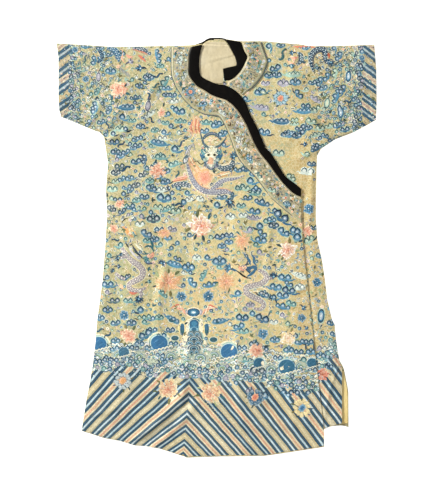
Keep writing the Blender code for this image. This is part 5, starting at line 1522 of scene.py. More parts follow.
# ------------------------------------------------------------ waves
def dome_wave(w, x, y, r, top="blue", sx=1.0):
    """A great disc of water, pale-rimmed, rising behind foam."""
    x, y = px(x, y - 1.0)
    r *= PX * 1.04
    base = COL["cobalt"] if top == "blue" else blend_col(COL["mid"], COL["teal"], 0.3)
    fan(w, x, y, r * 1.3 * sx, r * 1.26, 0, [(0.8, COL["cream"]), (0.9, COL["pteal"]), (1.0, COL["cream"])], 0.04, 0.12, 22, -0.7, pi + 0.7)
    fan(w, x, y, r * sx, r, 0, [(0.4, blend_col(base, COL["mid"], 0.35)), (0.74, base), (0.9, blend_col(base, COL["mid"], 0.5)), (0.96, COL["sky"]), (1.0, COL["foam"])], 0.3, 0.5, 22)
    for k in range(9):  # slanting rows of floss, some lighter and some darker: the floss's run with painted satin sheen
        v = (k - 4) / 5
        h = 0.78 * sqrt(max(0.0, 1 - v * v))
        a = 0.7
        ox, oy = -v * r * sin(a), v * r * cos(a)
        line(w, [(x + (ox - h * r * cos(a)) * sx, y + oy - h * r * sin(a)), (x + ox * sx, y + oy), (x + (ox + h * r * cos(a)) * sx, y + oy + h * r * sin(a))],
             np.array([0.04, 0.09, 0.04]) * r, vary(blend_col(base, COL["sky"] if k % 3 == 0 else COL["deep"], 0.22), 0.05), 0.92, 0.08, 2)
    for k in range(6):
        v = (k - 2.5) * 0.42
        fx, fy = x + r * (v + 0.25) * sx, y - r * 1.06 + r * 0.12 * k
        fan(w, fx, fy, r * 0.3, r * 0.28, 0, [(0.36, COL["lilac"]), (0.62, COL["foam"]), (0.84, COL["cream"]), (1.0, COL["teal"])], 1.0, 0.18, 9, -0.2, pi + 0.2)


def oval(w, x, y, rx, ry, rot=0.0, cols=("mid", "teal", "foam")):
    x, y = px(x, y)
    a, b, c = (COL[k] for k in cols)
    fan(w, x, y, rx * PX, ry * PX, rot, [(0.45, a), (0.78, b), (0.86, a * 0.7), (1.0, c)], 0.14, 0.35, 14)


def rock(w, x, y, width, height, rows=5):
    """A tall rock in netted scales, round-headed, narrow where it meets the foam."""
    bx, by = px(x, y)

    def half_at(t):
        return float(np.interp(t, (0, 0.14, 0.32, 0.6, 0.82, 0.93, 1.0), (0.42, 0.8, 0.98, 0.78, 0.7, 0.56, 0.12))) * width * PX

    levels = (0, 0.14, 0.32, 0.6, 0.82, 0.93, 1.0)
    pts = [(bx, by + t * height * PX) for t in levels]
    hw = np.array([half_at(t) for t in levels])
    line(w, pts, hw * 1.34 + 1.6, COL["cream"], 0.02, 0.12, 5)
    line(w, pts, hw * 1.16 + 0.4, COL["pteal"], 0.08, 0.12, 5)
    line(w, pts, hw, blend_col(COL["slate"], COL["teal"], 0.5), 0.12, 0.3, 5)
    for k in range(rows):  # arched scales in pairs, a dark slit down the middle
        t = 0.0 + 0.62 * k / rows
        h = half_at(t + 0.08)
        dark, mid_ = (COL["navy"], COL["slate"]) if k % 2 else (COL["dteal"], COL["mid"])
        for v in ((-0.46, 0.46) if k % 2 == 0 else (0.0,)):
            fan(w, bx + v * h, by + t * height * PX, h * (0.56 if v else 0.98), height / rows * 0.7 * PX, 0.0,
                [(0.3, dark), (0.42, COL["sky"]), (0.62, mid_), (0.72, COL["foam"]), (0.9, dark), (1.0, COL["mist"])], 0.42 + 0.05 * (rows - k), 0.2, 14, -0.2, pi + 0.2)
    line(w, [(bx, by + 0.12 * height * PX), (bx, by + 0.24 * height * PX), (bx, by + 0.38 * height * PX)], [0.4 * PX, 1.3 * PX, 0.3 * PX], COL["dteal"], 0.9, 0.1, 4)
    for k, (t, rr, a, b, c) in enumerate(((0.66, 0.6, "mid", "sky", "teal"), (0.74, 0.62, "blue", "mid", "sky"), (0.83, 0.6, "blue", "mid", "navy"))):
        fan(w, bx, by + t * height * PX, rr * width * PX, height * 0.13 * PX, 0, [(0.5, COL[a]), (0.8, COL[b]), (0.9, COL[c]), (1.0, COL["foam"])], 0.5 + 0.08 * k, 0.3, 16, -0.4 if k < 2 else -1.2, pi + 0.4 if k < 2 else pi + 1.2)


def blade(w, x, y, width, height, c="mid"):
    """An upright pointed leaf of water with a cream rim."""
    bx, by = px(x, y)
    petal(w, bx, by, pi / 2, 0, height * 1.12 * PX, width * 1.4 * PX, [COL["cream"]] * 5, edge=COL["yellow"], skew=1.0, lift=0.03)
    petal(w, bx, by + 0.4 * PX, pi / 2, 0, height * PX, width * PX, [COL["slate"], COL["teal"], COL[c], COL[c], COL["sea"]], edge=COL["teal"], skew=1.0, lift=0.16)
    line(w, [(bx, by + 0.15 * height * PX), (bx, by + 0.8 * height * PX)], [0.3 * PX, 0.1 * PX], COL["sky"], 0.45, 0.08, 3)


def scallops(w, xs, ys, r, cols, lift=0.08):
    """A row of overlapping foam scales along a line."""
    for x, y in zip(xs, ys):
        x, y = px(x, y)
        rr = r * PX * RNG.uniform(0.8, 1.15)
        a, b, c = (COL[RNG.choice(cols)] for _ in range(3))
        rim, u = (COL["teal"], COL["mid"], COL["slate"])[int(RNG.integers(0, 3))], RNG.random()
        fan(w, x, y, rr, rr, RNG.normal() * 0.2, [(0.34, rim if u < 0.3 else a), (0.62, b), (0.84, COL["eye"] if u > 0.6 else COL["cream"]), (1.0, rim)], lift, 0.24, 8, -0.35, pi + 0.35)


# ------------------------------------------------------------ stripes
STRIPE_CUT = ((-0.088, 0.088, "coral"), (0.106, 0.206, "navy"), (0.209, 0.283, "sky"), (0.286, 0.386, "navy"),
              (0.41, 0.59, "cream"), (0.614, 0.714, "navy"), (0.717, 0.791, "sky"), (0.794, 0.894, "navy"))


def striped(w, slope_at, x_at, y_ref, ks, inside, span, tones_by_k, steps=58):
    """Straight bands at slowly turning slopes, each rail cut where the cloth ends."""
    def rail(kappa):
        x0, a = np.interp(kappa, ks, x_at), radians(np.interp(kappa, ks, slope_at))
        t = np.linspace(-span, span, 900)
        X, Y = x0 + t * cos(a), y_ref + t * sin(a)
        ok = inside(X, Y)
        if not ok.any():
            return None
        runs = np.flatnonzero(np.diff(np.concatenate([[0], ok.astype(int), [0]])))
        lengths = runs[1::2] - runs[::2]
        k = int(np.argmax(lengths))
        i0, i1 = runs[2 * k], runs[2 * k + 1] - 1
        ends = []
        for i, j in ((i0, i0 - 1), (i1, i1 + 1)):
            lo, hi = t[i], t[min(max(j, 0), len(t) - 1)]
            for _ in range(12):
                m = (lo + hi) / 2
                if inside(np.array([x0 + m * cos(a)]), np.array([y_ref + m * sin(a)]))[0]:
                    lo = m
                else:
                    hi = m
            ends.append(lo)
        return x0, a, ends[0], ends[1]

    for k in range(int(np.floor(min(ks))), int(np.ceil(max(ks))) + 1):
        for f0, f1, colour in STRIPE_CUT:
            if k + f1 > max(ks) + 1e-6 or k + f0 < min(ks) - 1e-6:
                continue
            ra, rb = rail(k + f0), rail(k + f1)
            if ra is None or rb is None or ra[3] - ra[2] < 4 or rb[3] - rb[2] < 4:
                continue
            edged = colour == "coral"
            colour = tones_by_k(k, colour)
            # the 0.95 darkens every band a little: painted shade for the creased hem, the cuff bands included
            c = (vary(COL[colour], 0.05) if isinstance(colour, str) else vary(colour, 0.05)) * 0.95
            u = np.array([0.0, 0.25, 0.75, 1.0])
            h = np.array([0.04, 0.24, 0.24, 0.04])
            s = np.linspace(0, 1, steps)
            A = np.stack([ra[0] + mix(ra[2], ra[3], s) * cos(ra[1]), y_ref + mix(ra[2], ra[3], s) * sin(ra[1])], -1)
            B = np.stack([rb[0] + mix(rb[2], rb[3], s) * cos(rb[1]), y_ref + mix(rb[2], rb[3], s) * sin(rb[1])], -1)
            P = A[:, None, :] * (1 - u[None, :, None]) + B[:, None, :] * u[None, :, None]
            qx, qy = P[..., 0], P[..., 1]
            P = np.stack([qx + 0.5 * np.sin(qy / 13 + qx / 29), qy + 0.6 * np.sin(qx / 31 + qy / 37) + 0.35 * np.sin(qx / 8.7 - qy / 15)], -1)
            H = np.broadcast_to(h, (steps, 4))
            length = np.hypot(*(A[-1] - A[0]))
            T = np.stack(np.broadcast_arrays((s * length)[:, None], u[None, :] * 10), -1)
            m = 4
            key = ("s", steps)
            if key not in _rib:
                i = np.arange((steps - 1) * m).reshape(steps - 1, m)[:, :-1]
                _rib[key] = np.stack([i, i + m, i + m + 1, i + 1], -1).reshape(-1, 4)
            V = np.concatenate([P, H[..., None]], -1).reshape(-1, 3)
            q = _rib[key]
            a_, b_, c_ = V[q[0, 0]], V[q[0, 1]], V[q[0, 2]]
            mid = q[len(q) // 2]
            nz = np.cross(V[mid[1]] - V[mid[0]], V[mid[2]] - V[mid[0]])[2]
            if nz < 0:
                q = q[:, ::-1]
            shade = 1 + 0.05 * np.sin(s[:-1] * 17 + k) + 0.03 * RNG.standard_normal(steps - 1)
            across = np.stack([c * 0.84, c * 1.04, c * 0.84])
            if edged:
                across[0] = across[2] = COL["cream"] * (0.8 if steps > 20 else 0.74)
            C = np.clip(across[None, :, :] * shade[:, None, None], 0, 1)
            w.add(V, T.reshape(-1, 2), q, C.reshape(-1, 3))


# ============================================================ the programme
# Clouds read off the robe, a sheet at a time: kind, x, y, turn, radius.
# A sheet's places are in its own fine units, with its corner and scale given.
SHEETS = (
    ((0, 0, 7.259), """
CB 1148 408 -75 3.0;FB 545 362 0 3.6;TB 620 335 0 2.6;TN 728 350 10 2.4;TB 680 440 80 2.9;XB 725 420 60 3.2;TB 804 518 0 3.3
FB 622 575 0 4.0;XT 565 467 0 2.2;JT 620 430 90 3;CT 520 560 70 2.6;FB 510 660 0 3.0;XL 945 450 30 4;XN 1020 497 0 4.6
OT 960 580 0 2.4;TN 1072 556 10 2.8;ON 1052 600 0 2.2;TN 1012 625 -10 2.6;JN 1150 550 40 3.5;CT 1190 605 60 3.4;TB 1205 640 0 2.6
JT 1130 625 50 3;TN 1205 690 0 2.4;TN 1252 690 0 2.7;CN 985 710 5 2.5;ON 980 745 0 2.3;JN 1083 705 80 3.6;LL 716 560 90 3.2
OT 662 683 0 2.4;TT 705 665 60 2.4;OB 572 730 0 2.4;TB 682 770 70 2.9;TB 792 800 65 2.8;JT 750 830 -60 3;TB 540 772 15 3.0
ON 570 797 0 2.0;ON 550 852 0 2.6;TN 640 895 60 2.6;TN 735 885 20 2.6;JN 780 905 -60 3;ON 768 978 90 2.6;ON 822 970 0 2.9
TN 832 1030 0 3.0;JN 878 1048 200 3.4;WB 925 778 0 3.6;OB 888 850 -10 3.6;TT 963 875 0 2.2;TG 872 935 0 2.8;ON 912 938 0 3.0
TN 1020 918 0 2.8;OG 945 987 0 2.4;ON 1022 1000 0 2.9;TB 985 1012 20 2.6;TN 1000 1055 0 2.8;ON 945 1045 0 2.4;TB 968 1075 0 2.2
WB 1150 1035 -10 3.6;TP 1180 1003 0 2.8;OB 1190 960 0 3.2;ON 1242 915 0 3.0;CT 1310 880 0 2.6;XN 1308 918 0 2.8;TT 1200 892 0 2.4
OP 1300 962 0 2.4;OB 1345 945 0 2.2;OB 1222 827 0 3.0;TB 1300 805 -15 3.8;OB 1252 780 0 2.4;LL 1075 770 80 3.6;CP 1085 830 30 2.8
JN 1100 872 -70 3;TP 1265 735 0 2.6;TT 1125 945 10 2.4;OT 1095 1060 0 2.4;OB 1270 1082 0 4.2;JB 1315 1045 60 3.6;TN 860 700 30 2.6
TB 880 390 0 2.6;TN 800 395 20 2.4;OB 870 640 0 2.4;TT 1165 480 0 2.2;TB 1240 430 0 2.6;TB 1268 520 10 2.8;OB 1310 600 0 2.4"""),
    ((216, 0, 7.259), """
OB 383 335 90 3.4;OB 385 440 0 2.4;JT 485 400 80 5;TN 430 495 20 3.4;TN 385 550 0 2.8;TN 440 545 0 3.0;XB 555 385 0 3.2
XB 545 480 0 3.2;WG 560 540 0 3.4;XT 640 560 -40 2.6;TL 360 605 0 2.6;TL 488 606 -5 3.4;TB 575 598 -5 3.4;TB 320 668 10 3.4
OB 212 718 0 3.2;WL 330 780 -10 3.6;OT 345 830 0 2.4;TB 600 685 -50 3.2;OG 655 650 0 2.6;CL 720 720 -30 2.6;TN 650 770 0 2.8
WB 640 805 0 3.4;TG 700 800 -10 3.0;WN 475 880 -3 3.6;TG 570 870 0 2.2;CG 570 900 0 2.0;TG 690 880 -15 3.2;TB 530 975 10 3.4
TN 585 985 0 3;TN 630 940 80 3.2;OP 495 980 0 2.4;TB 350 958 -10 3.6;XN 640 1050 0 3.2;OG 660 1120 -30 3.2;CN 725 1080 30 2.6
CG 720 980 20 2.4;TN 790 985 -20 2.4;TN 840 1020 0 2.4;TB 750 595 70 3.0;TB 800 560 60 3.0;TG 860 530 80 2.8;CB 870 700 75 3.2
TN 915 650 60 3.2;LG 805 750 80 3.6;LB 905 820 85 3.8;JN 955 740 -20 3;LB 960 555 85 3.8;TG 755 930 0 2.8;CG 830 915 15 2.6
TN 880 910 20 2.8;TN 935 940 10 2.8;XN 820 450 -20 3.4;TB 890 410 60 3.2;OB 855 350 90 2.8;ON 900 470 0 2.2;FB 1060 420 0 3.6
TG 455 1110 -5 3.4;TP 665 1242 -5 3.8;TG 545 1290 -40 3.0;TN 700 600 10 2.6;TB 780 640 20 2.6;TN 470 330 0 2.6;TB 655 345 10 2.6"""),
    ((170, 30, 8.713), """
CT 315 808 0 2.8;TB 405 825 20 3.4;TB 460 905 20 3.0;XN 555 1100 10 4.4;OB 700 1315 0 4.0;TT 610 1370 20 3.0;TG 660 1380 0 2.6
TB 750 1400 0 3.2;OB 540 1430 0 2.6;XN 520 1490 -20 4;TT 620 1530 0 2.8;CB 800 1505 -15 3.4;OB 410 1525 0 3.6;ON 20 1420 0 2.8
OB 150 1420 0 3.0;OB 120 1500 30 3.6;TB 300 880 10 2.8;TN 560 1010 10 3.0;OB 470 1000 0 2.8;TN 660 1210 0 3.0;TB 590 1220 -10 2.6"""),
    ((60, 150, 10.05), """
TD 600 163 5 3.0;TD 562 228 0 3.0;JN 650 190 35 4.5;OL 575 95 0 2.6;TN 660 20 20 2.8;OG 710 45 0 2.4;TN 765 115 10 3.2
TN 845 95 80 2.8;JN 815 55 0 2.6;TT 1010 68 0 3.2;TD 835 243 30 3.0;TB 700 285 15 2.8;TG 560 315 0 2.4;TD 765 355 15 2.8
ON 700 365 0 2.4;TN 708 405 30 2.4;ON 640 440 0 3.0;OB 640 380 0 2.2;TG 528 392 0 3.0;OG 518 485 0 2.6;TN 920 385 -20 3.4
TP 1020 400 0 2.8;ON 1130 440 0 3.0;TB 1275 438 -10 3.2;TN 850 470 -5 3.0;TT 770 505 10 2.6;OL 770 425 0 2;TB 1048 482 -8 4.4
OB 1240 520 20 3.8;JN 1180 545 195 3.6;TP 1300 495 10 2.6;TP 1410 490 -20 2.6;TD 520 590 -25 3.0;TN 625 615 30 2.6;TN 710 570 20 2.8
OB 745 598 0 2.6;TT 650 560 0 2.6;OT 850 590 0 2.4;OB 915 625 0 2.6;TG 985 570 0 2.8;CT 1060 600 20 2.6;TG 1110 575 0 2.6
TG 1165 612 0 3.2;OL 820 665 0 2.8;TD 940 692 5 4.0;TP 805 742 0 3.0;OP 1070 712 0 2.4;TB 870 840 -30 3.6;TT 880 910 0 2.6
ON 1300 855 30 2.8;OG 1515 875 20 2.4;TL 1130 795 -20 2.8;OT 1010 950 0 2.8;OB 1180 935 0 2.6;OB 1120 985 0 2.6;JN 560 905 -20 3.0
OT 610 955 0 3.2;OT 495 1060 0 2.6;OG 470 1170 0 2.6;OB 475 1280 0 2.8;TB 480 1350 0 3.6;XN 625 1055 0 3.4;XN 585 1170 0 3.0
TN 650 1280 10 3.0;OD 695 1265 0 2.4;OB 1480 1080 0 3.2;TP 1375 1080 -5 2.6;TN 1180 1090 -20 2.4;TB 1290 1180 0 4.0
WB 1150 1145 -15 3.4;XN 1050 1140 0 3.4;ON 1310 1230 0 2.4;OP 1240 1230 0 2.4;XT 890 1325 20 3.0;CT 1440 1260 60 2.6;TB 1330 1330 -50 3.4
ON 1240 1360 0 2.6;CB 1500 1355 10 3.0;CT 1030 1440 -40 2.6;FB 1220 1470 0 6.0;FB 1490 1470 0 6.4;TT 1141 141 20 3.0;JT 1183 251 60 3.4
TN 560 20 0 3.0;TB 610 60 10 2.6;TB 900 180 10 3.0;ON 960 140 0 2.6;TB 980 260 -10 3.2;TN 1060 210 0 3.0;TT 905 310 0 2.6
TN 1060 320 10 3.0;OB 1190 380 0 3.0;TB 620 290 30 2.6;TN 580 500 0 2.8;TB 1000 800 0 3.0;TN 950 900 10 3.0;TB 1080 880 -10 2.8"""),
    ((216, 150, 10.05), """
JB 20 60 60 4;XN 180 60 20 4.0;TB 365 95 0 3.4;OB 340 320 0 4.2;TT 235 365 10 3.0;OB 400 380 0 2.8;TG 285 395 0 3;TT 395 430 0 3.0
OL 625 415 -30 3.0;TB 775 450 0 2.8;ON 160 440 20 3.0;XN 140 510 10 4.4;ON 15 560 0 3.4;CT 265 565 10 2.8;TN 475 530 -20 3.8
TB 390 615 -10 3.4;ON 590 610 0 3.0;TN 655 665 -35 5.0;TP 145 670 0 3.0;TP 275 655 0 2.6;CL 370 680 0 2.6;OB 440 765 0 3.8
OT 500 715 0 3.0;OL 340 800 0 3.4;TB 465 840 -40 3.2;TB 450 905 -10 3.6;OT 400 950 0 3.0;OL 435 1025 0 3.2;TB 680 825 -35 3.8
OB 775 805 0 4.2;OB 815 820 0 4.2;OB 815 875 0 4.6;TN 40 870 5 3.2;TN 130 855 0 2.8;TB 130 925 0 2.6;TB 60 965 0 2.6
OL 110 1000 0 2.4;JN 105 1050 0 2;TB 35 1120 0 4.2;OT 30 1175 0 2.6;XB 130 1190 -20 4.6;TB 690 1280 -5 3.8;TB 600 1375 -10 3.6
TB 730 1345 -30 2.8;TN 730 1410 -10 4.0;TB 670 1460 -5 3.6;OB 580 1480 0 3.2;XN 575 1270 0 4.0;TN 480 1450 -20 3.2;OB 220 1440 0 3.6
TG 935 900 30 3.4;WP 850 1260 -20 3.2;TP 840 1380 0 3;FB 1015 1330 0 5.4;FB 930 590 0 6.2;TN 290 190 10 3.2;OB 360 240 0 3.0
TB 430 200 0 3.0;TN 480 290 10 3.0;TN 560 340 0 3.0;TB 660 500 10 3.2;TB 560 450 0 3.0;TN 320 480 0 2.8;TB 60 470 0 3.0
TN 720 590 20 3.2;TN 580 760 0 3.2;TB 560 700 -10 2.8;TB 1010 230 0 2.8;TT 1060 330 0 2.6;TN 1020 450 10 2.6;TB 1100 560 0 2.8
TN 1060 700 -10 2.8;TB 1130 800 0 2.8;TT 1040 870 0 2.6;TN 1120 960 10 2.8;TB 1050 1060 0 2.8;TG 1150 1120 0 2.6;TN 980 780 0 2.6
TB 1230 1180 0 2.6;TN 1260 1300 10 2.8;TB 1200 1420 0 2.8;OB 1100 160 0 2.6;TN 960 140 0 2.6"""),
    ((60, 280, 10.05), """
TD 552 205 0 3.0;TT 685 205 0 2.8;XN 790 190 -20 4.0;OL 475 120 0 2.6;OB 810 300 0 3.8;FB 645 350 0 6.0;TT 870 370 10 2.8
OB 935 385 0 2.8;TT 998 375 0 2.6;OT 850 420 0 2.8;OG 800 375 0 2.4;WB 1140 395 -30 3.2;FB 1340 325 0 5.2;JB 400 505 30 3.2
JB 480 555 20 3.4;OB 395 630 0 3.0;TB 860 545 30 4.2;TB 550 690 15 3.0;OB 620 690 0 2.8;OB 680 680 0 2.8;TN 750 680 -10 3.0
OP 650 740 0 2.6;TN 480 800 0 3.2;TN 375 810 -10 3.0;ON 525 800 0 2.8;ON 640 790 0 3.2;TN 740 790 0 3.0;ON 505 850 0 3.0
TB 480 905 10 3;ON 360 760 0 2.6;OT 860 840 0 2.8;OG 940 810 0 2.6;CB 1030 770 -20 3.2;TN 1010 830 0 3.6;TN 910 870 10 2.8
OB 880 930 0 4.0;ON 1230 870 0 3.0;OT 1300 860 0 2.6;OT 1350 870 0 2.6;TN 1270 920 10 2.8;OB 1225 940 0 2.6;TG 1330 750 0 3.0
TB 1430 900 -10 3.2;ON 1480 915 0 2.8;ON 1410 960 0 2.6;OP 1440 830 0 2.4;OP 1160 885 0 2.4;OB 1120 950 0 2.6;TN 480 300 0 3.2
TB 560 430 10 3.0;TN 720 430 0 3.0;TB 400 380 0 3.0;TN 440 660 0 3.0;TB 560 610 0 2.8;TN 700 590 10 3.0;TB 800 640 0 3.0
TN 930 500 0 3.0;TB 1020 560 10 3.0;TN 1110 500 0 2.8;TB 900 680 0 3.0;TN 1060 680 0 2.8;TB 1140 640 0 2.8;TB 1390 620 0 2.8"""),
    ((216, 280, 10.05), """
CB 670 265 -10 3.2;TT 755 235 -20 3.0;XB 875 275 -40 3.4;FB 860 380 0 5.0;XB 905 480 -40 2.6;LB 1055 360 85 4.6;TN 265 375 -5 3.8
TN 465 385 -20 4.2;OB 365 335 0 3.2;OL 290 290 0 2.6;TL 345 250 0 2.6;OL 665 350 0 2.8;WB 30 410 10 3.2;TB 230 465 20 3.4
TT 280 510 0 3.0;OB 275 530 0 2.8;OP 140 440 0 2.4;FB 470 540 0 6.2;OG 720 435 0 2.8;TP 580 420 0 2.6;XL 650 665 0 2.8
OB 135 895 0 3.4;OB 50 935 0 3.2;TN 190 970 10 2.8;TB 335 955 0 2.8;TD 420 910 -5 4.8;TB 535 900 -60 3.2;CT 290 800 0 3.0
CT 400 830 -30 2.6;TT 85 800 0 2.6;OB 485 985 0 3.6;TB 175 1035 10 3.2;TB 590 1030 -5 3.6;TB 700 1000 0 3;TB 780 1010 -10 3.4
TN 870 1020 -10 3.4;TB 690 1055 0 3.2;OT 600 1085 0 2.6;OP 530 1055 0 2.6;TN 785 1130 0 3.6;ON 925 1130 0 3.4;CD 950 1080 5 3.0
TB 700 1140 -30 3.2;OB 490 1160 0 4.6;TL 340 1110 0 2.6;TB 1050 760 0 3.2;ON 1120 770 0 3.2;OL 1040 685 0 2.8;TP 1115 685 0 2.8
OT 880 800 0 3.6;OT 1000 830 0 3;TN 380 640 0 3.0;TB 260 680 0 3.0;TN 480 700 10 3.0;TB 590 600 0 3.0;TN 770 560 0 3.2
TB 840 620 10 3.0;TN 930 620 0 3.0;TB 730 700 0 3.2;TN 830 720 0 3.0;TB 620 780 0 3.0;TN 740 840 0 3.2;TB 820 900 0 3.2
TN 650 900 0 3.0;TB 950 720 0 3.0;TN 970 900 0 3.0;TB 1060 860 0 3.0;TN 1130 870 0 3.0;TB 1180 760 0 2.8;TN 1200 640 0 2.8
TB 1190 540 0 2.8;TN 1160 430 0 2.8"""))


def read_sheets():
    rows = []
    for (ox, oy, scale), text in SHEETS:
        for part in text.replace("\n", ";").split(";"):
            part = part.strip()
            if part:
                kind, x, y, turn, r = part.split()
                rows.append((kind, ox + float(x) / scale, oy + float(y) / scale, float(turn), float(r)))
    # places read twice on neighbouring sheets are kept once
    kept = []
    for row in rows:
        if all(hypot(row[1] - o[1], row[2] - o[2]) > 2.1 for o in kept):
            kept.append(row)
    return kept


CLOUDS = read_sheets() + [
    ("LN", 339.5, 109.5, 92.0, 3.1), ("TG", 316, 108.5, 20.0, 2.6), ("TN", 149.5, 78.0, 12.0, 3.0), ("TB", 94.5, 109.5, 60.0, 3.1), ("LG", 263, 92.5, 160.0, 2.6),
    ("TN", 285.5, 134.5, 5.0, 2.9), ("WB", 291, 133, 8.0, 2.2), ("TN", 299, 129, -6.0, 2.5), ("TN", 308.5, 128, 10.0, 2.5), ("ON", 320, 138, 0.0, 2.5), ("TN", 315, 146.5, 30.0, 2.6)]

FLOWERS = (  # x, y, radius, tone, stretch x, stretch y, leaves
    (118, 90, 7.8, "P", 1.0, 1.0, 5), (157, 171, 7.8, "P", 1.0, 0.95, 5), (201, 226, 10.4, "C", 1.1, 0.95, 6),
    (168, 282, 8.2, "O", 1.55, 1.15, 5), (129, 336, 7.8, "P", 1.0, 0.9, 5), (226, 281.5, 7.6, "O", 1.1, 0.98, 4),
    (287.6, 250.5, 7.6, "C", 1.05, 0.95, 5), (242, 241, 6.6, "O", 1.0, 1.15, 4), (288, 338, 7.2, "Y", 1.05, 0.9, 4),
    (257, 350, 7.4, "P", 1.1, 0.85, 5), (168, 389, 9.6, "H", 1.16, 0.98, 6), (210, 393.5, 9.6, "H", 1.12, 1.05, 6),
    (322.6, 374, 6.4, "K", 1.0, 1.0, 4), (113.7, 228.6, 4.4, "P", 1.0, 0.9, 3), (307.5, 231, 5.4, "P", 1.0, 0.9, 3),
    (164, 233, 5.4, "O", 1.2, 0.9, 3), (120, 204, 4.6, "P", 1.0, 0.9, 3),
    (161.5, 113, 4.2, "P", 0.8, 1.2, 3))
ASTERS = (  # x, y, radius, petals, centre
    (280.5, 98.5, 8.4, "sky", "coral"), (123, 380.6, 10.2, "mist", "orange"), (255, 397, 10.2, "mid", "coral"), (302, 407.7, 10.6, "buff", "cobalt"))
HALF_WAVES = ((159.3, 344.0, 8.3), (99, 345, 7.6), (229, 352.5, 8.2), (286.6, 368, 8.2), (124, 353, 5.2), (259, 364, 5.6),
              (312, 364, 5.2))
OVALS = ((175, 338, 4.4, 2.9), (213.5, 339.5, 4.4, 2.9), (172.5, 320, 4.6, 2.8), (217.5, 321, 4.4, 2.6))

# ------------------------------------------------------------ where each cloth shows
BORDER_POLY = np.array([(c[4], c[5]) for c in COLLAR] + [(c[0], c[1]) for c in reversed(COLLAR)])
RIGHT_BORDER_POLY = np.array([(a[2], a[3]) for a in RIGHT_BORDER] + [(a[0], a[1]) for a in reversed(RIGHT_BAND)])


def in_poly(poly, x, y):
    inside = np.zeros(np.shape(x), bool)
    for (x0, y0), (x1, y1) in zip(poly, np.roll(poly, -1, axis=0)):
        cross = ((y0 > y) != (y1 > y)) & (x < (x1 - x0) * (y - y0) / (y1 - y0 + 1e-12) + x0)
        inside ^= cross
    return inside


def in_left(x, y, rim=0.35):
    ok = (y < along(SHOULDER, x) - rim - 1.2 * (x < -316)) & (y > along(HEM_OUTER, x) + rim)
    body = x > along(LEFT_SIDE, np.minimum(y, 366)) + rim
    sleeve = (x < -314) & (y > along(LEFT_UNDERSIDE, x) + rim) & (x > along(LEFT_CUFF, y) + rim) & (y > 360)
    ok &= (body & ((x > -317) | (y < 366))) | sleeve
    right = np.where(y < 541, along(OVERLAP_EDGE, y), along(LEFT_NECK, y)) - rim
    return ok & (x < right) & ~in_poly(BORDER_POLY, x, y)


def in_right(x, y, rim=0.35):
    left = np.where(y < 541, along(OVERLAP_EDGE, y) - 3, along(INNER_EDGE, y))
    ok = (x > left) & (y < along(SHOULDER, x) - rim - 1.2 * (x > 292)) & (y > along(HEM_INNER, x) + rim)
    body = x < along(RIGHT_SIDE_INNER, np.minimum(y, 306)) - rim
    sleeve = (x > 291) & (y > along(RIGHT_UNDERSIDE, x) + rim) & (x < along(RIGHT_CUFF, y) - rim) & (y > 303)
    ok &= (body & ((x < 293) | (y < 306))) | sleeve
    return ok & ~in_poly(RIGHT_BORDER_POLY, x, y)


def top_left(x, y):
    return outer_mid(x, y) - np.where(x > -315.5, shoulder_drop(x, y), 0) + SHELL / 2


def top_right(x, y):
    return inner_mid(x, y) - np.where(x < 291.8, shoulder_drop(x, y), 0) + SHELL / 2


def in_border(x, y):
    return in_poly(BORDER_MID, x, y)


def border_top(x, y):
    return outer_top(x, y) + BORDER_LIFT + 0.15 + 0.3


def right_border_top(x, y):
    return inner_top(x, y) + BORDER_LIFT + 0.15 + 0.3


BORDER_MID = np.array([(mix(c[2], c[4], 0.93), mix(c[3], c[5], 0.93)) for c in COLLAR]
                      + [(mix(c[2], c[4], 0.06), mix(c[3], c[5], 0.06)) for c in reversed(COLLAR)])
RIGHT_BORDER_MID = np.array([(mix(a[0], a[2], 0.93), mix(a[1], a[3], 0.93)) for a in RIGHT_BORDER]
                            + [(mix(a[0], a[2], 0.06), mix(a[1], a[3], 0.06)) for a in reversed(RIGHT_BORDER)])


def in_back(x, y, rim=0.8):
    ok = (y < along(BACK_TOP, x) - rim) & (y > np.where(np.abs(x) > 316, np.where(x < 0, -1000, -1000), along(HEM_BACK, x) + rim))
    ok &= y > np.where((x > -452) & (x < 441), along(HEM_BACK, x) + rim, -1000)
    left = np.where(y < 366, along(LEFT_SIDE, np.minimum(y, 366)), -1000) + rim
    right = np.where(y < 305, along(RIGHT_SIDE_BACK, np.minimum(y, 305)), 1000) - rim
    ok &= (x > left) & (x < right)
    ls = (x < -316) & (y > 360)
    ok &= ~ls | ((y > along(LEFT_UNDERSIDE, x) + rim) & (x > along(LEFT_CUFF, y) + rim) & (y < along(SHOULDER, x) - 2.6))
    rs = (x > 292) & (y > 300)
    ok &= ~rs | ((y > along(RIGHT_UNDERSIDE, x) + rim) & (x < along(RIGHT_CUFF, y) - rim) & (y < along(SHOULDER, x) - 2.6))
    cx, cy = COLLAR_CENTRE
    collar = (np.hypot((x - cx) / (BACK_BORDER_RADII[0] + 3), (y - cy) / (BACK_BORDER_RADII[1] + 3)) < 1)
    return ok & ~collar


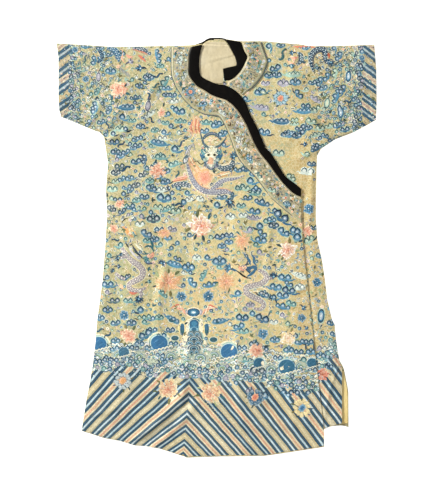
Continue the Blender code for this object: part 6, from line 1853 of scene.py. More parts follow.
def lay(w, name, inside, top, back=False, mirror=False, sink=1.0):
    """Clip what was drawn to its cloth, set it on the cloth and make the mesh."""
    P, T = np.concatenate(w.p), np.concatenate(w.t)
    faces, colours = [], []
    ok = inside(P[:, 0], P[:, 1])
    goal = np.full((len(P), 2), np.nan)
    for fs, cs in ((w.q, w.qc), (w.r, w.rc)):
        if not fs:
            continue
        F, C = np.concatenate(fs), np.concatenate(cs)
        hit = ok[F]
        keep = hit.any(axis=1)
        F, C, hit = F[keep], C[keep], hit[keep]
        cut = ~hit.all(axis=1)
        G, H = F[cut], hit[cut]
        middle = (P[G][..., :2] * H[..., None]).sum(axis=1) / H.sum(axis=1)[:, None]
        for k in range(F.shape[1]):
            out_ = ~H[:, k]
            goal[G[out_, k]] = middle[out_]
        faces.append(F)
        colours.append(C)
    pull = np.flatnonzero(~np.isnan(goal[:, 0]))
    near, far = goal[pull], P[pull, :2].copy()
    for _ in range(7):
        half_way = (near + far) / 2
        good = inside(half_way[:, 0], half_way[:, 1])
        near[good], far[~good] = half_way[good], half_way[~good]
    P[pull, :2] = near
    used = np.zeros(len(P), bool)
    for F in faces:
        used[F.ravel()] = True
    index = np.cumsum(used) - 1
    P, T = P[used], T[used]
    if back:
        z = back_mid(P[:, 0], P[:, 1]) + back_under(P[:, 0], P[:, 1]) * 0.6 - SHELL / 2
        h = np.where(P[:, 2] < 0, -0.12, 0.03 + 0.24 * np.clip(P[:, 2], 0, 1.2) / 1.2)
        P = np.stack([P[:, 0], P[:, 1], np.maximum(z - h, 0.02)], -1)
    else:
        z = top(P[:, 0], P[:, 1])
        P = np.stack([P[:, 0], P[:, 1], z + P[:, 2] * sink + 0.2], -1)
    faces = [index[F] for F in faces]
    # every face turned to look away from the cloth
    out = []
    for F in faces:
        if not len(F):
            out.append(F)
            continue
        a, b, c = P[F[:, 0]], P[F[:, 1]], P[F[:, 2]]
        d = P[F[:, -1]]
        nz = np.cross(b - a, c - a)[:, 2] + np.cross(c - a, d - a)[:, 2]
        wrong = (nz > 0) if back else (nz < 0)
        G = F.copy()
        G[wrong] = F[wrong][:, ::-1]
        out.append(G)
    ob = make_mesh(name, P, out, FLOSS, uv=T, colours=colours)
    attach(ob, "root")
    return ob


# ------------------------------------------------------------ the parts of the programme
def robe_px(x, y):
    """Back from millimetres to the drawing's places."""
    return x * 0.3 + 216.6, 247.15 - y * 0.3


def draw_clouds(w, region=None):
    for kind, x, y, turn, r in CLOUDS:
        X, Y = px(x, y)
        if region is None or region(np.array([X]), np.array([Y]))[0]:
            cloud(w, kind, X, Y, turn, r * 1.04)


def taken_map():
    """Circles already filled, in drawing units."""
    spots = [(x, y, r * (1.9 if k[0] in "TCW" else 1.25)) for k, x, y, _, r in CLOUDS]
    spots += [(x, y, r * max(sx, sy) * 1.15) for x, y, r, _, sx, sy, _ in FLOWERS]
    spots += [(x, y, r) for x, y, r, _, _ in ASTERS]
    spots += [(x, y - r * 0.4, r * 0.9) for x, y, r in HALF_WAVES]
    spots += [(x, y, max(a, b)) for x, y, a, b in OVALS]
    for pts, r in ((((184, 142), (184, 158), (190, 178), (200, 190), (212, 193), (226, 190), (236, 180), (246, 176)), 4.5),
                   (((203, 160), (204, 172), (202, 182)), 8), (((211, 154), (211, 162), (211, 140)), 8),
                   (((178, 184), (170, 188), (222, 168), (233, 158), (231, 201)), 4.5),
                   (((124, 250), (132, 260), (142, 268), (142, 277), (131, 284), (131, 289), (140, 290), (147, 288)), 4.8),
                   (((150, 255), (148, 244), (118, 258), (113, 271), (139, 298), (162, 263), (171, 263)), 4.6),
                   (((258, 270), (266, 278), (258, 284), (247, 288), (248, 294), (258, 300), (263, 304), (256, 309)), 4.8),
                   (((244, 267), (250, 262), (230, 268), (273, 277), (272, 298), (240, 273)), 4.8),
                   (((194, 322), (194, 332), (194, 342)), 6),
                   (((108, 48), (117, 53), (119, 60), (100, 56), (142, 50), (125, 70), (129, 74)), 4),
                   (((313, 60), (318, 50), (325, 56), (300, 57), (296, 52), (331, 63), (291, 67)), 4)):
        spots += [(x, y, r) for x, y in pts]
    return np.array(spots)


def fill_small(w, region, low, high, tries, seed, gap=1.0, sizes=(1.0, 2.2), xr=(55, 378), avoid=None):
    """Small curls, leaves, buds and sprigs between the named motifs."""
    rng = np.random.default_rng(seed)
    spots = taken_map()
    bare = ((262, 108, 8), (264, 121, 6), (272, 136, 7), (281, 145, 8), (290, 150, 7), (300, 150, 6), (284, 160, 7), (292, 164, 9), (288, 174, 7),
            (298, 178, 8), (302, 190, 6), (310, 186, 6), (311, 160, 5), (312, 198, 4), (270, 333, 5), (276, 336, 6), (283, 328, 5))
    sx, sy, sr = (list(spots[:, k]) + [b[k] for b in bare] for k in range(3))
    cell = {}

    def put(i):
        cell.setdefault((int(sx[i] // 16), int(sy[i] // 16)), []).append(i)

    for i in range(len(sx)):
        put(i)
    X = rng.uniform(*xr, tries)
    Y = rng.uniform(low, high, tries)
    R = np.sort(rng.uniform(*sizes, tries))[::-1]
    mmx, mmy = px(X, Y)
    ok = region(mmx, mmy)
    for x, y, r, good in zip(X, Y, R, ok):
        if not good:
            continue
        cx, cy = int(x // 16), int(y // 16)
        clear = True
        for i in (j for a in (-1, 0, 1) for b in (-1, 0, 1) for j in cell.get((cx + a, cy + b), ())):
            if (x - sx[i]) ** 2 + (y - sy[i]) ** 2 < (sr[i] + r * gap) ** 2:
                clear = False
                break
        if not clear:
            continue
        sx.append(x), sy.append(y), sr.append(r)
        put(len(sx) - 1)
        a = rng.uniform(0, 2 * pi)
        u = rng.random()
        px_, py_ = px(x, y)
        R_ = r * PX
        if u < 0.3:
            key = rng.choice(list("NNDBBTTGLP"))
            curl(w, At(px_, py_, rng.normal() * 0.5, 1.0, 1), 0, 0, R_ * 0.86, tones(key), 0.1)
            if rng.random() < 0.5:
                c = COL[rng.choice(["navy", "slate", "teal", "grey"])]
                line(w, [(px_ + R_ * 0.7 * cos(a), py_ - R_ * 0.8), (px_ + R_ * 1.3 * cos(a), py_ - R_ * 0.9), (px_ + R_ * 1.7 * cos(a), py_ - R_ * 0.5)],
                     [R_ * 0.22, R_ * 0.18, 0.1], c, 0.08, 0.15, 2)
        elif u < 0.46:
            tone = rng.choice(["sage", "moss", "teal", "pteal", "olive", "sea", "dteal", "mist", "slate"])
            for da, k in ((0, 2.1), (0.85, 1.7), (-0.85, 1.5))[:int(rng.integers(1, 4))]:
                leaf(w, px_ - R_ * cos(a), py_ - R_ * sin(a), a + da, k * R_, tone)
        elif u < 0.52:
            blossom(w, px_, py_, r * 0.9, rng.choice(["pink", "peach", "blush", "amber", "cream", "rose"]), rng.choice(["yellow", "rust", "mid"]))
        elif u < 0.86:
            c = vary(COL[rng.choice(["navy", "mid", "teal", "slate", "olive", "ink", "grey", "brown", "dteal", "deep"])])
            h = COL[rng.choice(["foam", "cream", "plilac", "pteal", "pale", "mist"])]
            b = rng.choice([-1, 1])
            t = np.array([-1.1, -0.35, 0.4, 1.0])
            ox = np.array([0.25, -0.35, -0.25, 0.5]) * b
            P = [(px_ + R_ * (t_ * cos(a) - o_ * sin(a)), py_ + R_ * (t_ * sin(a) + o_ * cos(a))) for t_, o_ in zip(t, ox)]
            line(w, P, np.array([0.1, 0.5, 0.46, 0.1]) * R_, h, 0.03, 0.1, 2)
            line(w, P, np.array([0.05, 0.26, 0.22, 0.04]) * R_, c, 0.16, 0.16, 2)
        elif u < 0.9:
            sprig(w, px_ - R_ * cos(a), py_ - R_ * sin(a), a, r * 0.8, rng.choice(["dteal", "teal", "moss", "slate"]))
        else:
            c = COL[rng.choice(["pteal", "foam", "eye", "plilac", "pink", "peach"])]
            fan(w, px_, py_, R_ * 0.95, R_ * 0.75, a, [(0.45, vary(c)), (0.72, COL[rng.choice(["slate", "teal", "grey", "olive"])]), (1.0, vary(COL["cream"]))], 0.08, 0.2, 9)
    return len(sx)


LINE_TONES = ("cream", "white", "foam", "mist", "peach", "pteal", "sage", "pink", "lilac", "grey", "olive", "teal", "sea", "amber")


def tendrils(w, region, low, high, n, seed, xr=(55, 378), cols=LINE_TONES, size=1.0, upright=False):
    """Fine couched lines wandering between everything else."""
    rng = np.random.default_rng(seed)
    for _ in range(n):
        x, y = rng.uniform(*xr), rng.uniform(low, high)
        X, Y = px(x, y)
        if not region(np.array([X]), np.array([Y]))[0] or (252 < x < 316 and 92 < y < 206 and 0.95 * (x - 252) + 88 < y < 1.25 * (x - 252) + 132):
            continue
        a, c = (rng.normal(pi / 2, 0.35) if upright else rng.uniform(0, 2 * pi)), COL[rng.choice(list(cols))]
        pts, k = [(X, Y)], rng.uniform(-0.9, 0.9)
        for j in range(3):
            a += k + rng.normal() * 0.35
            X, Y = X + 1.5 * PX * size * cos(a), Y + 1.5 * PX * size * sin(a)
            pts.append((X, Y))
        line(w, pts, np.array([0.1, 0.3, 0.26, 0.06]) * PX * rng.uniform(0.8, 1.5), vary(c), 0.04, 0.16, 2)


def draw_flowers(w, region):
    for x, y, r, tone, sx, sy, leaves in FLOWERS:
        X, Y = px(x, y)
        if region(np.array([X]), np.array([Y]))[0]:
            peony(w, X, Y, r, tone, sx, sy, leaves, RNG.uniform(0, 6))
    for x, y, r, petals, centre in ASTERS:
        X, Y = px(x, y)
        if region(np.array([X]), np.array([Y]))[0]:
            aster(w, X, Y, r, petals, centre, turn=RNG.uniform(0, 1), oval=1.15)


FOAM_TOP = ((60, 343), (90, 342), (120, 346), (150, 345), (194, 346), (230, 348), (262, 352), (300, 356), (322, 358), (346, 352))
FOAM_LOW = ((60, 362), (85, 366), (108, 371), (120, 364), (135, 366), (150, 376), (165, 369), (180, 377), (200, 377), (216, 379),
            (240, 379), (258, 381), (276, 384), (300, 388), (318, 389), (322, 366), (330, 352), (346, 348))


def foam_band(w, seed=5, cols=("foam", "pteal", "sea", "sky", "pale", "plilac", "grey", "cream")):
    rng = np.random.default_rng(seed)
    xs = np.arange(70, 345, 4.3 / LOD["fan"])
    lo, hi = along(FOAM_LOW, xs), along(FOAM_TOP, xs)
    rows = max(6, int(9 * LOD["fan"]))
    for k in range(rows):
        t = k / (rows - 1)
        yy = hi + (lo - hi) * t + rng.normal(0, 0.7, len(xs))
        scallops(w, xs + (k % 2) * 1.9, yy, 2.7, cols, 0.02 + 0.05 * k / rows)
    for x0, y0, r in ((172, 357, 7.5), (200, 359, 8.5), (214, 356, 7.0), (186, 363, 7.0), (237, 360, 8.0), (252, 366, 7.0), (118, 356, 7.0), (138, 357, 7.6),
                      (271, 370, 7.4), (301, 367, 7.2), (153, 364, 7.0), (98, 357, 6.4), (222, 369, 7.2), (84, 358, 5.6), (287, 379, 6.6), (332, 345, 5.4)):
        X, Y = px(x0 + rng.normal() * 0.6, y0)
        for m, c in ((1.0, "wash"), (0.84, "mid"), (0.72, "foam"), (0.6, "sea"), (0.48, "sage"), (0.36, "teal"), (0.22, "eye")):
            fan(w, X, Y, r * m * PX, r * m * 0.92 * PX, rng.normal() * 0.1, [(0.8, COL[c]), (1.0, COL[c] * 0.86)], 0.3 + 0.1 * (1 - m), 0.08, 13, -0.15, pi + 0.15)
    # wave crests: curling lines in cream, teal and blue
    for k in range(5):
        t = (k + 0.5) / 5
        base = hi + (lo - hi) * t
        pts = [(x, y + 1.6 * sin(x * 0.55 + k * 2.0) + 0.9 * sin(x * 0.21 + k)) for x, y in zip(xs[::2], base[::2])]
        p = np.array([px(*q_) for q_ in pts])
        line(w, p, 0.75, COL[("wash", "teal", "sage", "grey", "mid")[k]], 0.2, 0.15, 3)
    for row, (dy, step, r_) in enumerate(((1.4, 6.4, 2.7), (6.6, 7.0, 2.5), (12.0, 9.4, 2.3))):
        for x0 in np.arange(72 + 2.3 * row, 346, step / max(LOD["fan"], 0.6)):
            if rng.random() < 0.12:
                continue
            X, Y = px(x0 + rng.normal() * 0.7, float(along(FOAM_LOW, x0)) - dy + rng.normal() * 0.9)
            key = rng.choice(["N", "B", "N", "T", "L"])
            curl(w, At(X, Y, rng.normal() * 0.4, 1.0, 1 if rng.random() < 0.5 else -1), 0, 0, r_ * PX * rng.uniform(0.85, 1.12), tones(key), rng.normal() * 0.1, lift=0.34 - 0.04 * row)
    for x0 in np.arange(76, 342, 15.0):
        y0 = float(along(FOAM_LOW, x0)) - 0.6
        c = rng.choice(["mid", "blue", "navy", "teal"])
        X, Y = px(x0 + rng.normal(), y0)
        fan(w, X, Y, 4.1 * PX, 2.6 * PX, 0, [(0.3, COL["eye"]), (0.5, COL["sky"]), (0.78, COL[c]), (0.9, COL["cream"]), (1.0, COL["teal"])], 0.16, 0.3, 13)
        fan(w, X + 2.2 * PX, Y + 0.4 * PX, 1.4 * PX, 1.2 * PX, 0, [(0.4, COL["eye"]), (1.0, COL["navy"])], 0.4, 0.2, 9)


def centre_water(w):
    for k in range(10):  # pink vapour over the rock
        side = -1 if k % 2 else 1
        x0 = 194 + side * (7.5 + 1.4 * (k // 2))
        whisker(w, [(x0, 316 - 0.5 * k), (x0 + side * 2.5, 311 - 0.7 * k), (x0 + side * 6.5, 310 - 0.4 * k), (x0 + side * 10.5, 306 + 0.3 * k)],
                [0.2, 0.8, 0.7, 0.1], ("peach", "salmon", "pink", "cream", "coral")[k // 2])
    for x, y, r in HALF_WAVES:
        dome_wave(w, x, y, r, "blue" if r > 7 and x < 240 else "mid", 1.06)
    for x, r in ((181.5, 6.2), (206.5, 6.2), (170, 5.2), (217, 5.2)):
        X, Y = px(x, 353.5)
        for m, c in ((1.0, "pale"), (0.82, "sea"), (0.68, "sage"), (0.5, "pteal"), (0.34, "cream")):
            fan(w, X, Y, r * m * PX, r * m * 1.05 * PX, 0, [(0.8, COL[c]), (1.0, COL[c] * 0.85)], 0.06 + 0.16 * (1 - m), 0.1, 16, -0.1, pi + 0.1)
    rock(w, 194.1, 353.0, 8.6, 35.5)
    blade(w, 182.3, 336, 3.1, 14, "mid")
    blade(w, 206.8, 336, 3.1, 14, "mid")
    for x, y, a, b in OVALS:
        oval(w, x, y, a, b, 0, ("slate", "teal", "foam"))
    X, Y = px(193.5, 312.3)
    fan(w, X, Y, 7.6 * PX, 4.9 * PX, 0, [(0.2, COL["eye"]), (0.36, COL["sky"]), (0.72, COL["mid"]), (0.86, COL["navy"]), (1.0, COL["cream"])], 0.12, 0.4, 18)
    for sx in (-1, 1):
        X, Y = px(194 + sx * 6.5, 312)
        fan(w, X, Y, 2.2 * PX, 2.8 * PX, 0, [(0.5, COL["plilac"]), (1.0, COL["lilac"])], 0.08, 0.2, 10)
    for x in (306, 314, 104, 112, 150, 238):
        whisker(w, [(x, 349.6), (x - 0.4, 344), (x + 0.4, 339)], [0.9, 0.6, 0.05], "navy")


def hem_tones(k, colour):
    if colour == "coral":
        return blend_col(blend_col(COL["salmon"], COL["peach"], (0.35, 0.75, 0.55, 0.85)[k % 4]), blend_col(COL["ash"], COL["tan"], 0.7), 0.34) * 0.9
    if colour == "cream":
        return blend_col(COL["cream"], COL["buff"], (0.4, 0.2, 0.6, 0.35)[k % 4]) * 0.78
    if colour == "navy":
        return blend_col(blend_col(COL["navy"], COL["slate"], (0.2, 0.5, 0.3, 0.45)[k % 4]), COL["mid"], 0.22)
    if colour == "sky":
        return blend_col(COL["sky"], COL["eye"], (0.3, 0.6, 0.4, 0.5)[k % 4]) * 0.95
    return colour


FOAM_LINE = tuple(px(x, y) for x, y in FOAM_LOW)
CENTRE_X = ((-760, -118), (-671, -110), (-579.5, -101), (-469.5, -92), (-300, -78))


def stripes_on(w, inside):
    kl, xl, al = [-4, -3, -2, -1, 0, 1, 2, 3, 4], [-815, -685, -555, -438, -323, -206, -84, 36, 162], [52, 51, 49, 47.6, 44, 40.5, 36.5, 35.5, 34]
    kr, xr_, ar = [-6, -5, -4, -3, -2, -1, 0, 1, 2, 3, 4], [822, 705, 590, 478, 364.7, 252, 148, 56, -49, -144, -238], [-55, -54, -53.5, -53, -53, -52, -50.5, -48.5, -47, -46, -45]

    def below_foam(X, Y):
        return Y < np.interp(X, [p[0] for p in FOAM_LINE], [p[1] for p in FOAM_LINE]) + 3

    def left_arm(X, Y):
        return inside(X, Y) & below_foam(X, Y) & (X < along(CENTRE_X, Y))

    def right_arm(X, Y):
        return inside(X, Y) & below_foam(X, Y) & (X >= along(CENTRE_X, Y))

    striped(w, al, xl, -567, kl, left_arm, 420, hem_tones)
    order = np.argsort(kr)
    striped(w, list(np.array(ar)[order]), list(np.array(xr_)[order]), -635.9, list(np.array(kr)[order]), right_arm, 520, hem_tones)


def cuff_tones(k, colour):
    c = hem_tones(k, colour)
    if colour == "navy":
        return blend_col(c, COL["mid"], 0.25)
    return blend_col(c, COL["tan"], 0.35) * 0.87 if colour == "cream" else blend_col(c, COL["mist"], 0.3) * 0.82


def cuff_stripes(w, side, inside):
    """Slanting bands at the cuffs, with a foam edge of scallops inside them."""
    if side < 0:
        x0, x1, centres, period, slope = 50, 70.5, (13.3, 47.5, 81.5, 115.7, 150), 34.0, 35
    else:
        x0, x1, centres, period, slope = 361.5, 384, (-13, 17.5, 48, 80.6, 111, 142), 31.6, -37
    X0, X1 = (x0 - 216.6) / 0.3, (x1 - 216.6) / 0.3
    xm = (x0 + x1) / 2

    def zone(X, Y):
        wave = 5 * np.sin(Y / 11) + 3 * np.sin(Y / 4.7)
        edge = (X < X1 + wave) if side < 0 else (X > X0 + wave)
        return inside(X, Y) & edge

    ks = list(range(len(centres)))
    x_at = [px(xm, c)[0] for c in centres]
    # rails run through (xm, centre) at the slope: give their x where they cross one level
    y_ref = px(xm, centres[len(centres) // 2])[1]
    a = radians(slope)
    xs_ = []
    for c in centres:
        yc = px(xm, c)[1]
        xs_.append(px(xm, c)[0] + (y_ref - yc) / np.tan(a))
    striped(w, [slope] * len(ks), xs_, y_ref, ks, zone, 700, cuff_tones, steps=12)
    inward = 1 if side < 0 else -1
    edge = x1 if side < 0 else x0
    for k in range(78):
        y = 40 + 96 * (k + 0.5) / 78 + RNG.normal() * 1.2
        dx = abs(RNG.normal()) * 4.6 - 0.6
        X, Y = px(edge + inward * dx, y)
        r_ = RNG.uniform(1.5, 2.9)
        ring, fill, eye, halo = tones(RNG.choice(list("NNBBTDDGL")))
        u = RNG.random()
        if u < 0.6:
            curl(w, At(X, Y, RNG.normal() * 0.9, 1.0, 1 if RNG.random() < 0.5 else -1), 0, 0, r_ * PX, (ring, fill, eye, halo), RNG.normal() * 0.15, lift=0.2)
        elif u < 0.8:
            fan(w, X, Y, r_ * PX * 1.2, r_ * PX * 0.7, RNG.uniform(0, pi), [(0.4, fill), (0.7, ring), (1.0, halo)], 0.12, 0.25, 9)
        else:
            a = RNG.uniform(0, 2 * pi)
            line(w, [(X, Y), (X + 1.2 * r_ * PX * cos(a), Y + 1.2 * r_ * PX * sin(a)), (X + 2.0 * r_ * PX * cos(a + 0.6), Y + 2.0 * r_ * PX * sin(a + 0.6))],
                 [0.4 * PX, 0.5 * PX, 0.05 * PX], fill, 0.14, 0.2, 2)
    for k in range(34):
        X, Y = px(edge + inward * (abs(RNG.normal()) * 6.0 + 0.5), RNG.uniform(42, 134))
        a, d = RNG.uniform(1.1, 2.0), RNG.uniform(1.4, 3.2) * PX
        line(w, [(X, Y - d * sin(a)), (X + RNG.normal() * 1.5, Y), (X + d * cos(a), Y + d * sin(a))], [0.1 * PX, 0.42 * PX, 0.08 * PX],
             vary(COL[RNG.choice(["slate", "teal", "mid", "foam", "navy", "pteal"])]), 0.06, 0.15, 2)


def border_work(w, sections, ia, ib, step=5.2, seed=3, fine=True):
    """Sprays, buds, small curls and twigs along a border."""
    rng = np.random.default_rng(seed)
    s = catmull(sections, 14)
    a, b = s[:, ia:ia + 2], s[:, ib:ib + 2]
    centre = (a + b) / 2
    d = np.concatenate([[0], np.cumsum(np.hypot(*np.diff(centre, axis=0).T))])
    at = 4.0
    row = 0
    while at < d[-1] - 2:
        i = np.interp(at, d, np.arange(len(d)))
        A = np.array([np.interp(i, np.arange(len(d)), a[:, k]) for k in (0, 1)])
        B = np.array([np.interp(i, np.arange(len(d)), b[:, k]) for k in (0, 1)])
        width = np.hypot(*(B - A))
        n = max(3, int(width / step))
        head = atan2(*(B - A)[::-1])
        for k in range(n):
            u = (k + 0.5 + 0.5 * (row % 2) * 0.8) / n
            if not 0.1 < u < 0.86 or rng.random() < 0.1:
                continue
            x, y = A + (B - A) * u + rng.normal(0, 1.2, 2)
            t = rng.random()
            r = step * rng.uniform(0.34, 0.6)
            a_ = rng.uniform(0, 2 * pi)
            if t < 0.2:
                curl(w, At(x, y, head + rng.normal() * 0.5, 1.0, 1), 0, 0, r * 0.9, tones(rng.choice(list("TGPPBLN"))), 0.1)
            elif t < 0.32:
                c = COL[rng.choice(["salmon", "peach", "pink", "coral", "orange", "tan"])]
                fan(w, x, y, r * 0.95, r * 0.8, head, [(0.5, vary(c)), (0.8, c * 0.8), (1.0, COL["cream"])], 0.1, 0.22, 8)
            elif t < 0.6:
                tone = rng.choice(["grey", "teal", "olive", "sea", "brown", "slate", "mist", "moss"])
                for da in (0, 0.9, -0.9)[:int(rng.integers(1, 4))]:
                    leaf(w, x - r * cos(a_), y - r * sin(a_), a_ + da, 2.2 * r, tone)
            elif t < 0.92:
                c = COL[rng.choice(["brown", "slate", "olive", "teal", "grey", "ink", "moss"])]
                line(w, [(x - 1.3 * r * cos(a_), y - 1.3 * r * sin(a_)), (x - 0.3 * r * sin(a_), y + 0.3 * r * cos(a_)), (x + 0.6 * r * sin(a_) + 0.4 * r * cos(a_), y - 0.5 * r * cos(a_)),
                         (x + 1.3 * r * cos(a_), y + 1.2 * r * sin(a_))], np.array([0.06, 0.2, 0.18, 0.05]) * r, vary(c), 0.1, 0.15, 3)
            else:
                blossom(w, x, y, r / PX * 1.05, rng.choice(["cream", "sky", "pink", "plilac"]), "mid")
        at += step * 0.86
        row += 1
    at = 2.0
    while fine and at < d[-1] - 2:
        i = np.interp(at, d, np.arange(len(d)))
        A = np.array([np.interp(i, np.arange(len(d)), a[:, k]) for k in (0, 1)])
        B = np.array([np.interp(i, np.arange(len(d)), b[:, k]) for k in (0, 1)])
        for u in np.arange(0.1, 0.88, 4.4 / max(20, np.hypot(*(B - A)))) + rng.uniform(-0.02, 0.02):
            x, y = A + (B - A) * u + rng.normal(0, 1.0, 2)
            a_, r = rng.uniform(0, 2 * pi), rng.uniform(0.9, 2.1)
            c = vary(COL[rng.choice(["brown", "slate", "olive", "ink", "grey", "moss", "dteal", "iron", "teal", "rust"])], 0.12)
            if rng.random() < 0.55:
                line(w, [(x - r * cos(a_), y - r * sin(a_)), (x + 0.3 * r * sin(a_), y - 0.3 * r * cos(a_)), (x + r * cos(a_), y + r * sin(a_))],
                     [0.16, 0.45, 0.1], c, 0.1, 0.12, 1)
            else:
                fan(w, x, y, r * 0.62, r * 0.5, a_, [(1.0, c)], 0.1, 0.15, 6)
        at += 4.2
    # couched lines along both sides
    for u, c, hw in ((0.04, "teal", 0.6), (0.965, "dteal", 0.7), (0.935, "foam", 0.75), (0.9, "sage", 0.6), (0.075, "cream", 0.5)):
        line(w, (a + (b - a) * u)[::5], hw, COL[c], 0.12, 0.18, 3)
    return s


# ------------------------------------------------------------ the front
for side, region, top in (("left", in_left, top_left), ("right", in_right, top_right)):
    w = Work()
    stripes_on(w, region)
    cuff_stripes(w, -1 if side == "left" else 1, region)
    lay(w, "stripes_" + side, region, top)
    w = Work()
    foam_band(w, 5 if side == "left" else 6)
    lay(w, "foam_" + side, region, top)
    w = Work()
    draw_clouds(w, region)
    lay(w, "clouds_" + side, region, top)
    w = Work()
    draw_flowers(w, region)
    if side == "left":
        centre_water(w)
        left_dragon(w)
        right_dragon(w)
        main_dragon(w)
    else:
        for x, y, r in HALF_WAVES:
            if x > 305:
                dome_wave(w, x, y, r)
    shoulder_dragons(w)
    lay(w, "dragons_" + side, region, top)
    w = Work()
    fill_small(w, region, 38, 346, 15000, 11 if side == "left" else 12, 0.86, (0.85, 2.3))
    fill_small(w, region, 346, 376, 900, 13, 0.8, (0.7, 1.3))
    fill_small(w, region, 38, 132, 420, 14, 0.5, (1.5, 2.4), xr=(76, 112) if side == "left" else (318, 358))
    if side == "left":
        fill_small(w, region, 84, 222, 560, 15, 0.55, (1.4, 2.3), xr=(98, 172))
    lay(w, "fillers_" + side, region, top)
    w = Work()
    tendrils(w, region, 38, 352, 2500, 21)
    tendrils(w, region, 38, 132, 330, 24 if side == "left" else 25, xr=(56, 122) if side == "left" else (316, 378),
             cols=("navy", "teal", "mid", "dteal", "slate", "iron", "moss", "sea", "grey"), size=1.45, upright=True)
    lay(w, "tendrils_" + side, region, top)

# ------------------------------------------------------------ the back
def to_back(x, y):
    return along(BACK_SEAM, y) - (x - along(CENTRE_SEAM, y)), y


def back_region(x, y):
    return in_back(*to_back(x, y))


def lay_back(w, name):
    for k, p in enumerate(w.p):
        bx, by = to_back(p[:, 0], p[:, 1])
        w.p[k] = np.stack([bx, by, p[:, 2]], -1)
    return lay(w, name, in_back, None, back=True)


BACK_CLOUDS = list(CLOUDS)
for row in CLOUDS:
    kind, x, y, turn, r = row
    cx = float(np.interp(y, [45, 100, 155, 250], [214, 214, 211.5, 206]))
    if y < 245 and x < cx - 12:
        other = (kind, 2 * cx - x, y, 180 - turn if kind[0] in "TCWL" else turn, r)
        if all(hypot(other[1] - o[1], other[2] - o[2]) > 5.5 for o in BACK_CLOUDS):
            BACK_CLOUDS.append(other)
for x, y, kind in ((190, 92, "TB"), (198, 101, "TN"), (208, 106, "CB"), (218, 104, "TN"), (229, 98, "TB"), (236, 88, "TN"), (186, 80, "TT"), (241, 76, "TB"), (212, 98.5, "OB")):
    BACK_CLOUDS.append((kind, x, y, 0.0, 2.8))
LOD.update(fan=0.5, line=0.3, scale=2.1)
w = Work()
stripes_on(w, back_region)
cuff_stripes(w, -1, back_region)
cuff_stripes(w, 1, back_region)
lay_back(w, "stripes_back")
w = Work()
foam_band(w, 7)
lay_back(w, "foam_back")
w = Work()
for kind, x, y, turn, r in BACK_CLOUDS:
    X, Y = px(x, y)
    if back_region(np.array([X]), np.array([Y]))[0]:
        cloud(w, kind, X, Y, turn, r * 1.04)
lay_back(w, "clouds_back")
w = Work()
draw_flowers(w, back_region)
centre_water(w)
left_dragon(w)
right_dragon(w)
main_dragon(w)
shoulder_dragons(w)
lay_back(w, "dragons_back")
w = Work()
fill_small(w, back_region, 38, 346, 1500, 31, 1.1, (1.2, 2.4))
lay_back(w, "fillers_back")
w = Work()
tendrils(w, back_region, 38, 352, 600, 22)
lay_back(w, "tendrils_back")
LOD.update(fan=1.0, line=1.0, scale=1.0)

w = Work()
border_work(w, COLLAR, 2, 4, 9.8, 3)
aster(w, *px(190.5, 92), 5.6, "blue", "coral")
for x, y, turn in ((180, 60, 80), (184, 76, 60), (203, 104, 10), (222, 112, -40), (238, 140, -60), (249, 158, -55), (258, 176, -30), (272, 190, -20), (287, 204, -20)):
    cloud(w, RNG.choice(["TB", "TP", "TG", "TB"]), *px(x, y), turn, 2.5)
lay(w, "border_work_front", in_border, border_top)
w = Work()
border_work(w, RIGHT_BORDER, 0, 2, 9.8, 4)
lay(w, "border_work_right", lambda X, Y: in_poly(RIGHT_BORDER_MID, X, Y), right_border_top)
LOD.update(fan=0.66, line=0.5)
w = Work()
border_work(w, [(a, b, c, d) for a, b, c, d in border_back], 0, 2, 9.0, 8, fine=False)
LOD.update(fan=1.0, line=1.0)
BACK_BORDER_MID = np.array([(mix(a, c, 0.93), mix(b, d, 0.93)) for a, b, c, d in border_back]
                           + [(mix(a, c, 0.06), mix(b, d, 0.06)) for a, b, c, d in reversed(border_back)])


def back_border_z(x, y):
    return np.full(np.shape(x), 0.1)


P_all = w.p
w.p = [np.stack([p[:, 0], p[:, 1], np.where(p[:, 2] < 0, 0.05, -0.02 - 0.05 * np.clip(p[:, 2], 0, 1))], -1) for p in P_all]
lay(w, "border_work_back", lambda X, Y: in_poly(BACK_BORDER_MID, X, Y), back_border_z)

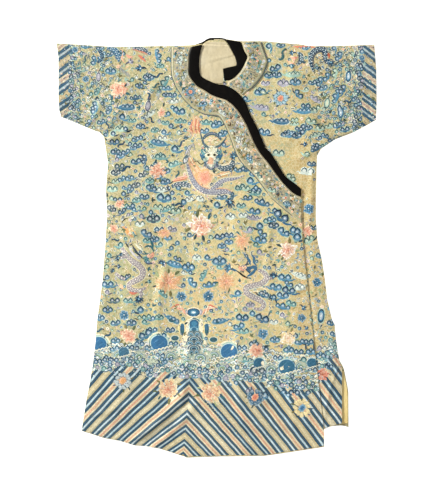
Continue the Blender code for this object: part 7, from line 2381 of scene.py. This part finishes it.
# ============================================================ stage
def make_stage():
    me = bpy.data.meshes.new("floor")
    s = 6.0
    me.from_pydata([(-s, -s, 0), (s, -s, 0), (s, s, 0), (-s, s, 0)], [], [(0, 1, 2, 3)])
    floor = bpy.data.objects.new("floor", me)
    floor.location.z = -0.0004
    bpy.context.scene.collection.objects.link(floor)
    mat, nt, p = new_material("floor_paint")
    p.inputs["Base Color"].default_value = (0.93, 0.93, 0.925, 1)
    p.inputs["Roughness"].default_value = 0.9
    p.inputs["Specular IOR Level"].default_value = 0.1
    p.inputs["Emission Color"].default_value = (1, 1, 1, 1)
    p.inputs["Emission Strength"].default_value = 0.75
    me.materials.append(mat)


make_stage()
scene = bpy.context.scene
scene.view_settings.view_transform = "Standard"
world = bpy.data.worlds.new("studio")
scene.world = world
world.use_nodes = True
world.node_tree.nodes["Background"].inputs["Color"].default_value = (1.0, 0.985, 0.935, 1)
world.node_tree.nodes["Background"].inputs["Strength"].default_value = 0.25


def area_light(name, location, size, watts, aim=(0, 0, 0), colour=(1, 1, 1)):
    from mathutils import Vector
    data = bpy.data.lights.new(name, "AREA")
    data.shape, data.size, data.energy, data.color = "SQUARE", size, watts, colour
    ob = bpy.data.objects.new(name, data)
    ob.location = location
    ob.rotation_euler = (Vector(aim) - Vector(location)).to_track_quat("-Z", "Y").to_euler()
    scene.collection.objects.link(ob)


area_light("key", (-9.4, 5.0, 4.4), 2.0, 2480, aim=(0, -0.1, 0), colour=(1.0, 0.985, 0.94))
area_light("fill", (6.4, -4.4, 5.4), 3.0, 300, aim=(0, -0.2, 0), colour=(1.0, 0.985, 0.955))

DISTANCE = 5.0
VIEW_HEIGHT = 494 / 300.0
cam_data = bpy.data.cameras.new("camera")
cam_data.sensor_fit = "VERTICAL"
cam_data.sensor_height = 36.0
cam_data.lens = 36.0 * DISTANCE / VIEW_HEIGHT
cam = bpy.data.objects.new("camera", cam_data)
cam.location = (-0.002, 0.0005, DISTANCE)
cam.rotation_euler = (0, 0, 0)
scene.collection.objects.link(cam)
scene.camera = cam

# the rest of the CAD nodes keep their shape and take a finish
for name, mat in (("piping_front", CORD), ("piping_right", CORD), ("knot_neck", KNOT), ("knot_shoulder", KNOT)):
    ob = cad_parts[name]
    ob.data.materials.clear()
    ob.data.materials.append(mat)
